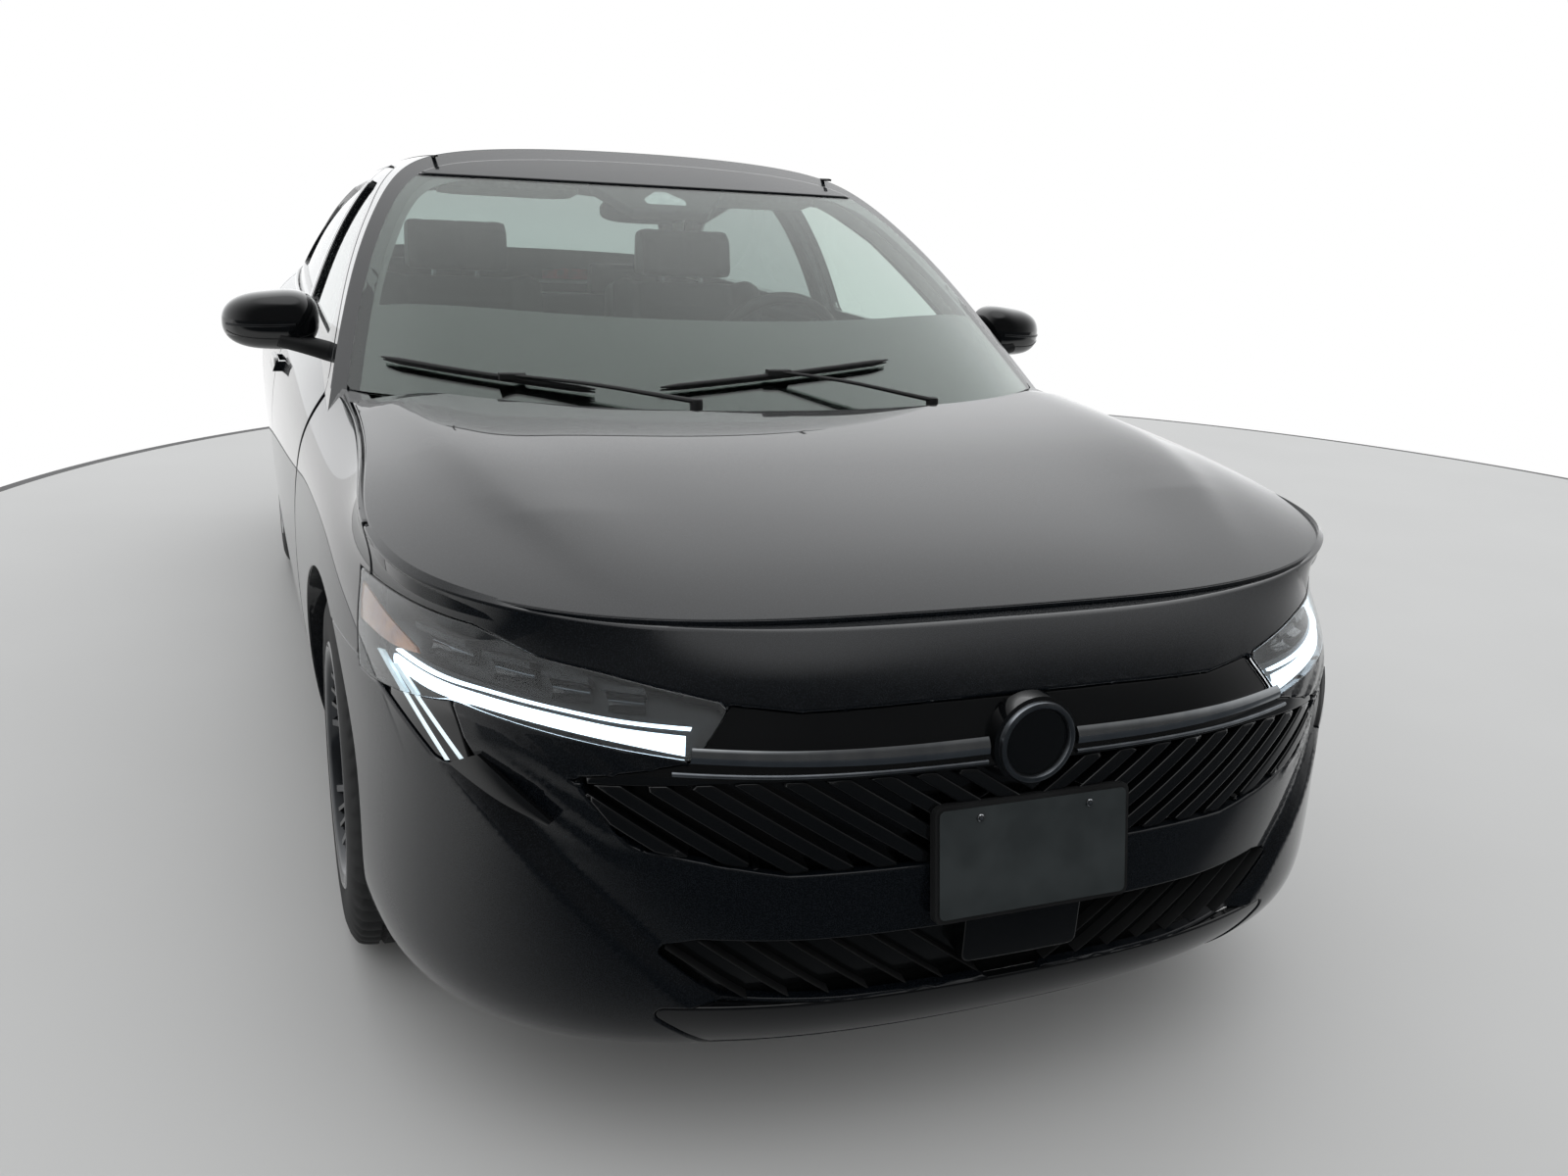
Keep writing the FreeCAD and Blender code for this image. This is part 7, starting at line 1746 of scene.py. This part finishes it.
def steering_wheel():
    """Rim, spokes and boss of the steering wheel."""
    rake = math.radians(24.0)
    hub, axis = np.array([.362, along(1.393), .935]), np.array([0, math.cos(rake), math.sin(rake)])
    flat_x, flat_z = np.array([1.0, 0, 0]), np.array([0, -math.sin(rake), math.cos(rake)])
    turn = np.linspace(0, 2 * math.pi, 72, endpoint=False)
    rim = [hub + (flat_x * math.cos(a) + flat_z * math.sin(a)) * .180 for a in turn]
    grip = [.0155 + .0012 * math.cos(3 * a) for a in turn]
    parts = [tube_part(rim, grip, 14, True, up=tuple(axis))]
    for a in (0.06, math.pi - 0.06, -math.pi / 2 - .10, -math.pi / 2 + .10):
        arm = through([hub + (flat_x * math.cos(a) + flat_z * math.sin(a)) * r + axis * d
                       for r, d in ((.050, .004), (.11, .004), (.175, 0))], 10)
        parts.append(tube_part(arm, np.linspace(.020, .011, 10), 12, flat=(1, .45), up=tuple(axis)))
    u, v = oval(36, 2.8)
    boss = ((-.040, .55), (-.036, .8), (-.010, .95), (.006, 1.0), (.014, .93), (.018, .7), (.019, .2))
    parts.append(loft_part([np.array([hub + flat_x * a * .078 * s + flat_z * b * .062 * s + axis * d
                                      for a, b in zip(u, v)]) for d, s in boss]))
    piece = solid_piece("steering_rim", parts, [MATERIALS["leather"], MATERIALS["piano"]], "steering_wheel",
                        50, slots=[0, 1, 1, 1, 1, 0])
    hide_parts("steering_wheel")


def overhead():
    """Camera housing, inside mirror and sun visors."""
    wide = outline([(-.215, .955, .3), (-.105, .906, .5), (.105, .906, .5), (.215, .955, .3)], "front")
    eye = fitted_skin(WINDSCREEN, wide, .010, lift=-.0075, roll=.003, thick=.020)
    layer_piece("camera_housing", eye, MATERIALS["plastic"], BODY)
    glint = outline([(-.085, .9165, .2), (-.015, .9370, .3), (.015, .9370, .3), (.085, .9165, .2)], "front")
    layer_piece("camera_window", fitted_skin(WINDSCREEN, glint, .008, lift=-.0062, roll=.001, thick=.001),
                MATERIALS["reflector"], BODY)
    mirror = [slab_part((0, -.300, 1.300), (.115, .013, .029), 3.2, -.25),
              tube_part([(0, -.306, 1.306), (0, -.345, 1.330), (0, -.375, 1.350)], .008, 12)]
    solid_piece("inside_mirror", mirror, MATERIALS["piano"], BODY, 50)
    visors = [slab_part((x, -.195, 1.338), (.175, .009, .070), 6, 1.42) for x in (-.33, .33)]
    solid_piece("sun_visors", visors, MATERIALS["liner_cloth"], BODY, 50)


class SEDAN_OT_cabin(bpy.types.Operator):
    """Makes the headliner, pillar and door trims, carpet, dashboard, steering wheel and inside mirror"""
    bl_idname = "sedan.cabin"
    bl_label = "Cabin"

    def execute(self, context):
        for step in (lining, door_cards, carpets, dashboard, steering_wheel, overhead):
            step()
        return {"FINISHED"}


def line_normals(line):
    """Normals of a closed line, pointing outward."""
    runs = np.roll(line, -1, 0) - np.roll(line, 1, 0)
    area = np.sum(line[:, 0] * np.roll(line[:, 1], -1) - np.roll(line[:, 0], -1) * line[:, 1])
    normals = np.stack([runs[:, 1], -runs[:, 0]], 1) * np.sign(area)
    return normals / np.linalg.norm(normals, axis=1, keepdims=True)


def cushion_part(line, wide, middle, fullness=7.0, bolster=0.0, bolster_from=0.66, face=(0, 1), seams=(),
                 rows=44, channels=()):
    """A stuffed form: a side outline (y, z) carried across, drawn in at its ends, with bolsters and seams."""
    line = np.array(line)
    normals = line_normals(line)
    centre = line.mean(axis=0)
    front = np.clip(normals @ np.array(face), 0, 1) ** 0.7
    lengths = np.cumsum(np.linalg.norm(np.diff(line, axis=0, append=line[:1]), axis=1))
    rings = []
    for s in -np.cos(np.linspace(0, math.pi, rows + 1)):
        draw = max(0.02, max(0.0, 1 - abs(s) ** fullness) ** (1 / fullness))
        t = (abs(s) - bolster_from) / (1 - bolster_from)
        swell = bolster * math.sin(min(1, t * 1.25) * math.pi * 0.72) if t > 0 else 0.0
        groove = sum(0.006 * math.exp(-((s - seam) * wide / 2 / 0.0045) ** 2) for seam in seams)
        ditch = np.zeros(len(line))
        for c in channels if abs(s) < bolster_from else ():
            ditch = ditch + 0.005 * np.exp(-((lengths / lengths[-1] - c) * lengths[-1] / 0.006) ** 2)
        out = line + normals * (front * (swell - groove - ditch))[:, None]
        near = (0.86 + 0.14 * draw) * (1.0 if draw > 0.3 else 0.55 + 1.5 * draw)
        ring = centre + (out - centre) * near
        rings.append(np.column_stack([np.full(len(line), middle + s * wide / 2), ring]))
    return loft_part(rings)


def evened(line, step=0.009):
    """A closed line with its points spaced evenly."""
    line = np.array(line)
    ring = np.concatenate([line, line[:1]])
    lengths = np.concatenate([[0], np.cumsum(np.linalg.norm(np.diff(ring, axis=0), axis=1))])
    t = np.linspace(0, lengths[-1], max(12, round(lengths[-1] / step)) + 1)[:-1]
    return np.stack([np.interp(t, lengths, ring[:, k]) for k in range(2)], 1)


def side_line(shares, radius, step=0.009, inset=0.004):
    """A side outline's points, evenly spaced and drawn in."""
    line = evened(rounded_line([(along(s), h * HIGH, radius) for s, h in shares]), step)
    return line - line_normals(line) * inset


SEAT_MIDDLE, SEAT_WIDE, BENCH_WIDE = 0.36, 0.492, 1.18
SEAT_CUSHION_SHARES = [
    (1.440, .215), (1.425, .290), (1.432, .338), (1.475, .350), (1.600, .325), (1.620, .215)]
SEAT_BACK_SHARES = [
    (1.588, .300), (1.668, .700), (1.680, .752), (1.722, .742), (1.718, .640), (1.655, .300), (1.640, .230),
    (1.598, .230)]
HEAD_REST_SHARES = [(1.672, .757), (1.682, .842), (1.697, .862), (1.722, .855), (1.722, .757)]
BENCH_CUSHION_SHARES = [(1.806, .2300), (1.790, .330), (1.806, .347), (1.905, .330), (1.925, .2300)]
BENCH_BACK_SHARES = [
    (1.906, .326), (1.940, .600), (1.952, .686), (1.984, .686), (1.984, .2540), (1.930, .2540)]
REAR_REST_SHARES = [(1.955, .680), (1.954, .745), (1.962, .762), (1.980, .754), (1.982, .680)]


def stuffed(name, parts):
    """A padded piece in leather."""
    piece = solid_piece(name, parts, MATERIALS["leather"], BODY, 60)
    return piece


class SEDAN_OT_seats(bpy.types.Operator):
    """Makes the front seats and the rear bench as stuffed leather with bolsters and sewn channels"""
    bl_idname = "sedan.seats"
    bl_label = "Seats"

    def execute(self, context):
        up_forward, forward = (-0.25, 0.97), (-0.98, 0.2)
        for side, sign in SIDES:
            middle = sign * SEAT_MIDDLE
            cushion = cushion_part(side_line(SEAT_CUSHION_SHARES, 0.035), SEAT_WIDE, middle, 8, 0.024,
                                   face=up_forward, seams=(-.60, .60, 0.0), channels=(0.62, 0.72, 0.82, 0.92))
            back = cushion_part(side_line(SEAT_BACK_SHARES, 0.030), SEAT_WIDE, middle, 6, 0.026,
                                face=forward, seams=(-.60, .60), channels=(0.16, 0.26, 0.36, 0.46, 0.56))
            rest = cushion_part(side_line(HEAD_REST_SHARES, 0.030, 0.007, 0.003), 0.290, middle, 4, 0.006,
                                face=forward, seams=(0.0,))
            posts = [tube_part([(middle + p, along(1.7015), .730 * HIGH),
                                (middle + p, along(1.7015), .785 * HIGH)], 0.007)
                     for p in (-0.065, 0.065)]
            base = box_part((middle - 0.19, along(1.465), .1462 * HIGH),
                            (middle + 0.19, along(1.605), .235 * HIGH))
            piece = stuffed("front_seat_cushion_" + side, [cushion])
            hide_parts("front_seats")
            stuffed("front_seat_back_" + side, [back])
            stuffed("front_head_rest_" + side, [rest])
            solid_piece("head_rest_posts_" + side, posts, MATERIALS["chrome"], BODY, 40)
            solid_piece("seat_frame_" + side, [base], MATERIALS["plastic"], BODY, 30, 0.012)
        cushion = cushion_part(side_line(BENCH_CUSHION_SHARES, 0.030), BENCH_WIDE, 0, 14, 0.012, .9,
                               up_forward, seams=(-.93, -.36, .36, .93, -.24, .24), rows=80,
                               channels=(0.55, 0.68))
        back = cushion_part(side_line(BENCH_BACK_SHARES, 0.022), BENCH_WIDE, 0, 14, 0.012, .9, forward,
                            seams=(-.93, -.30, .30, .93, -.08, .08), rows=80, channels=(0.2, 0.32, 0.44))
        piece = stuffed("bench_cushion", [cushion])
        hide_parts("rear_seat")
        stuffed("bench_back", [back])
        rests = [cushion_part(side_line(REAR_REST_SHARES, 0.018, 0.006, 0.002), 0.25, sign * SEAT_MIDDLE,
                              4, 0.004, face=forward, rows=24) for sign in (1, -1)]
        stuffed("rear_head_rests", rests)
        return {"FINISHED"}


# Profiles of a wheel: along the axle from the tyre's middle, and radius
WHEEL_RIM = [
    (-.1015, .1995), (-.1015, .2215), (-.0955, .2218), (-.093, .2085), (.088, .2080), (.0925, .2215),
    (.1000, .2225), (.1022, .2190), (.1015, .2120), (.0955, .2045), (.070, .1985), (.060, .1965),
    (-.06, .1900), (-.095, .1930)]
WHEEL_HUB = [
    (.040, 0), (.040, .058), (.066, .060), (.0700, .056), (.0715, .050), (.0700, .0335), (.0660, .0310),
    (.0665, 0)]
WHEEL_CAP = [(.060, 0), (.060, .0295), (.0705, .0295), (.0735, .0270), (.0745, .020), (.0750, 0)]
WHEEL_NUT = [(.062, 0), (.062, .0095), (.0760, .0090), (.0800, .0060), (.0805, 0)]
BRAKE_DISC = [
    (.003, .062), (.003, .139), (.0095, .139), (.0095, .1315), (.0125, .1315), (.0125, .139),
    (.0190, .139), (.0190, .085), (.040, .082), (.040, .062)]
TYRE_WALL = [
    (-.088, .2085), (-.0985, .2160), (-.1020, .2350), (-.1025, .2600), (-.1005, .2830), (-.0950, .3010),
    (-.0890, .3120), (-.0840, .3180), (-.0760, .3215), (-.0660, .3235)]
TYRE_TREAD = [
    (-.0530, .3248), (-.0510, .3180), (-.0430, .3180), (-.0410, .3254), (-.0210, .3258), (-.0190, .3180),
    (-.0110, .3180), (-.0090, .3259), (.0090, .3259), (.0110, .3180), (.0190, .3180), (.0210, .3258),
    (.0410, .3254), (.0430, .3180), (.0510, .3180), (.0530, .3248)]
SPOKE_START, SPOKE_END = .046, .1985
# Halves of the split spokes: turn from the middle at the hub and at the rim, half width there, and slot
SPOKES = ((.12, .30, .0125, .0085, 0), (.05, .085, .0080, .0055, 1))


def wheel_parts(sign, y):
    """Rim, split spokes, cap, nuts, valve and brake disc of one wheel, and the slot of each one's finish."""
    centre = (sign * WHEEL_MIDDLE, y, AXLE_HIGH)
    out = lambda x: centre[0] + sign * x

    def spoke(a0, a1, half0, half1):
        """A tapering arm from the hub to the rim, turning from angle a0 to a1."""
        rings = []
        for t in np.linspace(0, 1, 9):
            r = SPOKE_START + (SPOKE_END - SPOKE_START) * t
            a = a0 + (a1 - a0) * t ** 1.3
            half = half0 + (half1 - half0) * t
            face = .0690 + .0230 * t ** 1.6 - .010 * math.sin(math.pi * t)
            back = face - (.034 - .012 * t)
            rad, tan = np.array([math.cos(a), math.sin(a)]), np.array([-math.sin(a), math.cos(a)])
            ring = []
            for w, x in ((-half, back), (-half, face - .004), (-half * .72, face), (half * .72, face),
                         (half, face - .004), (half, back)):
                q = rad * r + tan * w
                ring.append((out(x), y + q[0], AXLE_HIGH + q[1]))
            rings.append(ring)
        return loft_part(rings)

    made = [(turned_part(line, centre, 0, sides, sign), slot)
            for line, sides, slot in ((WHEEL_RIM, 96, 0), (WHEEL_HUB, 48, 0), (WHEEL_CAP, 40, 1))]
    for k in range(5):
        middle = 2 * math.pi * k / 5 + math.pi / 2
        for start, end, wide, narrow, slot in SPOKES:
            for turn in (-1, 1):
                made.append((spoke(middle + turn * start, middle + turn * end, wide, narrow), slot))
        a = middle + math.pi / 5
        place = (centre[0], y + .0435 * math.cos(a), AXLE_HIGH + .0435 * math.sin(a))
        made.append((turned_part(WHEEL_NUT, place, 0, 6, sign), 2))
    a = math.pi / 2 + math.pi / 5
    valve = tube_part([(out(x), y + r * math.cos(a), AXLE_HIGH + r * math.sin(a))
                       for x, r in ((.075, .192), (.096, .180))], .0032, 8)
    made += [(valve, 3), (turned_part(BRAKE_DISC, centre, 0, 64, sign), 2)]
    return zip(*made)


def tyre_part(sign, y):
    """A tyre with grooved tread, sipes and plain side walls."""
    whole = TYRE_WALL + TYRE_TREAD + [(-x, r) for x, r in reversed(TYRE_WALL)]
    sides = 240
    points = []
    for k in range(sides):
        a = 2 * math.pi * k / sides
        for x, r in whole:
            shoulder = abs(x) > .050
            if shoulder and r >= .3120 and k % 4 == 0:
                r -= .0055
            elif not shoulder and r > .3225 and k % 6 == (0 if x > 0 else 3):
                r -= .0040
            b = a + (x + .1) * 1.2 * (1 if shoulder else 0.4) * 0.35
            points.append((sign * (WHEEL_MIDDLE + x), y + r * math.cos(b), AXLE_HIGH + r * math.sin(b)))
    return points, ring_faces(sides, len(whole))


class SEDAN_OT_wheels(bpy.types.Operator):
    """Makes the alloy wheels, brake discs and grooved tyres"""
    bl_idname = "sedan.wheels"
    bl_label = "Wheels"

    def execute(self, context):
        finishes = [MATERIALS[k] for k in ("alloy", "piano", "iron", "plastic")]
        for end, y in (("front", FRONT_AXLE), ("rear", REAR_AXLE)):
            for side, sign in SIDES:
                name = end + "_" + side
                parts, kinds = wheel_parts(sign, y)
                piece = solid_piece("alloy_" + name, parts, finishes, "wheel_" + name, 40, slots=kinds)
                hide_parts("wheel_" + name)
                piece = solid_piece("tread_" + name, [tyre_part(sign, y)], MATERIALS["rubber"],
                                    "wheel_" + name, 50)
                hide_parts("tyre_" + name)
        return {"FINISHED"}


EDGE_MIDDLE, EDGE_RADIUS, EDGE_LINE = (2.06, .91, 0.0), 4.42, 0.035
CAMERA_PLACE, CAMERA_LENS = (-1.0021, -3.7519, 1.3270), 30.51
CAMERA_YAW, CAMERA_PITCH, CAMERA_ROLL = math.radians(22.80), math.radians(-15.89), math.radians(2.94)
PURE_WHITE = (1, 1, 1, 1)


def ray(tree, *kinds):
    """One for rays of the given kinds."""
    path = add_node(tree, "ShaderNodeLightPath")
    found = path.outputs["Is %s Ray" % kinds[0]]
    for kind in kinds[1:]:
        found = computed(tree, "MAXIMUM", found, path.outputs["Is %s Ray" % kind])
    return found


def tinted(tree, factor, colour, hex_colour):
    """A colour that goes over to a hex value with a factor."""
    mix = add_node(tree, "ShaderNodeMix", {"data_type": "RGBA"}, {0: factor, 6: colour})
    mix.inputs[7].default_value = linear(hex_colour)
    return mix.outputs[2]


def floor_paint():
    """Matt pale floor paint up to a thin dark line, a white ground beyond it, and a painted dark reflection
    ahead of the car.
    """
    m, t, s = new_material("matt_floor_paint", {"Roughness": 0.5})
    place = place_of(t)
    away = add_node(t, "ShaderNodeVectorMath", {"operation": "DISTANCE"}, {0: place})
    away.inputs[1].default_value = EDGE_MIDDLE
    rearward = add_node(t, "ShaderNodeSeparateXYZ", links={0: place}).outputs["Y"]
    beside = mapped(t, rearward, (-1.2, 0.3))

    def from_edge(kind, level, width=0.0):
        """Where the floor's edge is met, faded out towards the front."""
        edge = add_node(t, "ShaderNodeMath", {"operation": kind}, {0: away.outputs["Value"]})
        edge.inputs[1].default_value, edge.inputs[2].default_value = level, width
        return computed(t, "MULTIPLY", edge.outputs[0], beside)

    noise = add_node(t, "ShaderNodeTexNoise", {"Scale": 1.1, "Detail": 2.0}, {"Vector": place})
    pale = two_tone(t, noise.outputs["Fac"], "#BEBEBD", "#C6C6C5")
    lined = tinted(t, from_edge("COMPARE", EDGE_RADIUS, EDGE_LINE), pale, "#2A2A2B")
    # Painted dark reflection: ahead of the car the floor turns dark blue-grey only for glossy rays, so the
    # car's paint reflects a darker floor there
    ahead = computed(t, "MULTIPLY", ray(t, "Glossy"), mapped(t, rearward, (-1.8, -2.8)))
    t.links.new(tinted(t, ahead, lined, "#20262C"), s.inputs["Base Color"])
    glow = add_node(t, "ShaderNodeEmission", {"Color": PURE_WHITE, "Strength": 1.0})
    ground = add_node(t, "ShaderNodeBsdfDiffuse", {"Color": linear("#E4E4E4")})
    beyond = blended(t, ray(t, "Camera", "Glossy", "Transmission"), ground.outputs[0], glow.outputs[0])
    whole = blended(t, from_edge("GREATER_THAN", EDGE_RADIUS + 0.02), s.outputs[0], beyond)
    t.links.new(whole, t.nodes["Material Output"].inputs["Surface"])
    return m


def soft_room():
    """Soft light for matt surfaces, a room bright at the back for shiny ones, and plain white behind all."""
    world = bpy.data.worlds.new("soft_room")
    world.use_nodes = True
    t = world.node_tree
    t.nodes.clear()
    way = add_node(t, "ShaderNodeSeparateXYZ",
                   links={0: add_node(t, "ShaderNodeTexCoord").outputs["Generated"]})

    def shell(axis, span, levels):
        """Light that goes from one level to another with the direction it comes from."""
        level = mapped(t, way.outputs[axis], span, levels)
        return add_node(t, "ShaderNodeBackground", {"Color": linear("#FBFCFD")},
                        {"Strength": level}).outputs[0]

    soft = shell("Z", (0.2, 0.97), (1.04, 1.14))
    sides = shell("Y", (-0.70, 0.75), (0.05, 1.30))
    ceiling = shell("Z", (0.82, 0.97), (0.6, 1.0))
    room = blended(t, mapped(t, way.outputs["Z"], (0.82, 0.95)), sides, ceiling)
    backdrop = add_node(t, "ShaderNodeBackground", {"Color": PURE_WHITE, "Strength": 1.0})
    lit = blended(t, ray(t, "Glossy"), soft, room)
    whole = blended(t, ray(t, "Camera", "Transmission"), lit, backdrop.outputs[0])
    add_node(t, "ShaderNodeOutputWorld", links={"Surface": whole})
    return world


def photo_camera():
    ahead = Vector((math.sin(CAMERA_YAW) * math.cos(CAMERA_PITCH),
                    math.cos(CAMERA_YAW) * math.cos(CAMERA_PITCH),
                    math.sin(CAMERA_PITCH)))
    right = ahead.cross(Vector((0, 0, 1))).normalized()
    up = right.cross(ahead)
    right_rolled = right * math.cos(CAMERA_ROLL) + up * math.sin(CAMERA_ROLL)
    up_rolled = up * math.cos(CAMERA_ROLL) - right * math.sin(CAMERA_ROLL)
    data = bpy.data.cameras.new("photo_camera")
    data.sensor_width, data.lens = 36.0, CAMERA_LENS
    data.clip_start, data.clip_end = 0.05, 200
    camera = bpy.data.objects.new("photo_camera", data)
    turn = Matrix((right_rolled, up_rolled, -ahead)).transposed()
    camera.matrix_world = Matrix.Translation(CAMERA_PLACE) @ turn.to_4x4()
    return camera


class SEDAN_OT_stage(bpy.types.Operator):
    """Makes the floor with its round edge, the soft studio light and the camera"""
    bl_idname = "sedan.stage"
    bl_label = "Stage"

    def execute(self, context):
        floor = solid_piece("floor", [box_part((-30, -30, -0.05), (30, 30, 0))], floor_paint(), None)
        context.scene.world = soft_room()
        camera = photo_camera()
        context.scene.collection.objects.link(camera)
        context.scene.camera = camera
        context.scene.view_settings.view_transform = "Standard"
        return {"FINISHED"}


class SEDAN_PT_panel(bpy.types.Panel):
    """Lists the steps that dress the car"""
    bl_idname = "SEDAN_PT_panel"
    bl_label = "Sedan car"
    bl_space_type = "VIEW_3D"
    bl_region_type = "UI"
    bl_category = "Sedan"

    def draw(self, context):
        for name in ("paint_code", "flake_code", "skin_spacing", "lamp_depth"):
            self.layout.prop(context.scene.sedan_looks, name)
        for step in STEPS:
            self.layout.operator(step.bl_idname)


STEPS = (SEDAN_OT_materials, SEDAN_OT_skin, SEDAN_OT_glass, SEDAN_OT_front, SEDAN_OT_lamps, SEDAN_OT_trim,
         SEDAN_OT_cabin, SEDAN_OT_seats, SEDAN_OT_wheels, SEDAN_OT_stage)
CLASSES = (SedanLooks,) + STEPS + (SEDAN_PT_panel,)


def register():
    for one in CLASSES:
        bpy.utils.register_class(one)
    bpy.types.Scene.sedan_looks = bpy.props.PointerProperty(type=SedanLooks)


def unregister():
    del bpy.types.Scene.sedan_looks
    for one in reversed(CLASSES):
        bpy.utils.unregister_class(one)


def main():
    register()
    for step in STEPS:
        group, name = step.bl_idname.split(".")
        getattr(getattr(bpy.ops, group), name)()


if __name__ == "__main__":
    main()
